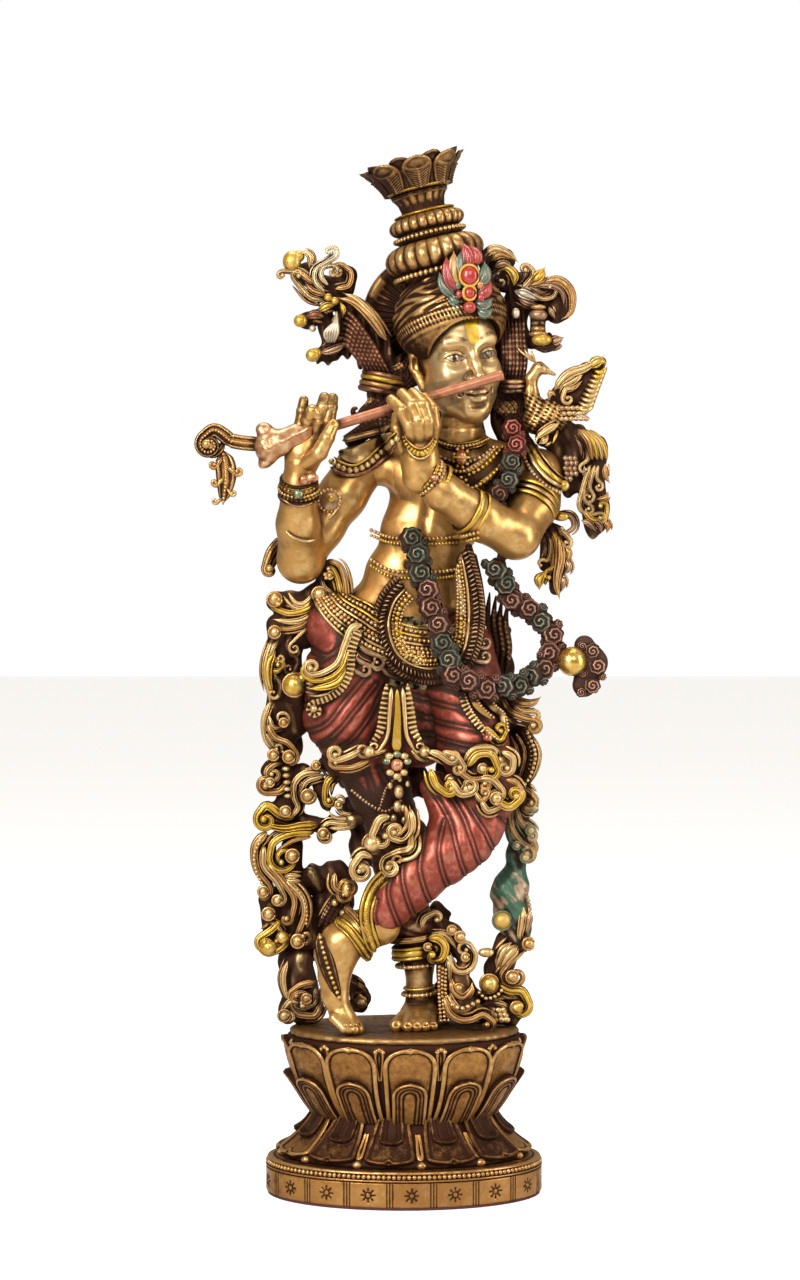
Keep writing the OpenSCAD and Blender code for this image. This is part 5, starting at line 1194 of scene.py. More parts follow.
studs("scarf_left_lower", ((-65, 198, 3.4), (-82, 177, 2.6), (-74, 172, 2.4), (-79, 164, 3.2), (-62, 148, 3.4)), -5)
ball("scarf_left_lower", (-79, -3, 144), 4.6, (1.1, 0.8, 1), gilt)
ball("scarf_left_lower", (-71, -4, 150), 3.6, (1.1, 0.8, 1), gilt)

scarfLeftFoot = {
    "cloth": {"rough": 0.4, "blobs": [((-62, 8, 134), (-62, 8, 120), 9), ((-62, 8, 116), (-56, 8, 106), 9.5),
        ((-68, 8, 106), (-64, 8, 104), 6), ((-28, 14, 118), (-26, 14, 108), 5.5)]},
    "bands": [{"y": -1, "rows": [ ([(-68, 136), (-71, 126), (-69, 116), (-64, 110)], 1.8, pale),
        ([(-50, 124), (-60, 122), (-66, 118)], 2.0, 5, 1, 0.9, amber),
        ([(-48, 112), (-52, 104), (-60, 104)], 2.6, 8.0, -1, 1.0, None),
        ([(-58, 110), (-66, 112), (-71, 106)], 2.8, 4.2, 1, 1.0, pale),
        ([(-52, 120), (-52, 112), (-58, 108)], 2.0, 5.5, -1, 1.0, pale)]},
        {"y": 8, "rows": [([(-36, 124), (-30, 122), (-24, 118)], 2.4, 5.4, -1, 1.1, amber),
        ([(-34, 112), (-28, 106), (-22, 110)], 2.2, 4.2, 1, 1.0, None)]}],
    "knobs": {"y": -4, "spots": ((-57, 114, 2.4), (-70, 104, 3.0), (-25, 112, 2.6))}}
dress("scarf_left_foot", scarfLeftFoot)

# Right column: curved bands and beads at the hip, leaf scrolls, green post, then the foot of it
mass("scarf_right_upper", [((70, 8, 270), (73, 8, 250), 6), ((68, 8, 246), (66, 8, 232), 7)], rough=0.3)
for k, (tint, ribbed) in enumerate(((pale, 0.0), (None, 0.5), (amber, 0.0), ((0.40, 0.13, 0.07, 0.75), 0.0))):
    line = smooth([(72 - 3.4 * k, 0 - 3 * k, 272 - 1.0 * k), (78.5 - 4.4 * k, 0 - 3 * k, 259), (76 - 4.4 * k, 0 - 3 * k, 246),
                   (69 - 3 * k, 1 - 3 * k, 236 + 2 * k)])
    sweep("scarf_right_upper", line, 2.2, 2.6, "groove", "both", ribs=ribbed, pitch=2.6, paint=tint)
beads("scarf_right_upper", smooth([(72, -4, 270), (76.5, -5, 258), (74, -5, 246), (69, -4, 238)]), 1.2, paint=pale)
ribbons("scarf_right_upper", -3, [([(66, 240), (72, 236), (76, 232)], 2.6, 4.2, -1, 1.1, amber)])
scarfRightColumn = {
    "cloth": {"rough": 0.3, "blobs": [((65, 8, 226), (70, 8, 212), 6), ((68, 8, 212), (70, 8, 202), 5)]},
    "bands": [{"y": -1, "rows": [ ([(62, 228), (62, 216), (68, 206), (74, 202)], 3.0, 4.6, -1, 0.9, amber),
        ([(65, 230), (67, 220), (73, 212), (77, 204)], 2.4, 5, -1, 0.7, amber),
        ([(68, 230), (72, 224), (75, 226)], 2.6, 4.0, 1, 1.1, amber),
        ([(60, 220), (62, 208), (68, 200)], 2.2, 3.2, 1, 1.0, None),
        ([(70, 218), (75, 214), (77, 210)], 2.0, 2.6, -1, 0.9, pale)]}],
    "knobs": {"y": -4, "paint": (0.55, 0.38, 0.15, 0.85), "spots": ((74, 213, 2.2), (71, 197, 2.4), (66, 204, 1.8),
        (76, 226, 2.0))}}
dress("scarf_right_column", scarfRightColumn)
post = Field((44, -12, 140), (84, 24, 216), 0.6)
post.chain([(66, 6, 204), (66, 6, 192), (64, 6, 184), (62, 6, 176), (64, 7, 164), (66, 8, 150), (66, 8, 144)],
           [5.5, 5.5, 8.5, 11, 10.5, 8.5, 7], 2)
post.displace(lambda x, y, z: 0.5 * np.sin(x * 0.4 + z * 0.3) + 0.4 * np.sin(z * 0.45 - x * 0.5 + 1.5 * np.sin(x * 0.2)))


def postPaint(x, y, z):
    out = np.zeros((len(x), 4))
    mix = np.sin(x * 0.35 + 0.12 * z) + 0.7 * np.sin(z * 0.3 - x * 0.2) + 0.5 * np.sin(x * 1.1 + z * 0.8)
    out[:] = (0.035, 0.12, 0.075, 0.8)
    out[(mix > 0.35) & (z < 188)] = (0.45, 0.28, 0.17, 0.75)
    return out


putField("scarf_right_column", post, postPaint, lambda x, y, z: 0.3 + 0.2 * np.sin(x * 1.3 + z * 0.9))
beads("scarf_right_column", smooth([(71, -1, 178), (74, 0, 166), (72, 0, 152)]), 1.1, paint=umber)
studs("scarf_right_column", ((57.5, 160, 5.0),), -4, paint=gilt)
scarfRightLower = {
    "cloth": {"rough": 0.4, "blobs": [((62, 8, 146), (56, 8, 130), 8), ((55, 8, 130), (54, 7, 112), 6),
        ((60, 6, 116), (68, 5, 108), 6.5), ((50, 0, 106), (62, 4, 102), 6)]},
    "bands": [{"y": -2, "rows": [ ([(70, 168), (69, 158), (68, 150), (71, 146)], 2.4, 3.0, -1, 0, pale),
        ([(74, 166), (72, 156), (72, 150)], 2.2, 3.0, -1, 0, umber),
        ([(68, 146), (60, 138), (56, 130)], 3.4, 3.0, -1, 0, pale),
        ([(63, 147), (57, 140), (54, 131)], 3.0, 3.0, -1, 0, pale),
        ([(66, 142), (60, 132), (57, 127), (60, 122), (66, 122)], 2.4, 4.8, 1, 1.0, amber),
        ([(54, 123), (62, 119), (69, 118), (73, 111)], 3.6, 5.4, -1, 0.8, gilt),
        ([(58, 117.5), (65, 115), (70, 110)], 1.4, 3.6, -1, 0.7, pale),
        ([(45, 109), (52, 111.5), (60, 109.5), (63, 103)], 1.8, 3, -1, 0, pale),
        ([(48, 112), (56, 114), (62, 114)], 1.6, None)]}],
    "knobs": {"y": -5, "spots": ((73, 146.5, 3.0), (50, 123, 5.0), (66, 109, 3.0), (63.5, 127, 3.2))}}
dress("scarf_right_lower", scarfRightLower)
ball("scarf_right_lower", (50, -5, 123), 5.2, paint=gilt)
ball("scarf_right_lower", (66, -5, 109), 3.4, paint=gilt)
beads("scarf_right_lower", smooth([(44, -6, 118), (48, -6, 114.5), (54, -6, 116), (57, -5, 119)]), 1.2, paint=pale)
balls("scarf_right_lower", [(52 + 3.2 * (k % 3) + 0.9 * (k // 3), -3 - 0.4 * (k % 2), 107 - 2.7 * (k // 3))
                            for k in range(9)], 2.2, (1, 0.6, 0.9), paint=pale)
scarfFootMiddle = {
    "cloth": {"rough": 0.4, "blobs": [((16, 6, 158), (28, 4, 150), 7), ((30, 2, 144), (38, -2, 136), 5.5),
        ((22, -4, 138), (24, -8, 112), 3.4), ((32, -4, 130), (36, -6, 112), 5.5), ((28, -8, 108), (48, -8, 106), 4.5)]},
    "bands": [{"y": -7, "rows": [ ([(10, 156), (12, 162), (18, 165)], 2.4, 3.2, -1, 0.6, pale),
        ([(14, 150), (20, 150), (24, 145), (22, 138), (17, 137)], 3.6, 3.2, -1, 0.4, gilt),
        ([(16, 153), (24, 152), (28, 148), (31, 143)], 1.6, 3, -1, 0, pale),
        ([(24, 142), (29, 132), (35, 130), (40, 133), (42, 140), (39, 146)], 1.9, 4.6, 1, 0.9, pale),
        ([(26, 140), (26, 126), (28, 118)], 2.0, pale), ([(27, 128), (28, 119), (34, 115), (39, 119), (40, 125)],
        3.4, 3, 1, 0, amber)]}, {"y": -13, "rows": [ ([(23, 117), (26, 108), (33, 103), (40, 103.5), (46, 106), (51, 103)],
        2.8, 4.4, -1, 0.9, amber), ([(25, 118), (29, 111), (34, 108), (42, 112)], 1.6, None)]}],
    "knobs": {"y": -8, "paint": pale, "spots": ((36, 139, 1.8), (28, 155, 2.2), (33, 151, 2.6), (32, 121, 2.0),
        (14, 145, 1.8))}}
dress("scarf_foot_middle", scarfFootMiddle)
ball("scarf_foot_middle", (48, -6, 141.5), 3.6, (1.3, 0.8, 0.8), pale)
for k in range(3):
    beads("scarf_foot_middle", smooth([(20.5 + 1.9 * k, -13 + k, 134 - k), (20.3 + 1.9 * k, -15 + k, 120),
                                       (21.5 + 2.2 * k, -15 + k, 103)]), 1.05, paint=amber if k == 1 else None)
beads("scarf_foot_middle", smooth([(28, -14, 112), (34, -15, 110), (43, -14, 114)]), 1.5, paint=pale)

print("scrollwork built", flush=True)

# Jewellery and garland

rose = (0.20, 0.085, 0.05, 0.75)
leafy = (0.012, 0.095, 0.06, 0.88)
choker = smooth([(17, -4, 441), (23, -11.5, 438), (32, -15, 436.5), (42, -12.5, 438), (49, -5, 441)])
sweep("necklaces", choker, 2.4, 1.6, "rims", paint=gilt)
beads("necklaces", choker, 1.0, 2.1, 1.8)
for pts, r in (([(8, -10, 436), (14, -16, 424), (24, -18.5, 414), (34, -18.5, 411), (46, -17, 416), (58, -13, 428),
                 (62, -8, 438)], 1.5),
               ([(3, -10, 430), (10, -17, 416), (22, -19, 404), (35, -19, 400), (50, -17, 406), (62, -13, 420)], 1.7),
               ([(12, -12, 438), (20, -17, 428), (32, -19, 422), (44, -16.5, 427), (54, -11, 436)], 1.3)):
    line = smooth(pts)
    sweep("necklaces", line, r * 1.3, r * 0.8, "groove")
    beads("necklaces", line, r * 0.85, 2.05, r * 0.8, gilt if r == 1.5 else None)
# A dark strap on the chest under the bead strings: painted shade behind the beads
sweep("necklaces", laid([(8, 434), (16, 424), (30, 419), (44, 423), (58, 434)], 0.5, 0, bare), 7.0, 1.6, "strap",
      paint=(0.035, 0.012, 0.007, 0.9))
for pts, r, tint in (([(16, 433), (24, 429), (33, 427), (44, 430), (52, 436)], 1.5, umber),
                     ([(13, 430), (22, 423), (33, 419.5), (46, 425), (57, 436)], 1.5, gilt),
                     ([(16, 418), (24, 410), (33, 407), (44, 412), (58, 428)], 1.6, None),
                     ([(20, 412), (28, 404), (38, 403), (50, 412), (62, 424)], 1.4, umber),
                     ([(40, 402), (50, 406), (60, 417)], 1.6, umber), ([(15, 426), (24, 418), (30, 416)], 1.3, rose)):
    beads("necklaces", laid(pts, 1.6, 0, bare), r, 1.95, 0.5, tint)
ball("necklaces", (33, -20, 430), 4.0, (0.8, 0.6, 1.15), red)
ringBand("necklaces", (33, -20, 430), 4.3, 1.5, 0, 1, 1, paint=gilt)
ball("necklaces", (32, -21.5, 414), 3.4, (1, 0.6, 1), red)
for a in np.radians(np.arange(0, 360, 40)):
    balls("necklaces", [(32 + 4.6 * math.cos(a), -20.5, 414 + 4.6 * math.sin(a)),
                        (33 + 4.4 * math.cos(a), -19.5, 430 + 5.6 * math.sin(a))],
          1.1, paint=gilt)


# A ring round a limb whose axis runs towards a point
def armBand(name, centre, towards, rx, ry, width, height, kind="rims", paint=None, bead=0.0, dark=0.0,
            ribs=0.0):
    axis = unit(np.asarray(towards, float) - np.asarray(centre, float))
    side = unit(np.cross(axis, (0, 1, 0)))
    front = np.cross(side, axis)
    a = np.linspace(0, 2 * np.pi, int(70 / coarse))[:, None]
    out = rx * np.cos(a) * side + ry * np.sin(a) * front
    sweep(name, out + np.asarray(centre, float), width, height, kind, out=unit(out), paint=paint, dark=dark, ribs=ribs)
    if bead:
        beads(name, (out * (1 + height * 0.6 / rx) + np.asarray(centre, float)), bead)
    return side, front, axis


wristR, elbowR = np.array([-60.0, -37, 414]), np.array([-60.5, -12, 372])
wristL, elbowL = np.array([12.0, -45, 420]), np.array([64.0, -21, 385])
for k, (tint, dark) in enumerate(((None, 0.5), (gilt, 0), (None, 0.6), (gilt, 0), (None, 0.4))):
    mid = wristR + unit(elbowR - wristR) * (-4 + 2.6 * k)
    armBand("bangles", mid, elbowR, 9.6 + 0.3 * k, 9.4 + 0.3 * k, 1.2, 1.6, "round", tint, dark=dark, ribs=0.3)
armBand("bangles", wristR + unit(elbowR - wristR) * 1.5, elbowR, 10.6, 10.4, 0.6, 1.2, "round", None, bead=1.1)
ball("bangles", (-57, -48.5, 417), 3.0, (1, 0.7, 1), red)
ball("bangles", (-60, -48, 409), 2.8, (1, 0.7, 1), green)
boss = drape(np.array([[-43.0, 0, 405.0]]), 0.5, -10)[0]
ball("bangles", boss, 6.4, (1, 0.35, 1), umber)
for a in np.radians(np.arange(0, 360, 20)):
    balls("bangles", [boss + [6.3 * math.cos(a), -0.8, 6.3 * math.sin(a)]], 1.15, paint=pale)
ball("bangles", boss + [0.8, -2.4, 1.6], 2.4, (1.1, 0.6, 1), gilt)
for pts, w, tint in (([(-68, 388), (-63, 384), (-56, 382), (-50, 383)], 1.0, pale),
                     ([(-72, 408), (-64, 403), (-58, 402), (-52, 404)], 0.8, umber),
                     ([(-37, 412), (-38, 402), (-44, 394)], 1.0, pale)):
    sweep("bangles", laid(pts, 0.5, -10), w, 1.0, "round", paint=tint)
ball("bangles", (-52, -50, 418), 3.0, (1.2, 0.6, 0.9), red)
for k in range(3):
    mid = wristL + unit(elbowL - wristL) * (1 + 4.2 * k)
    armBand("bangles", mid, elbowL, 10.0 + 0.5 * k, 9.9 + 0.5 * k, 1.5, 1.5, "round", gilt if k != 1 else None, ribs=0.25)
armBand("bangles", wristL + unit(elbowL - wristL) * 3, elbowL, 10.6, 10.4, 0.8, 1.0, "round", None, bead=1.2)
armBand("bangles", (37, -35, 399.5), elbowL, 13.0, 12.8, 2.0, 1.4, "round", gilt)
armBand("bangles", (41, -33, 397.5), elbowL, 13.3, 13.0, 1.2, 1.2, "round", gilt)
for k in range(3):
    armBand("bangles", (73 + 1.4 * k, -7 + 2 * k, 401 + 3 * k), (64, -19, 385), 14.6, 14.6, 1.3, 1.4, "round",
            gilt if k % 2 == 0 else None)
ball("bangles", (17, -56, 418), 2.4, (1, 0.7, 1), red)
for shift, w, tint in ((0, 2.2, gilt), (2.8, 0.9, pale), (-2.8, 0.9, amber)):
    cuffLine = smooth([(0.5, -50, 449 - 0.2 * shift), (0.6, -53, 440 - shift * 0.6), (4, -56, 434 - shift),
                       (9.5, -57.5, 431.5 - shift), (14.5, -55.5, 434.5 - shift),
                       (17.5, -51, 440 - shift)])
    sweep("bangles", cuffLine, w, 1.8, "round", paint=tint, ribs=0.3 if shift == 0 else 0.0, pitch=2.2)

# Shoulder wraps
for pts, w, h, kind, tint in (([(-38, 434), (-30, 431), (-20, 434), (-6, 443)], 6.4, 2.4, "cup", (0.70, 0.50, 0.22, 0.6)),
                              ([(-41, 431), (-36, 427), (-29, 425.5), (-22, 429), (-14, 436), (-4, 444)], 1.0, 1.4, "round",
                               gilt),
                              ([(-43, 425), (-37, 421), (-29, 420), (-20, 423), (-11, 430), (-4, 437)], 1.3, 1.4, "round",
                               (0.16, 0.03, 0.02, 0.85)),
                              ([(-36, 440), (-24, 443), (-8, 447)], 2.2, 1.8, "groove", None)):
    line = laid(pts, 1.2, -2)
    sweep("shoulder_wrap", line, w, h, kind, "both" if w > 5 else "even", paint=tint)
beads("shoulder_wrap", laid([(-42, 428), (-36, 424), (-29, 422.6), (-21, 426), (-13, 433), (-4, 440)], 1.4, -2), 1.9, 1.95,
      0.3, (0.62, 0.42, 0.16, 0.7))
for pts, w, tint in (([(70, 438), (76, 426), (84, 417), (92, 413)], 1.6, pale),
                     ([(73, 438), (79, 427), (86, 419), (93, 415)], 2.2, gilt),
                     ([(76, 438), (82, 429), (88, 422), (93, 418)], 1.0, amber)):
    sweep("shoulder_wrap", laid(pts, 0.9, 2), w, 1.8, "round", paint=tint)
ball("shoulder_wrap", (92.5, -4, 414), 3.2, (1.2, 0.8, 1), gilt)
beads("shoulder_wrap", laid([(68, 434), (74, 422), (82, 414), (90, 410)], 1.2, 2), 1.2, 2.0, 0.3, umber)
sweep("shoulder_wrap", smooth([(-2, 2, 447), (-16, 1, 449), (-34, 2, 438)]), 5, 4, "groove", ribs=0.3)


# A rolled flower: a domed disc cut by a spiral
def rosette(name, centre, r, turn=0.0, paint=None, way=(0, -1, 0)):
    way = unit(way)
    side = unit(np.cross(way, (0.1, 0.2, 1)))
    up = np.cross(side, way)
    cols, rows = int(30 / coarse), int(15 / coarse)
    a = np.linspace(0, 2 * np.pi, cols, endpoint=False)[None]
    q = np.linspace(0, 1, rows)[:, None]
    lobes = 1 + 0.07 * np.cos(7 * a + turn)
    groove = (0.5 + 0.5 * np.cos(2 * np.pi * (q * 2.2 - a / (2 * np.pi) + turn))) ** 3
    groove = groove * (q < 0.93) * (q > 0.02)
    ridge = (0.5 - 0.5 * np.cos(2 * np.pi * (q * 2.2 - a / (2 * np.pi) + turn))) ** 2
    h = r * 0.6 * np.sqrt(np.clip(1 - (q * 0.97) ** 2, 0, 1)) - r * 0.22 * groove
    h = np.where(q > 0.98, -r * 0.25, h)
    p = (np.asarray(centre, float) + (q * r * lobes * np.cos(a))[..., None] * side + (q * r * lobes * np.sin(a))[..., None]
         * up
         + h[..., None] * way)
    put(name, p, gridFaces(rows, cols, True), (0.75 - 0.95 * ridge * (q < 0.95) + 0.25 * groove).ravel(), paint)


# Big rosettes along a line, smaller ones at their sides and behind
def garland(name, line, r, colours):
    # The core strand is a darker copy of the first colour: painted shade between the rosettes
    sweep(name, resample(line, 3) + [0, r * 0.35, 0], r * 0.7, r * 0.4, "round",
          paint=(*(0.35 * c for c in colours[0][:3]), 0.9))
    line = resample(line, r * 1.62)
    ahead = unit(np.gradient(line, axis=0) * [1, 0, 1])
    for i, p in enumerate(line):
        tint = np.array(colours[min(int(i / len(line) * len(colours)), len(colours) - 1)])
        across = np.array([ahead[i, 2], 0, -ahead[i, 0]])
        rosette(name, p + across * 0.9 * (-1) ** i, r * 1.05, i * 0.7, tint, (0.25 * (-1) ** i, -1, 0.1))
        for e in (-1, 1):
            rosette(name, p + across * r * 0.85 * e + ahead[i] * r * 0.8 + [0, 1.5, 0], r * 0.5, i + e, tint,
                    unit(across * e * 0.8 + [0, -1, 0]))
        rosette(name, p + [0, r * 0.5, 0], r * 0.95, i, tint, (0, 1, 0))


garlands = {
    "garland_chest": {"r": 5.4, "line": [(63, -15, 447), (64, -19, 436), (61, -21, 422), (56, -22, 410), (49, -23, 400)],
                      "colours": [(0.42, 0.05, 0.03, 0.85), leafy, leafy, rose, rose]},
    "garland_front": {"r": 6.3, "line": [(5, -23, 384), (9, -27, 368), (14, -30, 350), (20, -33, 332), (25, -35, 314)],
                      "colours": [leafy, leafy, rose, rose, leafy, leafy]},
    "garland_loop": {"r": 6.3, "line": [(28, -36, 306), (40, -36, 300), (54, -31, 298), (67, -24, 300), (79, -14, 307),
                                        (86, -9, 319),
                                        (84, -8, 332), (74, -8, 340), (62, -10, 350), (54, -14, 366)],
                     "colours": [rose, rose, leafy, leafy, rose, rose, leafy, rose, leafy, leafy]},
}
for name, strand in garlands.items():
    garland(name, smooth(strand["line"]), strand["r"], strand["colours"])
ball("garland_ball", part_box("garland_ball")[0].lerp(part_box("garland_ball")[1], 0.5) * 1000, 8.6)
fan = Field((94, -22, 284), (124, 10, 332), 0.6)
fan.chain([(105, -6, 321), (109, -6, 311), (105, -6, 298)], [6, 8.5, 7], 3, flat=(1, 0.6, 1))
# A dark body under the rosettes: painted shade between them
putField("garland_rosette", fan, (0.07, 0.03, 0.018, 0.85), 0.6)
for x, z, r in ((109.5, 318, 4.6), (112.5, 309.5, 5.4), (109.5, 298, 4.8), (104, 312, 3.2), (104, 305, 3.0),
                (103.5, 321, 2.8), (103, 294, 3.0), (115.5, 303, 2.2)):
    rosette("garland_rosette", (x, -10.5, z), r, x, (0.40, 0.22, 0.12, 0.6))
    rosette("garland_rosette", (x, 0, z), r, x, (0.40, 0.22, 0.12, 0.6), way=(0, 1, 0))

# Elbow scarf and flute
elbowScarf = {
    "cloth": {"rough": 0.3, "blobs": [((85, 6, 388), (84, 6, 368), 5), ((92, 6, 382), (92, 6, 366), 4),
        ((88, 6, 362), (89, 6, 354), 4)]},
    "bands": [{"y": 0, "rows": [ ([(82, 389), (85.5, 380), (84, 371), (81, 371)], 1.7, 3, 1, 0.4, pale),
        ([(79, 388), (82, 380), (80, 371)], 1.4, pale), ([(85, 391), (89, 380), (88, 368), (83, 364)], 2.3, 3, 1,
        0.4, gilt), ([(82, 364), (79, 359), (79, 353)], 2.8, gilt),
        ([(90, 386), (91, 372), (89, 358), (91, 347)], 2.9, amber),
        ([(87, 392), (94, 386), (97, 382)], 2.0, 3.0, -1, 0.8, pale),
        ([(93, 380), (96, 374), (94, 368)], 2.0, amber), ([(94, 372), (96, 366), (93, 362)], 2.0, umber),
        ([(89, 396), (97, 396), (99, 390), (94, 386)], 2.0, 3.0, -1, 0.5, umber),
        ([(91, 362), (93, 358), (92, 352)], 1.8, umber)]}]}
dress("elbow_scarf", elbowScarf)
ball("elbow_scarf", (91.5, -2, 396), 3.6, (1.3, 0.8, 0.75), gilt)
scroll("elbow_scarf", [(-69, 384), (-77, 376), (-81, 366)], 3.6, 3, 1, 0.8, y=0)
sweep("elbow_scarf", smooth([(-67, 1, 380), (-74, 1, 372), (-79, 1, 362)]), 1.8, 2, "round", "both", paint=gilt)
fluteEnds = np.array([[56.5, -33, 477], [-78, -43, 436]], float)
fluteLine = resample(fluteEnds, 2.0)
fluteR = np.array([3.0] * len(fluteLine))
angles = np.linspace(0, 2 * np.pi, 24, endpoint=False)
way = unit(fluteEnds[1] - fluteEnds[0])
sideWay = unit(np.cross(way, (0, 1, 0)))
rim = np.cos(angles)[:, None] * sideWay + np.sin(angles)[:, None] * np.cross(way, sideWay)
tube = fluteLine[:, None] + fluteR[:, None, None] * rim[None]
tube = np.concatenate([fluteLine[:1, None] + 0.01 * rim[None], fluteLine[:1, None] + 2.0 * rim[None] + way * 2,
                       fluteLine[:1, None] + 2.2 * rim[None],
                       tube, fluteLine[-1:, None] + 0.01 * rim[None]])
put("flute", tube, gridFaces(len(tube), 24, True), np.r_[1, 1, 0.4, np.full(len(tube) - 3, 0.1)].repeat(24))
grip = Field((-86, -60, 416), (-40, -24, 466), 0.6)
grip.chain([(-48, -41, 448), (-58, -43, 443), (-68, -44, 439), (-77, -44, 436)], [4.5, 6.5, 7, 8.5], 2)
grip.limb((-74, -44, 438), 7, (-80, -44, 446), 4, 2)
grip.limb((-74, -44, 436), 7, (-79, -44, 427), 4, 2)
grip.displace(lambda x, y, z: 0.3 * np.sin(x * 0.6 + z * 0.3) + 0.2 * np.sin(z * 0.9 - x * 0.5))
putField("flute_finial", grip, lambda x, y, z: np.tile((0.50, 0.22, 0.12, 0.75), (len(x), 1)))
arm = smooth([(-80, -44, 437), (-92, -44, 438), (-102, -44, 440)])
sweep("flute_finial", arm, 4.2, 4, "rims")
line = scroll("flute_finial", [(-96, 437), (-107, 445), (-114, 441)], 4.4, 5.5, 1, 1.1, "rims", y=-44, rise=4.4 * 0.6)
beads("flute_finial", line[2:-6], 0.8, 2.2, 4.4 * 0.72)
scroll("flute_finial", [(-102, 438), (-108, 432), (-112, 434)], 3.2, 4, -1, 0.9, "rims", y=-44, rise=3.2 * 0.6)
hang = smooth([(-103, -44, 434), (-101, -44, 420), (-103, -44, 402)])
sweep("flute_finial", hang, 4.8, 3.6, "rims", "leaf")
beads("flute_finial", hang[2:-2], 0.9, 2.2, 2.6)
sprigs("flute_finial", hang, 6.5, 6)

# Crown, hair and peacock

crownFoot = np.array([26.0, 2, 515])
crownTurn = turnY(math.radians(-14))


def onCrown(p):
    return np.asarray(p, float) @ crownTurn.T + crownFoot


# A turned form on the crown's axis: (radius, height, cavity, fluting)
def turned(name, profile, steps, flute=0, depth=0.0, paint=None):
    profile = np.asarray(profile, float)
    a = np.linspace(0, 2 * np.pi, steps, endpoint=False)[None]
    r, z, c, amount = (profile[:, i][:, None] for i in range(4))
    lobe = 1 - np.abs(np.sin(a * flute / 2)) ** 0.7 if flute else 0 * a
    rr = r - depth * amount * lobe
    p = np.stack(np.broadcast_arrays(rr * np.cos(a), rr * np.sin(a), z + 0 * a), -1)
    put(name, onCrown(p.reshape(-1, 3)), gridFaces(len(profile), steps, True),
        np.clip(c + 0.9 * amount * lobe**2, 0, 1).ravel() * 1.0, paint)


def ringProfile(z, r, h, amount=1.0):
    t = np.linspace(0, np.pi, 12)
    return np.stack([r * (0.6 + 0.4 * np.sin(t)), z - h / 2 * np.cos(t), 0.5 * (np.sin(t) < 0.3),
                     amount * np.sin(t)], 1)


helmet = Field((-16, -44, 476), (66, 44, 552), 0.6)
dome = np.array([27.0, 2, 511])
helmet.blob(dome, (33, 33, 29), 0, turn=crownTurn)
helmet.limb(onCrown((0, 0, 10)), 21, onCrown((0, 0, 22)), 19, 4)
helmet.blob(headPlace(np.array([[0, -20, -6]]))[0], (25.5, 24, 32), 0.5, cut=True, turn=headTurn)
helmet.blob(headPlace(np.array([[0, 0, -16]]))[0], (40, 40, 22), 0.5, cut=True, turn=headTurn)


def helmetRows(x, y, z):
    p = (np.stack([x, y, z], 1) - headMid) @ headTurn / headScale
    front = p[:, 2] + 0.35 * np.clip(p[:, 1], -30, 30)
    return p, front


def helmetRelief(x, y, z):
    p, level = helmetRows(x, y, z)
    a = np.arctan2(p[:, 1], p[:, 0])
    band = np.clip(1 - np.abs(level - 15) / 4.5, 0, 1)
    hatch = np.sin(a * 90 + level * 1.2) * band
    lines = np.cos(level * 1.9) * np.clip(1 - np.abs(level - 18) / 12, 0, 1)
    curlA = np.sin(a * 7 + 2.6 * np.sin(level * 0.42)) * np.cos(level * 0.55 + np.sin(a * 7))
    return 0.45 * hatch + 0.35 * lines + 1.0 * curlA * (level > 19)


helmet.displace(helmetRelief)
putField("crown_helmet", helmet, None, lambda x, y, z: np.clip(0.35 - 0.55 * helmetRelief(x, y, z), 0, 1))
for k, (rise, wide, tint) in enumerate(((0.0, 1.3, gilt), (3.2, 1.6, None), (6.6, 1.4, gilt), (9.4, 1.1, None))):
    a = np.radians(np.linspace(-30, 210, 60))
    arc = np.stack([23.5 * np.cos(a), -2 - 26.5 * np.sin(a) * (1 - 0.008 * rise),
                    22.5 + rise - 9 * (1 - np.sin(a).clip(-1, 1)) ** 1.1], 1)
    arc[:, :2] *= 1 + 0.006 * rise
    arc = headPlace(arc)
    outWay = unit(arc - headPlace(np.array([[0, 0, 8.0]])))
    sweep("crown_helmet", arc, wide, 1.2, "round", out=outWay, paint=tint, ribs=0.35, pitch=2.0)
beads("crown_helmet", headPlace(np.stack([22.8 * np.cos(a), -2 - 25.6 * np.sin(a),
                                          20.4 - 9 * (1 - np.sin(a).clip(-1, 1)) ** 1.1], 1)), 1.2, 2.0)

turned("crown_tiers", ringProfile(34, 29.5, 18), int(360 / coarse), 22, 2.6)
turned("crown_tiers", ringProfile(44.5, 20, 3, 0), 120)
turned("crown_tiers", ringProfile(53, 22.5, 11), int(330 / coarse), 24, 1.6)
turned("crown_tiers", ringProfile(47, 19, 3.4, 0), 120, paint=None)
turned("crown_tiers", ringProfile(59, 18, 3.0, 0), 120, paint=gilt)
turned("crown_tiers", [(13, 58, 1, 0), (13, 62, 0.6, 0.6), (14, 66, 0.3, 1), (16.5, 70, 0.2, 1), (17, 71, 0.7, 0)], 160, 18,
       0.8)
turned("crown_flare", ringProfile(73, 19.6, 3.2, 0), 120, paint=gilt)
turned("crown_flare", ringProfile(69.5, 16.6, 2.4, 0), 120)
twist = np.radians(np.linspace(0, 360, 40))
beads("crown_tiers", onCrown(np.stack([25.5 * np.cos(twist), 25.5 * np.sin(twist), 0 * twist + 24], 1)), 1.6, 2.0)
beads("crown_tiers", onCrown(np.stack([20.5 * np.cos(twist), 20.5 * np.sin(twist), 0 * twist + 46], 1)), 1.4, 2.0)


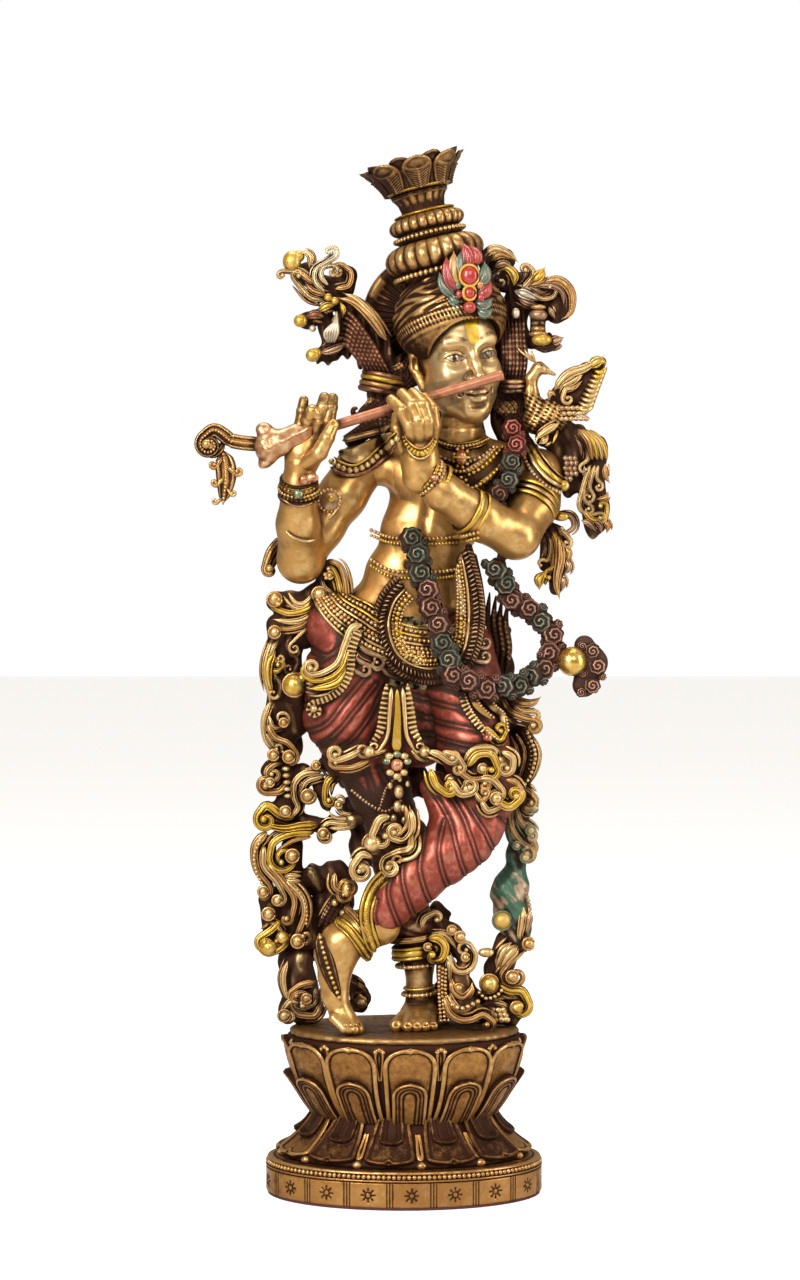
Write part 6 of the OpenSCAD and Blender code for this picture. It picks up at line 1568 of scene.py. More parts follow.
# An upright leaf with a rim, an eye near its tip and herringbone veins below
def flarePetal(a, r0, r1, z1, wide, shade):
    t = np.linspace(0, 1, int(40 / coarse))[:, None]
    u = np.linspace(-1, 1, int(31 / coarse))[None]
    half = wide * np.minimum(0.62 + 0.55 * t, 1) * np.sqrt(np.clip(1 - np.clip((t - 0.5) / 0.5, 0, 1) ** 2.0, 0.001, 1))
    eye = np.hypot(u * 1.15, (t - 0.76) / 0.2)
    rim = np.exp(-(((np.abs(u) - 0.9) / 0.09) ** 2))
    line = np.exp(-(((eye - 0.95) / 0.16) ** 2)) * (t > 0.5) + np.exp(-((u / 0.07) ** 2)) * (t < 0.6)
    bone = (0.5 + 0.5 * np.cos(2 * np.pi * (t * 13 - np.abs(u) * 2.6))) * (eye > 1.15) * (np.abs(u) < 0.8)
    r = r0 + (r1 - r0) * t**1.4 + 1.6 * (1 - u**2) + 0.8 * rim + 0.7 * line + 0.5 * bone + 0.7 * np.exp(-((eye
                                            / 0.5) ** 2)) * (t > 0.5)
    angle = a + u * half / (r0 * 0.5 + r1 * 0.5)
    p = np.stack(np.broadcast_arrays(r * np.cos(angle), r * np.sin(angle), 72 + (z1 - 72) * t + 0 * u), -1)
    # Painted light and shade: the back row darker as shade behind the front row, darker towards the base, lighter on
    # the rim, veins and lines and at the eye centre as painted highlight, with patina in the panel
    dark = np.clip(shade + 0.45 * (np.abs(u) < 0.82) - 0.9 * line - 0.75 * bone - 0.6 * rim + 0.3 * (1 - t) - 0.7
                   * np.exp(-((eye / 0.6) ** 2)) * (t > 0.5), 0, 1)
    back = p - 1.6 * np.stack([np.cos(angle), np.sin(angle), 0 * angle], -1)
    put("crown_flare", onCrown(p.reshape(-1, 3)), gridFaces(*p.shape[:2]), dark.ravel())
    put("crown_flare", onCrown(back.reshape(-1, 3)), gridFaces(*p.shape[:2]), 0.7)


# The last number of each row is its painted shade: the back row is painted darker
flare = {"leaves": 8, "front": (-86, 18.0, 29.5, 89.5, 9.5, 0.0), "back": (-63.5, 16.0, 27, 91, 8.5, 0.3)}
for k in range(flare["leaves"]):
    for start, *sizes in (flare["front"], flare["back"]):
        flarePetal(math.radians(start + 360 / flare["leaves"] * k), *sizes)
turned("crown_flare", [(18, 73, 1, 0), (20, 80, 1, 0), (12, 84, 1, 0), (0.1, 84, 1, 0)], 60)

# Jewel on the crown
ball("crown_jewel", (35, -22, 530), 10, (0.9, 0.5, 1.7), darkLine)
for pts, w, tint in (([(31, 524), (26, 532), (24, 545)], 3.6, red), ([(33, 526), (29, 534), (28.5, 548)], 3.4,
                                            (0.52, 0.30, 0.07, 0.9)),
                     ([(35, 528), (32.5, 538), (33, 549)], 3.2, green), ([(37, 536), (36.5, 545), (33, 553)], 3.4, red),
                     ([(40, 538), (41.5, 545), (38, 551)], 3.0, red), ([(41, 528), (46, 533), (46, 542)], 3.4, green),
                     ([(40, 523), (46, 524), (50, 531)], 3.2, red), ([(39, 519), (46, 517), (51, 521)], 3.2, green),
                     ([(34, 519), (29, 519), (24, 524)], 3.2, green), ([(34, 516), (29, 514), (25, 517)], 2.8, green),
                     ([(41, 515), (47, 512), (51, 515)], 2.8, green), ([(30, 521), (23, 527), (20, 536)], 2.8, green)):
    line = smooth([(x, -28.5, z) for x, z in pts])
    sweep("crown_jewel", line, w, w * 0.8, "groove", "leaf", paint=tint)
ball("crown_jewel", (37.5, -31.5, 515.5), 3.4, (1.1, 0.7, 1), red)
for x, z, r in ((37.3, 533.5, 4.8), (37.5, 523.6, 3.0)):
    ball("crown_jewel", (x, -31, z), r, (1, 0.6, 1.1), (0.40, 0.02, 0.012, 0.9))
    a = np.radians(np.arange(0, 361, 15))
    ring = np.stack([x + (r + 0.7) * np.cos(a), -31.2 + 0 * a, z + (r + 0.7) * 1.1 * np.sin(a)], 1)
    sweep("crown_jewel", ring, 1.0, 1.3, "round", paint=gilt)
for x, z, tint in ((31, 528, green), (43.5, 528.5, (0.52, 0.30, 0.07, 0.9)), (44, 521, red), (31.5, 523, red)):
    ball("crown_jewel", (x, -30, z), 2.0, (1, 0.7, 1.2), tint)

# Halo: a fluted disc behind the head
turns = np.linspace(0, 2 * np.pi, int(360 / coarse), endpoint=False)[None]
rr = np.array([0.1, 8, 12, 16, 20, 24, 28, 31, 33, 35.5, 37.5, 38.5, 37.5, 34, 20, 0.1])[:, None]
yy = np.array([21, 21, 20.4, 20.2, 20.2, 20.4, 20.6, 20.8, 19.4, 19.0, 19.6, 22, 26, 27, 27, 27])[:, None]
flute = 0.5 + 0.5 * np.cos(turns * 48)
inRay = ((rr > 10) & (rr < 32) & (yy < 22)).astype(float)
disc = np.stack(np.broadcast_arrays(14 + rr * np.cos(turns), yy + 1.1 * inRay * flute, 512 + rr * np.sin(turns)), -1)
put("halo", disc, gridFaces(len(rr), disc.shape[1], True), np.clip(0.25 + 0.75 * inRay * flute, 0, 1).ravel())

# Hair locks behind the head and on the shoulders
for x0, y0, z0, x1, y1, z1, w, n in ((4, 9, 486, -24, 8, 448, 3.4, 5), (54, 12, 484, 68, 12, 432, 3.6, 5)):
    for k in range(n):
        f = k / (n - 1)
        line = smooth([(x0 - 4 + 8 * f, y0 - 2 + 3 * f, z0), ((x0 + x1) / 2 - 6 + 14 * f, (y0 + y1) / 2 - 4 + 3 * f,
                                            (z0 + z1) / 2 + 4 - 6 * f),
                       (x1 + 8 * f, y1 - 3 + 3 * f, z1 + 8 - 12 * f)])
        line = line + np.stack([1.4 * np.sin(np.arange(len(line)) * 0.55 + k), 0 * line[:, 0], 0 * line[:, 0]], 1)
        sweep("hair_locks", curl(line, 3, 1 if x1 > 40 else -1, 0.8), w, 3, "groove", "out", ribs=0.15)
hairLocks = {
    "cloth": {"rough": 1.1, "scale": 0.8, "blobs": [((6, 13, 486), (-6, 14, 458), 7), ((-6, 14, 458), (-22, 14, 451), 5),
        ((52, 17, 482), (60, 16, 448), 8), ((60, 16, 448), (70, 17, 432), 6), ((32, 24, 486), (32, 26, 432), 15),
        ((32, 26, 432), (30, 26, 402), 10)]}}
dress("hair_locks", hairLocks)
hairWingLeft = {
    "cloth": {"rough": 1.2, "scale": 0.9, "blobs": [((-11, 11, 474), (-13, 11, 484), 10),
        ((-13, 11, 484), (-22, 11, 500), 11), ((-22, 11, 500), (-44, 9, 507), 8), ((-28, 11, 498), (-46, 9, 491), 6),
        ((-24, 11, 508), (-44, 9, 526), 7)]}}
dress("hair_wing_left", hairWingLeft)
mass("hair_wing_left", [((-36, 10, 530), (-34, 10, 536), 7), ((-44, 9, 528), (-58, 6, 538), 6),
                        ((-50, 8, 512), (-58, 6, 510), 5)], rough=0.4)
blush = (0.17, 0.05, 0.03, 0.8)
for k in range(7):
    f = k / 6
    sweep("hair_wing_left", smooth([(-8 - 14 * f, -1 + 2 * abs(f - 0.4), 478 + 2 * f), (-16 - 12 * f, -2, 492 - 2 * f),
                                    (-28 - 6 * f, -2, 510 - 14 * f),
                                    (-38 - 6 * f, 0, 518 - 24 * f)]), 2.0, 2.4, "round", "both", ribs=0.25, pitch=3.1,
                                    paint=blush)
hairWingLeftSide = {
    "bands": [{"y": -3, "rows": [ ([(-10, 498), (-19, 511), (-29, 520), (-39, 523)], 2.8, amber),
        ([(-12, 504), (-20, 514), (-28, 522), (-36, 526)], 2.2, pale),
        ([(-46, 521), (-54, 523), (-60, 529), (-64, 534)], 2.2, 3.4, -1, 0.8, pale),
        ([(-44, 524), (-53, 527), (-58, 533)], 1.8, 3, -1, 0, amber),
        ([(-54, 532), (-60, 536.5), (-66, 538), (-71, 538)], 2.2, 2.4, 1, 0.7, pale),
        ([(-50, 530), (-56, 534), (-60, 540)], 1.6, amber),
        ([(-55, 540), (-54, 546), (-57, 549), (-61, 548)], 1.8, pale),
        ([(-46, 526), (-51.5, 532), (-51, 539), (-45, 543), (-39, 547), (-40, 552), (-44, 551)], 1.9, 2, 1, 0.4,
        (0.75, 0.60, 0.36, 0.75)), ([(-44, 530), (-48, 535), (-47, 540), (-42, 541.5)], 1.8, 3.6, -1, 0.9,
        (0.75, 0.60, 0.36, 0.75)), ([(-40, 528), (-32, 530), (-30.5, 537), (-35, 541.5)], 1.9, 4.6, 1, 0.9, amber),
        ([(-34, 496), (-44, 492), (-50, 491)], 2.4, umber),
        ([(-34, 500), (-42, 498), (-48, 495)], 1.6, gilt),
        ([(-46, 512), (-52, 513), (-58, 511)], 2.6, 3, -1, 0, blush),
        ([(-37, 520), (-35, 516), (-36, 511)], 1.5, 3, -1, 0, gilt),
        ([(-40, 518.5), (-45, 518), (-51, 514)], 2.4, 3, -1, 0, gilt)]}]}
dress("hair_wing_left", hairWingLeftSide)
ball("hair_wing_left", (-65, -1, 544), 5.4, (1.0, 0.9, 1.15), gilt)
ball("hair_wing_left", (-61, -1, 547), 3.4, (1.0, 0.9, 1.0), gilt)
for x, z, r in ((-60, 509.5, 3.8), (-53, 489.5, 3.9), (-44, 523, 2.4), (-40, 521, 2.3), (-51, 491, 3.0)):
    ball("hair_wing_left", (x, -3, z), r, (1.05, 0.9, 1.0), gilt)
ball("hair_wing_left", (-53, -3, 505), 2.0, paint=(0.75, 0.66, 0.50, 0.85))
for k in range(6):
    f = k / 5
    line = smooth([(-39 - 0.6 * k, -5, 515 - k), (-38.6 - 2 * f, -8.5, 508), (-38.4 - 7.5 * f, -9, 502),
                   (-40.5 - 3.5 * f, -7, 496.5)])
    sweep("hair_wing_left", line, 1.25, 1.6, "round", "both", paint=(0.62, 0.52, 0.38, 0.85))
for k, (z, tint) in enumerate(((469, blush), (472, amber), (475.5, gilt), (478, blush))):
    ringBand("hair_wing_left", (-13 + 0.4 * k, 8, z), 12.4 - 0.4 * k, 11, -2.5, 1.8, 1.6, "round", paint=tint)
hairWingRight = {
    "cloth": {"rough": 1.2, "scale": 0.9, "blobs": [((62, 14, 474), (60, 13, 505), 9), ((62, 14, 470), (72, 16, 462), 8),
        ((62, 13, 510), (70, 13, 530), 9), ((70, 13, 530), (88, 9, 522), 8), ((68, 11, 500), (82, 7, 498), 5.5)]}}
dress("hair_wing_right", hairWingRight)
hairWingRightLow = {
    "cloth": {"rough": 0.4, "blobs": [((90, 8, 524), (90, 8, 516), 7.5), ((52, 12, 545), (60, 12, 546), 6),
        ((56, 12, 534), (66, 11, 530), 6), ((78, 8, 512), (78, 8, 502), 4.5)]}}
dress("hair_wing_right", hairWingRightLow)
for k in range(7):
    x = 57 + 2.2 * k
    sweep("hair_wing_right", smooth([(x - 1, 5 - 0.5 * k, 472), (x + 0.5, 3, 486), (x, 3, 500), (x - 1, 4, 512 + k)]), 1.7,
          2.2, "round", "both", ribs=0.3,
          pitch=3.3, paint=blush if k % 2 else umber)
for k in range(3):
    sweep("hair_wing_right", smooth([(54, 1, 474.5 - 2.6 * k), (62, -3, 474 - 2.6 * k), (71, 1, 474.5 - 2.6 * k)]), 1.5, 1.8,
          "round", paint=(amber, umber, darkLine)[k])
hairWingRightSide = {
    "bands": [{"y": 0, "rows": [ ([(45, 538), (46, 546), (52, 551), (60, 549), (67, 543)], 2.4, pale),
        ([(50, 544), (56, 548), (63, 545)], 2.4, amber), ([(52, 540), (58, 543), (64, 539)], 2.2, umber),
        ([(64, 530), (64, 536), (60, 540), (55, 539)], 2.6, gilt),
        ([(56, 538), (51.5, 535), (52, 531), (56, 530)], 1.6, 2.4, 1, 0.6, (0.70, 0.58, 0.38, 0.75)),
        ([(68, 528), (73, 533), (75, 538), (72, 541.5)], 2.2, 2.8, 1, 0.7, pale),
        ([(69, 533), (71, 538), (69, 541)], 1.6, umber), ([(73, 532), (78, 535), (82, 541)], 3.2, gilt),
        ([(72, 530), (80, 532), (84, 536)], 2.0, amber), ([(80, 532), (90, 533), (97, 526), (97, 515), (91, 510)],
        2.4, 4, -1, 0, amber), ([(76, 530), (86, 530), (92, 526), (93, 518)], 2.0, 4, -1, 0, umber),
        ([(73, 527), (80, 522.5), (87, 524), (89, 529)], 1.7, 3.8, 1, 0.7, pale),
        ([(72, 530), (80, 526), (84, 527)], 1.4, umber), ([(64, 527), (70, 525), (79, 521)], 3.0, 3, 1, 0,
        (0.62, 0.54, 0.42, 0.75)), ([(66, 523), (72, 520), (80, 518)], 2.0, umber),
        ([(84, 518), (86, 514), (88, 511)], 1.8, umber), ([(84, 496), (88, 498), (93, 500)], 3.0, umber),
        ([(76, 494), (84, 494.5), (92, 496)], 2.6, darkLine)]}]}
dress("hair_wing_right", hairWingRightSide)
ball("hair_wing_right", (65, -2, 514), 2.6, (0.9, 0.8, 1.2), (0.75, 0.66, 0.50, 0.85))
for z, r, flat, tint in ((517.5, 4.6, 0.36, amber), (513, 5.4, 0.62, umber), (508, 4.0, 0.5, darkLine),
                         (505, 4.2, 0.5, amber), (502, 5.6, 0.34, amber)):
    ball("hair_wing_right", (78, -1, z), r, (1.0, 0.9, flat), tint)
ball("hair_wing_right", (80, -3, 498.5), 5.6, (1.05, 0.7, 0.62), gilt)

bird = Field((66, -14, 440), (126, 16, 496), 0.5)
bird.chain([(78, 3, 452), (86, 3, 455), (94, 4, 458)], [8.5, 9.5, 7.5], 3)
bird.chain([(77, 3, 458), (74, 2, 468), (74, 1, 476), (78, 0, 482)], [6.5, 4.2, 3.4, 3.8], 2)
bird.limb((79, 0, 482.5), 3.6, (82, -1, 481), 2.6, 1)
bird.limb((82, -1, 481), 1.9, (87.5, -2, 478.5), 0.9, 0.8)
bird.displace(lambda x, y, z: 0.35 * np.sin(x * 1.5 + z * 0.8) * np.sin(z * 1.6) * (z < 468))
putField("peacock", bird, None, lambda x, y, z: np.where(z < 468, 0.3 - 0.3 * np.sin(x * 1.5 + z * 0.8) * np.sin(z * 1.6),
                                            0.1))
ball("peacock", (79.8, -3.6, 484), 0.8, paint=darkLine)
for k in range(3):
    sweep("peacock", smooth([(77, 0, 485), (75 - 3 * k, 0, 489 + k), (74 - 4 * k, 0, 493 + 0.6 * k)]), 0.9, 0.9, "round")
wing = Field((82, -10, 448), (124, 12, 496), 0.6)
wing.chain([(90, 2, 458), (100, 2, 466), (108, 2, 476), (115, 2, 486)], [6.5, 7.5, 6.5, 3], 2, flat=(1, 0.55, 1))
wing.chain([(88, 1, 466), (96, 1, 475), (106, 1, 482)], [4, 4.5, 4], 2, flat=(1, 0.6, 1))
putField("peacock", wing, (0.16, 0.075, 0.03, 0.8), 0.4)
for k in range(9):
    f = k / 8
    base = np.array([100 + 9.5 * f, -2.6, 460 + 21 * f])
    line = smooth([base, base + [5, -1.2, -2.4 + 0.3 * k * 0.4], base + [10.5 - 2 * f, 0.4, 0.6 + 1.2 * f]])
    sweep("peacock", line, 1.9, 2.2, "round", "both", paint=gilt if k > 6 else (0.62, 0.42, 0.17, 0.6))
for pts, w, tint in (([(87, 469), (95, 478), (106, 482.5), (117, 490)], 2.6, pale),
                     ([(89, 470), (97, 474), (105, 480)], 2.4, pale),
                     ([(90, 468), (98, 471), (104, 475)], 2.0, amber), ([(107, 482), (113, 486), (118, 485)], 3.0, gilt)):
    sweep("peacock", smooth([(x, -4, z) for x, z in pts]), w, 2.0, "groove", "leaf", paint=tint)
ribbons("peacock", -6, [([(99, 470), (94, 470), (92, 465)], 1.7, 3.2, 1, 0.9, pale),
                        ([(88, 466), (85, 468), (84, 463)], 1.5, amber)])
for k in range(18):
    balls("peacock", [(89 + 2.9 * (k % 6) + 1.2 * (k // 6), -5.5 + 0.4 * abs(k % 6 - 2), 459 - 3.1 * (k // 6))], 1.9,
          (1, 0.6, 0.8), paint=(None, umber)[k % 2])
for x in (79, 84, 89):
    sweep("peacock", smooth([(x, -2, 447), (x - 1, -7, 443), (x - 3, -9, 438)]), 1.5, 1.4, "round", "out", paint=gilt)
ribbons("peacock", -8, [([(90, 450), (83, 446), (75, 440)], 2.0, pale),
                        ([(84, 442), (81, 440), (78, 438)], 2.2, pale)])
for k in range(4):
    line = smooth([(101 + 2.4 * k, -3 + 0.5 * k, 447 - 0.2 * k), (107 + 2.6 * k, -5 + 0.8 * k, 440 - 0.5 * k),
                   (109.5 + 2.9 * k, -4 + 0.8 * k, 429)])
    sweep("peacock_tail", line, 2.6, 3.0, "groove", "both", paint=(amber, gilt, pale, gilt)[k])
peacockTail = {
    "bands": [{"y": -3, "rows": [ ([(101, 445), (105.5, 439), (107, 430), (103, 426)], 1.8, 3.0, 1, 0.6, pale),
        ([(100, 441), (103, 437), (103, 431)], 1.3, umber),
        ([(108, 426), (104, 412), (102, 402), (107, 397), (114, 398)], 1.9, 3.4, -1, 0.9, pale),
        ([(111, 426), (108, 414), (110, 409)], 1.6, 3.6, -1, 1.0, pale),
        ([(113, 426), (112, 419), (115, 415)], 1.5, 2.6, -1, 0.9, pale),
        ([(117, 427), (117, 420), (120, 415)], 1.6, amber),
        ([(105, 414), (105, 406), (109, 402)], 1.7, 2.8, -1, 0.9, pale),
        ([(104, 400), (110, 394), (117, 396), (118, 402)], 2.2, 3, 1, 0.5, gilt),
        ([(112, 406), (117, 407), (119, 411)], 1.7, amber),
        ([(103, 394), (108, 392), (112, 387)], 2.0, umber),
        ([(110, 394), (114, 391), (115, 386)], 1.8, umber),
        ([(115, 394), (118.5, 391), (118, 386)], 1.8, amber)]}]}
dress("peacock_tail", peacockTail)
for k in range(14):
    balls("peacock_tail", [(94 + 2.8 * (k % 3) + 0.8 * (k // 3 % 2), -0.5, 430 - 3.0 * (k // 3))], 1.7, (1, 0.7, 1),
          paint=umber)
peacockTailLow = {
    "cloth": {"blobs": [((96, 7, 446), (108, 7, 436), 7), ((111, 6, 436), (112, 6, 402), 7),
        ((112, 6, 402), (111, 6, 391), 7), ((98, 7, 430), (98, 7, 412), 5), ((84, 7, 442), (98, 7, 424), 6)]}}
dress("peacock_tail", peacockTailLow)
print("ornaments built", flush=True)


# Materials

# Dark brown of the patina in the hollows and of the painted shade in the recesses
patinaShadeColour = (0.038, 0.0105, 0.0025)


# Sockets with arithmetic, to write node graphs as sums
class Shader:
    def __init__(self, tree, socket):
        self.tree, self.socket = tree, socket

    def math(self, kind, *others):
        node = self.tree.nodes.new("ShaderNodeMath")
        node.operation = kind
        for place, value in zip(node.inputs, (self,) + others):
            if isinstance(value, Shader):
                self.tree.links.new(value.socket, place)
            else:
                place.default_value = value
        return Shader(self.tree, node.outputs[0])

    def __add__(self, o):
        return self.math("ADD", o)

    def __sub__(self, o):
        return self.math("SUBTRACT", o)

    def __mul__(self, o):
        return self.math("MULTIPLY", o)

    def __rsub__(self, o):
        return (self * -1) + o

    __radd__, __rmul__ = __add__, __mul__

    def clamp(self):
        return self.math("MAXIMUM", 0.0).math("MINIMUM", 1.0)

    def ramp(self, low, high):
        return ((self - low) * (1 / (high - low))).clamp()


def mixColour(tree, factor, a, b):
    node = tree.nodes.new("ShaderNodeMix")
    node.data_type = "RGBA"
    for place, value in ((node.inputs["Factor"], factor), (node.inputs["A"], a), (node.inputs["B"], b)):
        if isinstance(value, Shader):
            tree.links.new(value.socket, place)
        elif place.type == "RGBA":
            place.default_value = (*value[:3], 1)
        else:
            place.default_value = value
    return Shader(tree, [o for o in node.outputs if o.type == "RGBA"][0])


def noise(tree, scale, detail=3.0):
    coord = tree.nodes.new("ShaderNodeTexCoord")
    node = tree.nodes.new("ShaderNodeTexNoise")
    node.inputs["Scale"].default_value = scale
    node.inputs["Detail"].default_value = detail
    tree.links.new(coord.outputs["Object"], node.inputs["Vector"])
    return Shader(tree, node.outputs[0])


# One cast finish: colour with mottling, a dark brown of patina and painted shade where the cavity is high, and light
# edges where it is low, which are rubbed wear and a painted highlight
def finish(name, base, rough, metallic, patinaShadeStrength=1.0, tint=None, rubbedLitColour=None, grain=0.25, mottled=0.35, coat=0.0, plain=False,
           bumpScale=900,
           lowAt=0.25, highAt=0.8):
    material = bpy.data.materials.new(name)
    material.use_nodes = True
    tree = material.node_tree
    shader = tree.nodes["Principled BSDF"]
    broad, fine, speck = noise(tree, 45), noise(tree, 260, 4.0), noise(tree, 1100, 2.0)
    colour = mixColour(tree, (broad + fine * 0.6 - 0.8).ramp(-mottled, mottled), base, tint or [c * 0.62 for c in base])
    if plain:
        recess = fine * 0.0 + 0.15
    else:
        paint = tree.nodes.new("ShaderNodeAttribute")
        paint.attribute_name = "paint"
        colour = mixColour(tree, Shader(tree, paint.outputs["Alpha"]), colour, Shader(tree, paint.outputs["Color"]))
        cavity = tree.nodes.new("ShaderNodeAttribute")
        cavity.attribute_name = "cavity"
        recess = Shader(tree, cavity.outputs["Fac"])
    # Rubbed wear and painted highlight: where the cavity is low, a lighter colour is mixed in
    rubbedAndLit = ((0.20 - recess) * 4.0).clamp() * fine.ramp(0.42, 0.62)
    colour = mixColour(tree, rubbedAndLit * 0.55, colour, rubbedLitColour or [min(c * 1.5 + 0.03, 1) for c in base])
    # Patina and painted shade: the cavity and noise, ramped, mix in the dark brown and raise the roughness
    patinaAndShade = ((recess + (fine - 0.5) * 0.55 + (speck - 0.5) * 0.35).ramp(lowAt, highAt)) * patinaShadeStrength
    colour = mixColour(tree, patinaAndShade, colour, patinaShadeColour)
    tree.links.new(colour.socket, shader.inputs["Base Color"])
    tree.links.new((patinaAndShade * (0.62 - rough) + rough + (fine - 0.5) * 0.12).clamp().socket, shader.inputs["Roughness"])
    tree.links.new(((1 - patinaAndShade * 0.1) * metallic).clamp().socket, shader.inputs["Metallic"])
    shader.inputs["Coat Weight"].default_value = coat
    shader.inputs["Coat Roughness"].default_value = 0.3
    bump = tree.nodes.new("ShaderNodeBump")
    bump.inputs["Strength"].default_value = grain
    bump.inputs["Distance"].default_value = 0.0003
    tree.links.new((noise(tree, bumpScale, 2.0) + fine * 1.4).socket, bump.inputs["Height"])
    tree.links.new(bump.outputs["Normal"], shader.inputs["Normal"])
    return material


finishes = {
    "antique_gold": {"base": (0.52, 0.26, 0.07), "rough": 0.33, "metallic": 0.85, "tint": (0.33, 0.135, 0.034),
                     "rubbedLitColour": (0.92, 0.68, 0.34), "lowAt": 0.2, "highAt": 0.72},
    "dark_gold": {"base": (0.40, 0.22, 0.07), "rough": 0.38, "metallic": 0.75, "tint": (0.22, 0.10, 0.03),
                  "rubbedLitColour": (0.80, 0.58, 0.28), "lowAt": 0.15, "highAt": 0.7},
    "skin_gold": {"base": (0.62, 0.36, 0.11), "rough": 0.33, "metallic": 0.8, "tint": (0.43, 0.195, 0.05),
                  "rubbedLitColour": (0.82, 0.58, 0.26), "mottled": 0.7, "grain": 0.05, "patinaShadeStrength": 0.85, "lowAt": 0.3, "highAt": 1.05},
    "red_cloth": {"base": (0.34, 0.062, 0.032), "rough": 0.36, "metallic": 0.55, "tint": (0.24, 0.036, 0.022),
                  "rubbedLitColour": (0.60, 0.24, 0.15), "grain": 0.10, "lowAt": 0.2, "highAt": 0.85},
    "ornament_gold": {"base": (0.62, 0.36, 0.12), "rough": 0.32, "metallic": 0.8, "tint": (0.42, 0.20, 0.055),
                      "rubbedLitColour": (0.92, 0.74, 0.40), "lowAt": 0.2, "highAt": 0.75},
    "green_enamel": {"base": (0.20, 0.22, 0.11), "rough": 0.42, "metallic": 0.4, "tint": (0.06, 0.13, 0.08),
                     "rubbedLitColour": (0.66, 0.44, 0.26), "mottled": 0.15, "lowAt": 0.4, "highAt": 1.0},
    "flute_copper": {"base": (0.50, 0.20, 0.10), "rough": 0.36, "metallic": 0.6, "tint": (0.38, 0.13, 0.06),
                     "rubbedLitColour": (0.80, 0.45, 0.26), "lowAt": 0.4, "highAt": 1.0},
    "rose_garland": {"base": (0.34, 0.13, 0.09), "rough": 0.40, "metallic": 0.45, "tint": (0.22, 0.07, 0.05),
                     "rubbedLitColour": (0.70, 0.42, 0.28), "lowAt": 0.15, "highAt": 0.75},
    "bright_gold": {"base": (0.80, 0.50, 0.10), "rough": 0.25, "metallic": 0.9, "tint": (0.66, 0.36, 0.06),
                    "rubbedLitColour": (0.9, 0.7, 0.3), "lowAt": 0.5, "highAt": 1.2},
    "jewel_red": {"base": (0.42, 0.03, 0.02), "rough": 0.22, "metallic": 0.1, "tint": (0.30, 0.015, 0.012),
                  "rubbedLitColour": (0.48, 0.06, 0.04), "coat": 0.6, "grain": 0.05, "lowAt": 0.4},
    "steel": {"base": (0.45, 0.45, 0.46), "rough": 0.35, "metallic": 1.0, "plain": True, "patinaShadeStrength": 0.2},
    "felt": {"base": (0.10, 0.025, 0.022), "rough": 0.9, "metallic": 0.0, "plain": True, "patinaShadeStrength": 0.2, "grain": 0.8,
             "bumpScale": 2500},
}
finishes = {name: finish(name, **look) for name, look in finishes.items()}
print("materials ready", flush=True)

# Recesses, as painted shade: how crowded the space in front of each point is

for store in pieces.values():
    for key in ("verts", "faces", "cavity", "paint", "sdf"):
        store[key] = np.concatenate(store[key])
gridStep = 1.6
allVerts = np.concatenate([s["verts"] for s in pieces.values()])
gridLow = allVerts.min(0) - 8
gridShape = np.ceil((allVerts.max(0) + 8 - gridLow) / gridStep).astype(int) + 1
solid = np.zeros(gridShape, np.float32)
for s in pieces.values():
    f = s["faces"]
    for p in (s["verts"], s["verts"][f].mean(1)):
        index = ((p - gridLow) / gridStep).astype(int)
        solid[tuple(index.T)] = 1
for axis in range(3):
    for _ in range(2):
        solid = (np.roll(solid, 1, axis) + solid + np.roll(solid, -1, axis)) / 3


frontMap, mapLow = np.full((2, 300, 680), 99.0), np.array([-140, -20])
for s in pieces.values():
    at = np.clip((s["verts"][:, [0, 2]] - mapLow).round().astype(int), 0, [299, 679])
    for side, way in enumerate((1, -1)):
        np.minimum.at(frontMap[side], tuple(at.T), way * s["verts"][:, 1])
for axis in (1, 2):
    for _ in range(3):
        frontMap = np.minimum(np.minimum(np.roll(frontMap, 1, axis), frontMap), np.roll(frontMap, -1, axis))
for axis in (1, 2):
    frontMap = (np.roll(frontMap, 1, axis) + frontMap + np.roll(frontMap, -1, axis)) / 3


# How deep points lie behind what stands in front of them, seen from the front or the back, which goes into the cavity
# as painted shade
def behind(points, normals):
    at = np.clip((points[:, [0, 2]] - mapLow).round().astype(int), 0, [299, 679])
    back = (normals[:, 1] > 0).astype(int)
    depth = points[:, 1] * (1 - 2 * back) - frontMap[back, at[:, 0], at[:, 1]]
    return np.clip((depth - 2.5) / 6.5, 0, 1) * np.clip(np.abs(normals[:, 1]) * 1.6, 0, 1)


def crowd(points, normals, reach):
    index = np.clip(((points + normals * reach - gridLow) / gridStep), 0, np.array(gridShape) - 1.01)
    i = index.astype(int)
    t = index - i
    value = 0
    for dx in (0, 1):
        for dy in (0, 1):
            for dz in (0, 1):
                w = np.abs(1 - dx - t[:, 0]) * np.abs(1 - dy - t[:, 1]) * np.abs(1 - dz - t[:, 2])
                value = value + w * solid[i[:, 0] + dx, i[:, 1] + dy, i[:, 2] + dz]
    return value


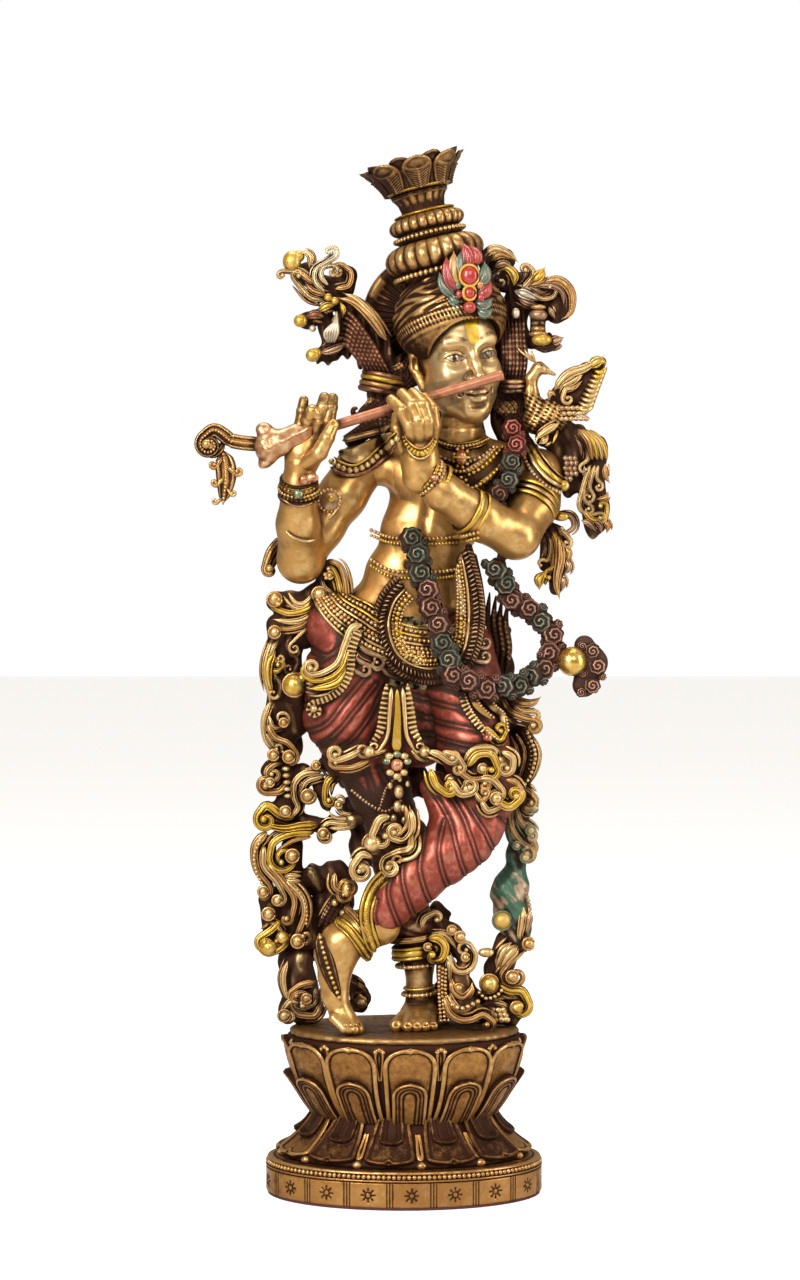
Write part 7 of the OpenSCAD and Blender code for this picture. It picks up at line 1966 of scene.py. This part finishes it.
slotOf = {part["node"]: part["material_slot"] for part in frame["record"]["subparts"]}
for name, store in pieces.items():
    verts, faces = store["verts"], store["faces"]
    a, b, c, d = (verts[faces[:, i]] for i in range(4))
    flat = np.cross(c - a, d - b)
    normals = np.zeros_like(verts)
    for i in range(4):
        np.add.at(normals, faces[:, i], flat)
    normals = unit(normals)
    near, far = crowd(verts, normals, 2.6), crowd(verts, normals, 5.0)
    recess = np.clip((near - 0.22) * 2.0, 0, 1) * 0.7 + np.clip((far - 0.18) * 1.4, 0, 1) * 0.35 + 0.55 * behind(verts,
                                            normals)
    # Concave spots get a higher cavity: patina in the hollows, with painted shade
    if store["sdf"].any():
        total, count = np.zeros_like(verts), np.zeros(len(verts))
        for i in range(4):
            np.add.at(total, faces[:, i], (a + b + c + d) / 4)
            np.add.at(count, faces[:, i], 1)
        bend = ((total / np.maximum(count, 1)[:, None] - verts) * normals).sum(1)
        for _ in range(2):
            pool = np.zeros(len(verts))
            mean = bend[faces].mean(1)
            for i in range(4):
                np.add.at(pool, faces[:, i], mean)
            bend = pool / np.maximum(count, 1)
        recess = recess + store["sdf"] * np.clip(bend * 14, -0.3, 1)
    if name.startswith(("lotus", "plinth", "deck", "bead_band")):
        recess = recess * 0.45
    store["cavity"] = np.clip(store["cavity"] + recess, 0, 1)
    mesh = bpy.data.meshes.new(name)
    mesh.vertices.add(len(verts))
    mesh.vertices.foreach_set("co", (verts / 1000).astype(np.float32).ravel())
    mesh.loops.add(faces.size)
    mesh.loops.foreach_set("vertex_index", faces.ravel().astype(np.int32))
    mesh.polygons.add(len(faces))
    mesh.polygons.foreach_set("loop_start", np.arange(0, faces.size, 4, dtype=np.int32))
    mesh.polygons.foreach_set("use_smooth", np.ones(len(faces), bool))
    mesh.update(calc_edges=True)
    mesh.attributes.new("cavity", "FLOAT", "POINT").data.foreach_set("value", store["cavity"].astype(np.float32))
    mesh.attributes.new("paint", "FLOAT_COLOR", "POINT").data.foreach_set("color", store["paint"].astype(np.float32).ravel())
    mesh.validate()
    obj = bpy.data.objects.new("piece_" + name, mesh)
    bpy.context.scene.collection.objects.link(obj)
    mesh.materials.append(finishes[slotOf[name]])
    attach(obj, "root")
    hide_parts(name)
for name, obj in frame["nodes"].items():
    obj.data.materials.clear()
    obj.data.materials.append(finishes[slotOf[name]])
print(f"{len(pieces)} pieces, {sum(len(s['verts']) for s in pieces.values())} points", flush=True)

# Floor, camera and lights

floorMaterial = bpy.data.materials.new("floor")
floorMaterial.use_nodes = True
base = floorMaterial.node_tree.nodes["Principled BSDF"]
base.inputs["Base Color"].default_value = (0.62, 0.62, 0.62, 1)
base.inputs["Roughness"].default_value = 0.7
base.inputs["Emission Color"].default_value = (1, 1, 1, 1)
path = floorMaterial.node_tree.nodes.new("ShaderNodeLightPath")
glow = Shader(floorMaterial.node_tree, path.outputs["Is Camera Ray"]) * 0.62
floorMaterial.node_tree.links.new(glow.socket, base.inputs["Emission Strength"])
bpy.ops.mesh.primitive_plane_add(size=8, location=(0, 1.6, 0))
floor = bpy.context.object
floor.name = "floor"
floor.data.materials.append(floorMaterial)

scene = bpy.context.scene
camera = bpy.data.objects.new("camera", bpy.data.cameras.new("camera"))
scene.collection.objects.link(camera)
view = {"place": (-0.0023, -1.8, 0.4), "drop": 0.076, "sensor": 36, "lens": 86.8}
camera.location = view["place"]
camera.rotation_euler = (math.pi / 2 - math.atan2(view["drop"], 1.8), 0, 0)
camera.data.sensor_width = view["sensor"]
camera.data.lens = view["lens"]
camera.data.clip_start = 0.05
scene.camera = camera
scene.render.resolution_x, scene.render.resolution_y = 640, 1024
scene.view_settings.view_transform = "Standard"


def area(name, place, aim, size, watts):
    light = bpy.data.objects.new(name, bpy.data.lights.new(name, "AREA"))
    light.data.shape = "RECTANGLE"
    light.data.size, light.data.size_y = size
    light.data.energy = watts
    light.location = place
    way = Vector(aim) - Vector(place)
    light.rotation_euler = way.to_track_quat("-Z", "Y").to_euler()
    scene.collection.objects.link(light)


lights = {
    "key": {"place": (-0.9, -1.5, 1.0), "aim": (0, 0, 0.33), "size": (0.6, 1.1), "watts": 32},
    "front": {"place": (0.35, -1.9, 1.3), "aim": (0, 0, 0.35), "size": (0.5, 0.4), "watts": 10},
    "rim": {"place": (1.3, -0.5, 0.6), "aim": (0, 0, 0.3), "size": (0.35, 1.2), "watts": 9},
    "top": {"place": (0, 0.2, 1.7), "aim": (0, 0, 0.3), "size": (1.0, 0.8), "watts": 12},
}
for name, light in lights.items():
    area(name, **light)
print("camera and lights set", flush=True)
world = bpy.data.worlds.new("world")
scene.world = world
world.use_nodes = True
tree = world.node_tree
tree.nodes.clear()
output = tree.nodes.new("ShaderNodeOutputWorld")
seen, lit = tree.nodes.new("ShaderNodeBackground"), tree.nodes.new("ShaderNodeBackground")
seen.inputs["Color"].default_value = (1, 1, 1, 1)
lit.inputs["Color"].default_value = (1, 0.93, 0.82, 1)
coord = tree.nodes.new("ShaderNodeTexCoord")
split = tree.nodes.new("ShaderNodeSeparateXYZ")
tree.links.new(coord.outputs["Generated"], split.inputs[0])
glow = Shader(tree, split.outputs["Z"]).ramp(-0.25, 0.7) * 0.45 + 0.08
tree.links.new(glow.socket, lit.inputs["Strength"])
path = tree.nodes.new("ShaderNodeLightPath")
blend = tree.nodes.new("ShaderNodeMixShader")
tree.links.new(path.outputs["Is Camera Ray"], blend.inputs[0])
tree.links.new(lit.outputs[0], blend.inputs[1])
tree.links.new(seen.outputs[0], blend.inputs[2])
tree.links.new(blend.outputs[0], output.inputs["Surface"])
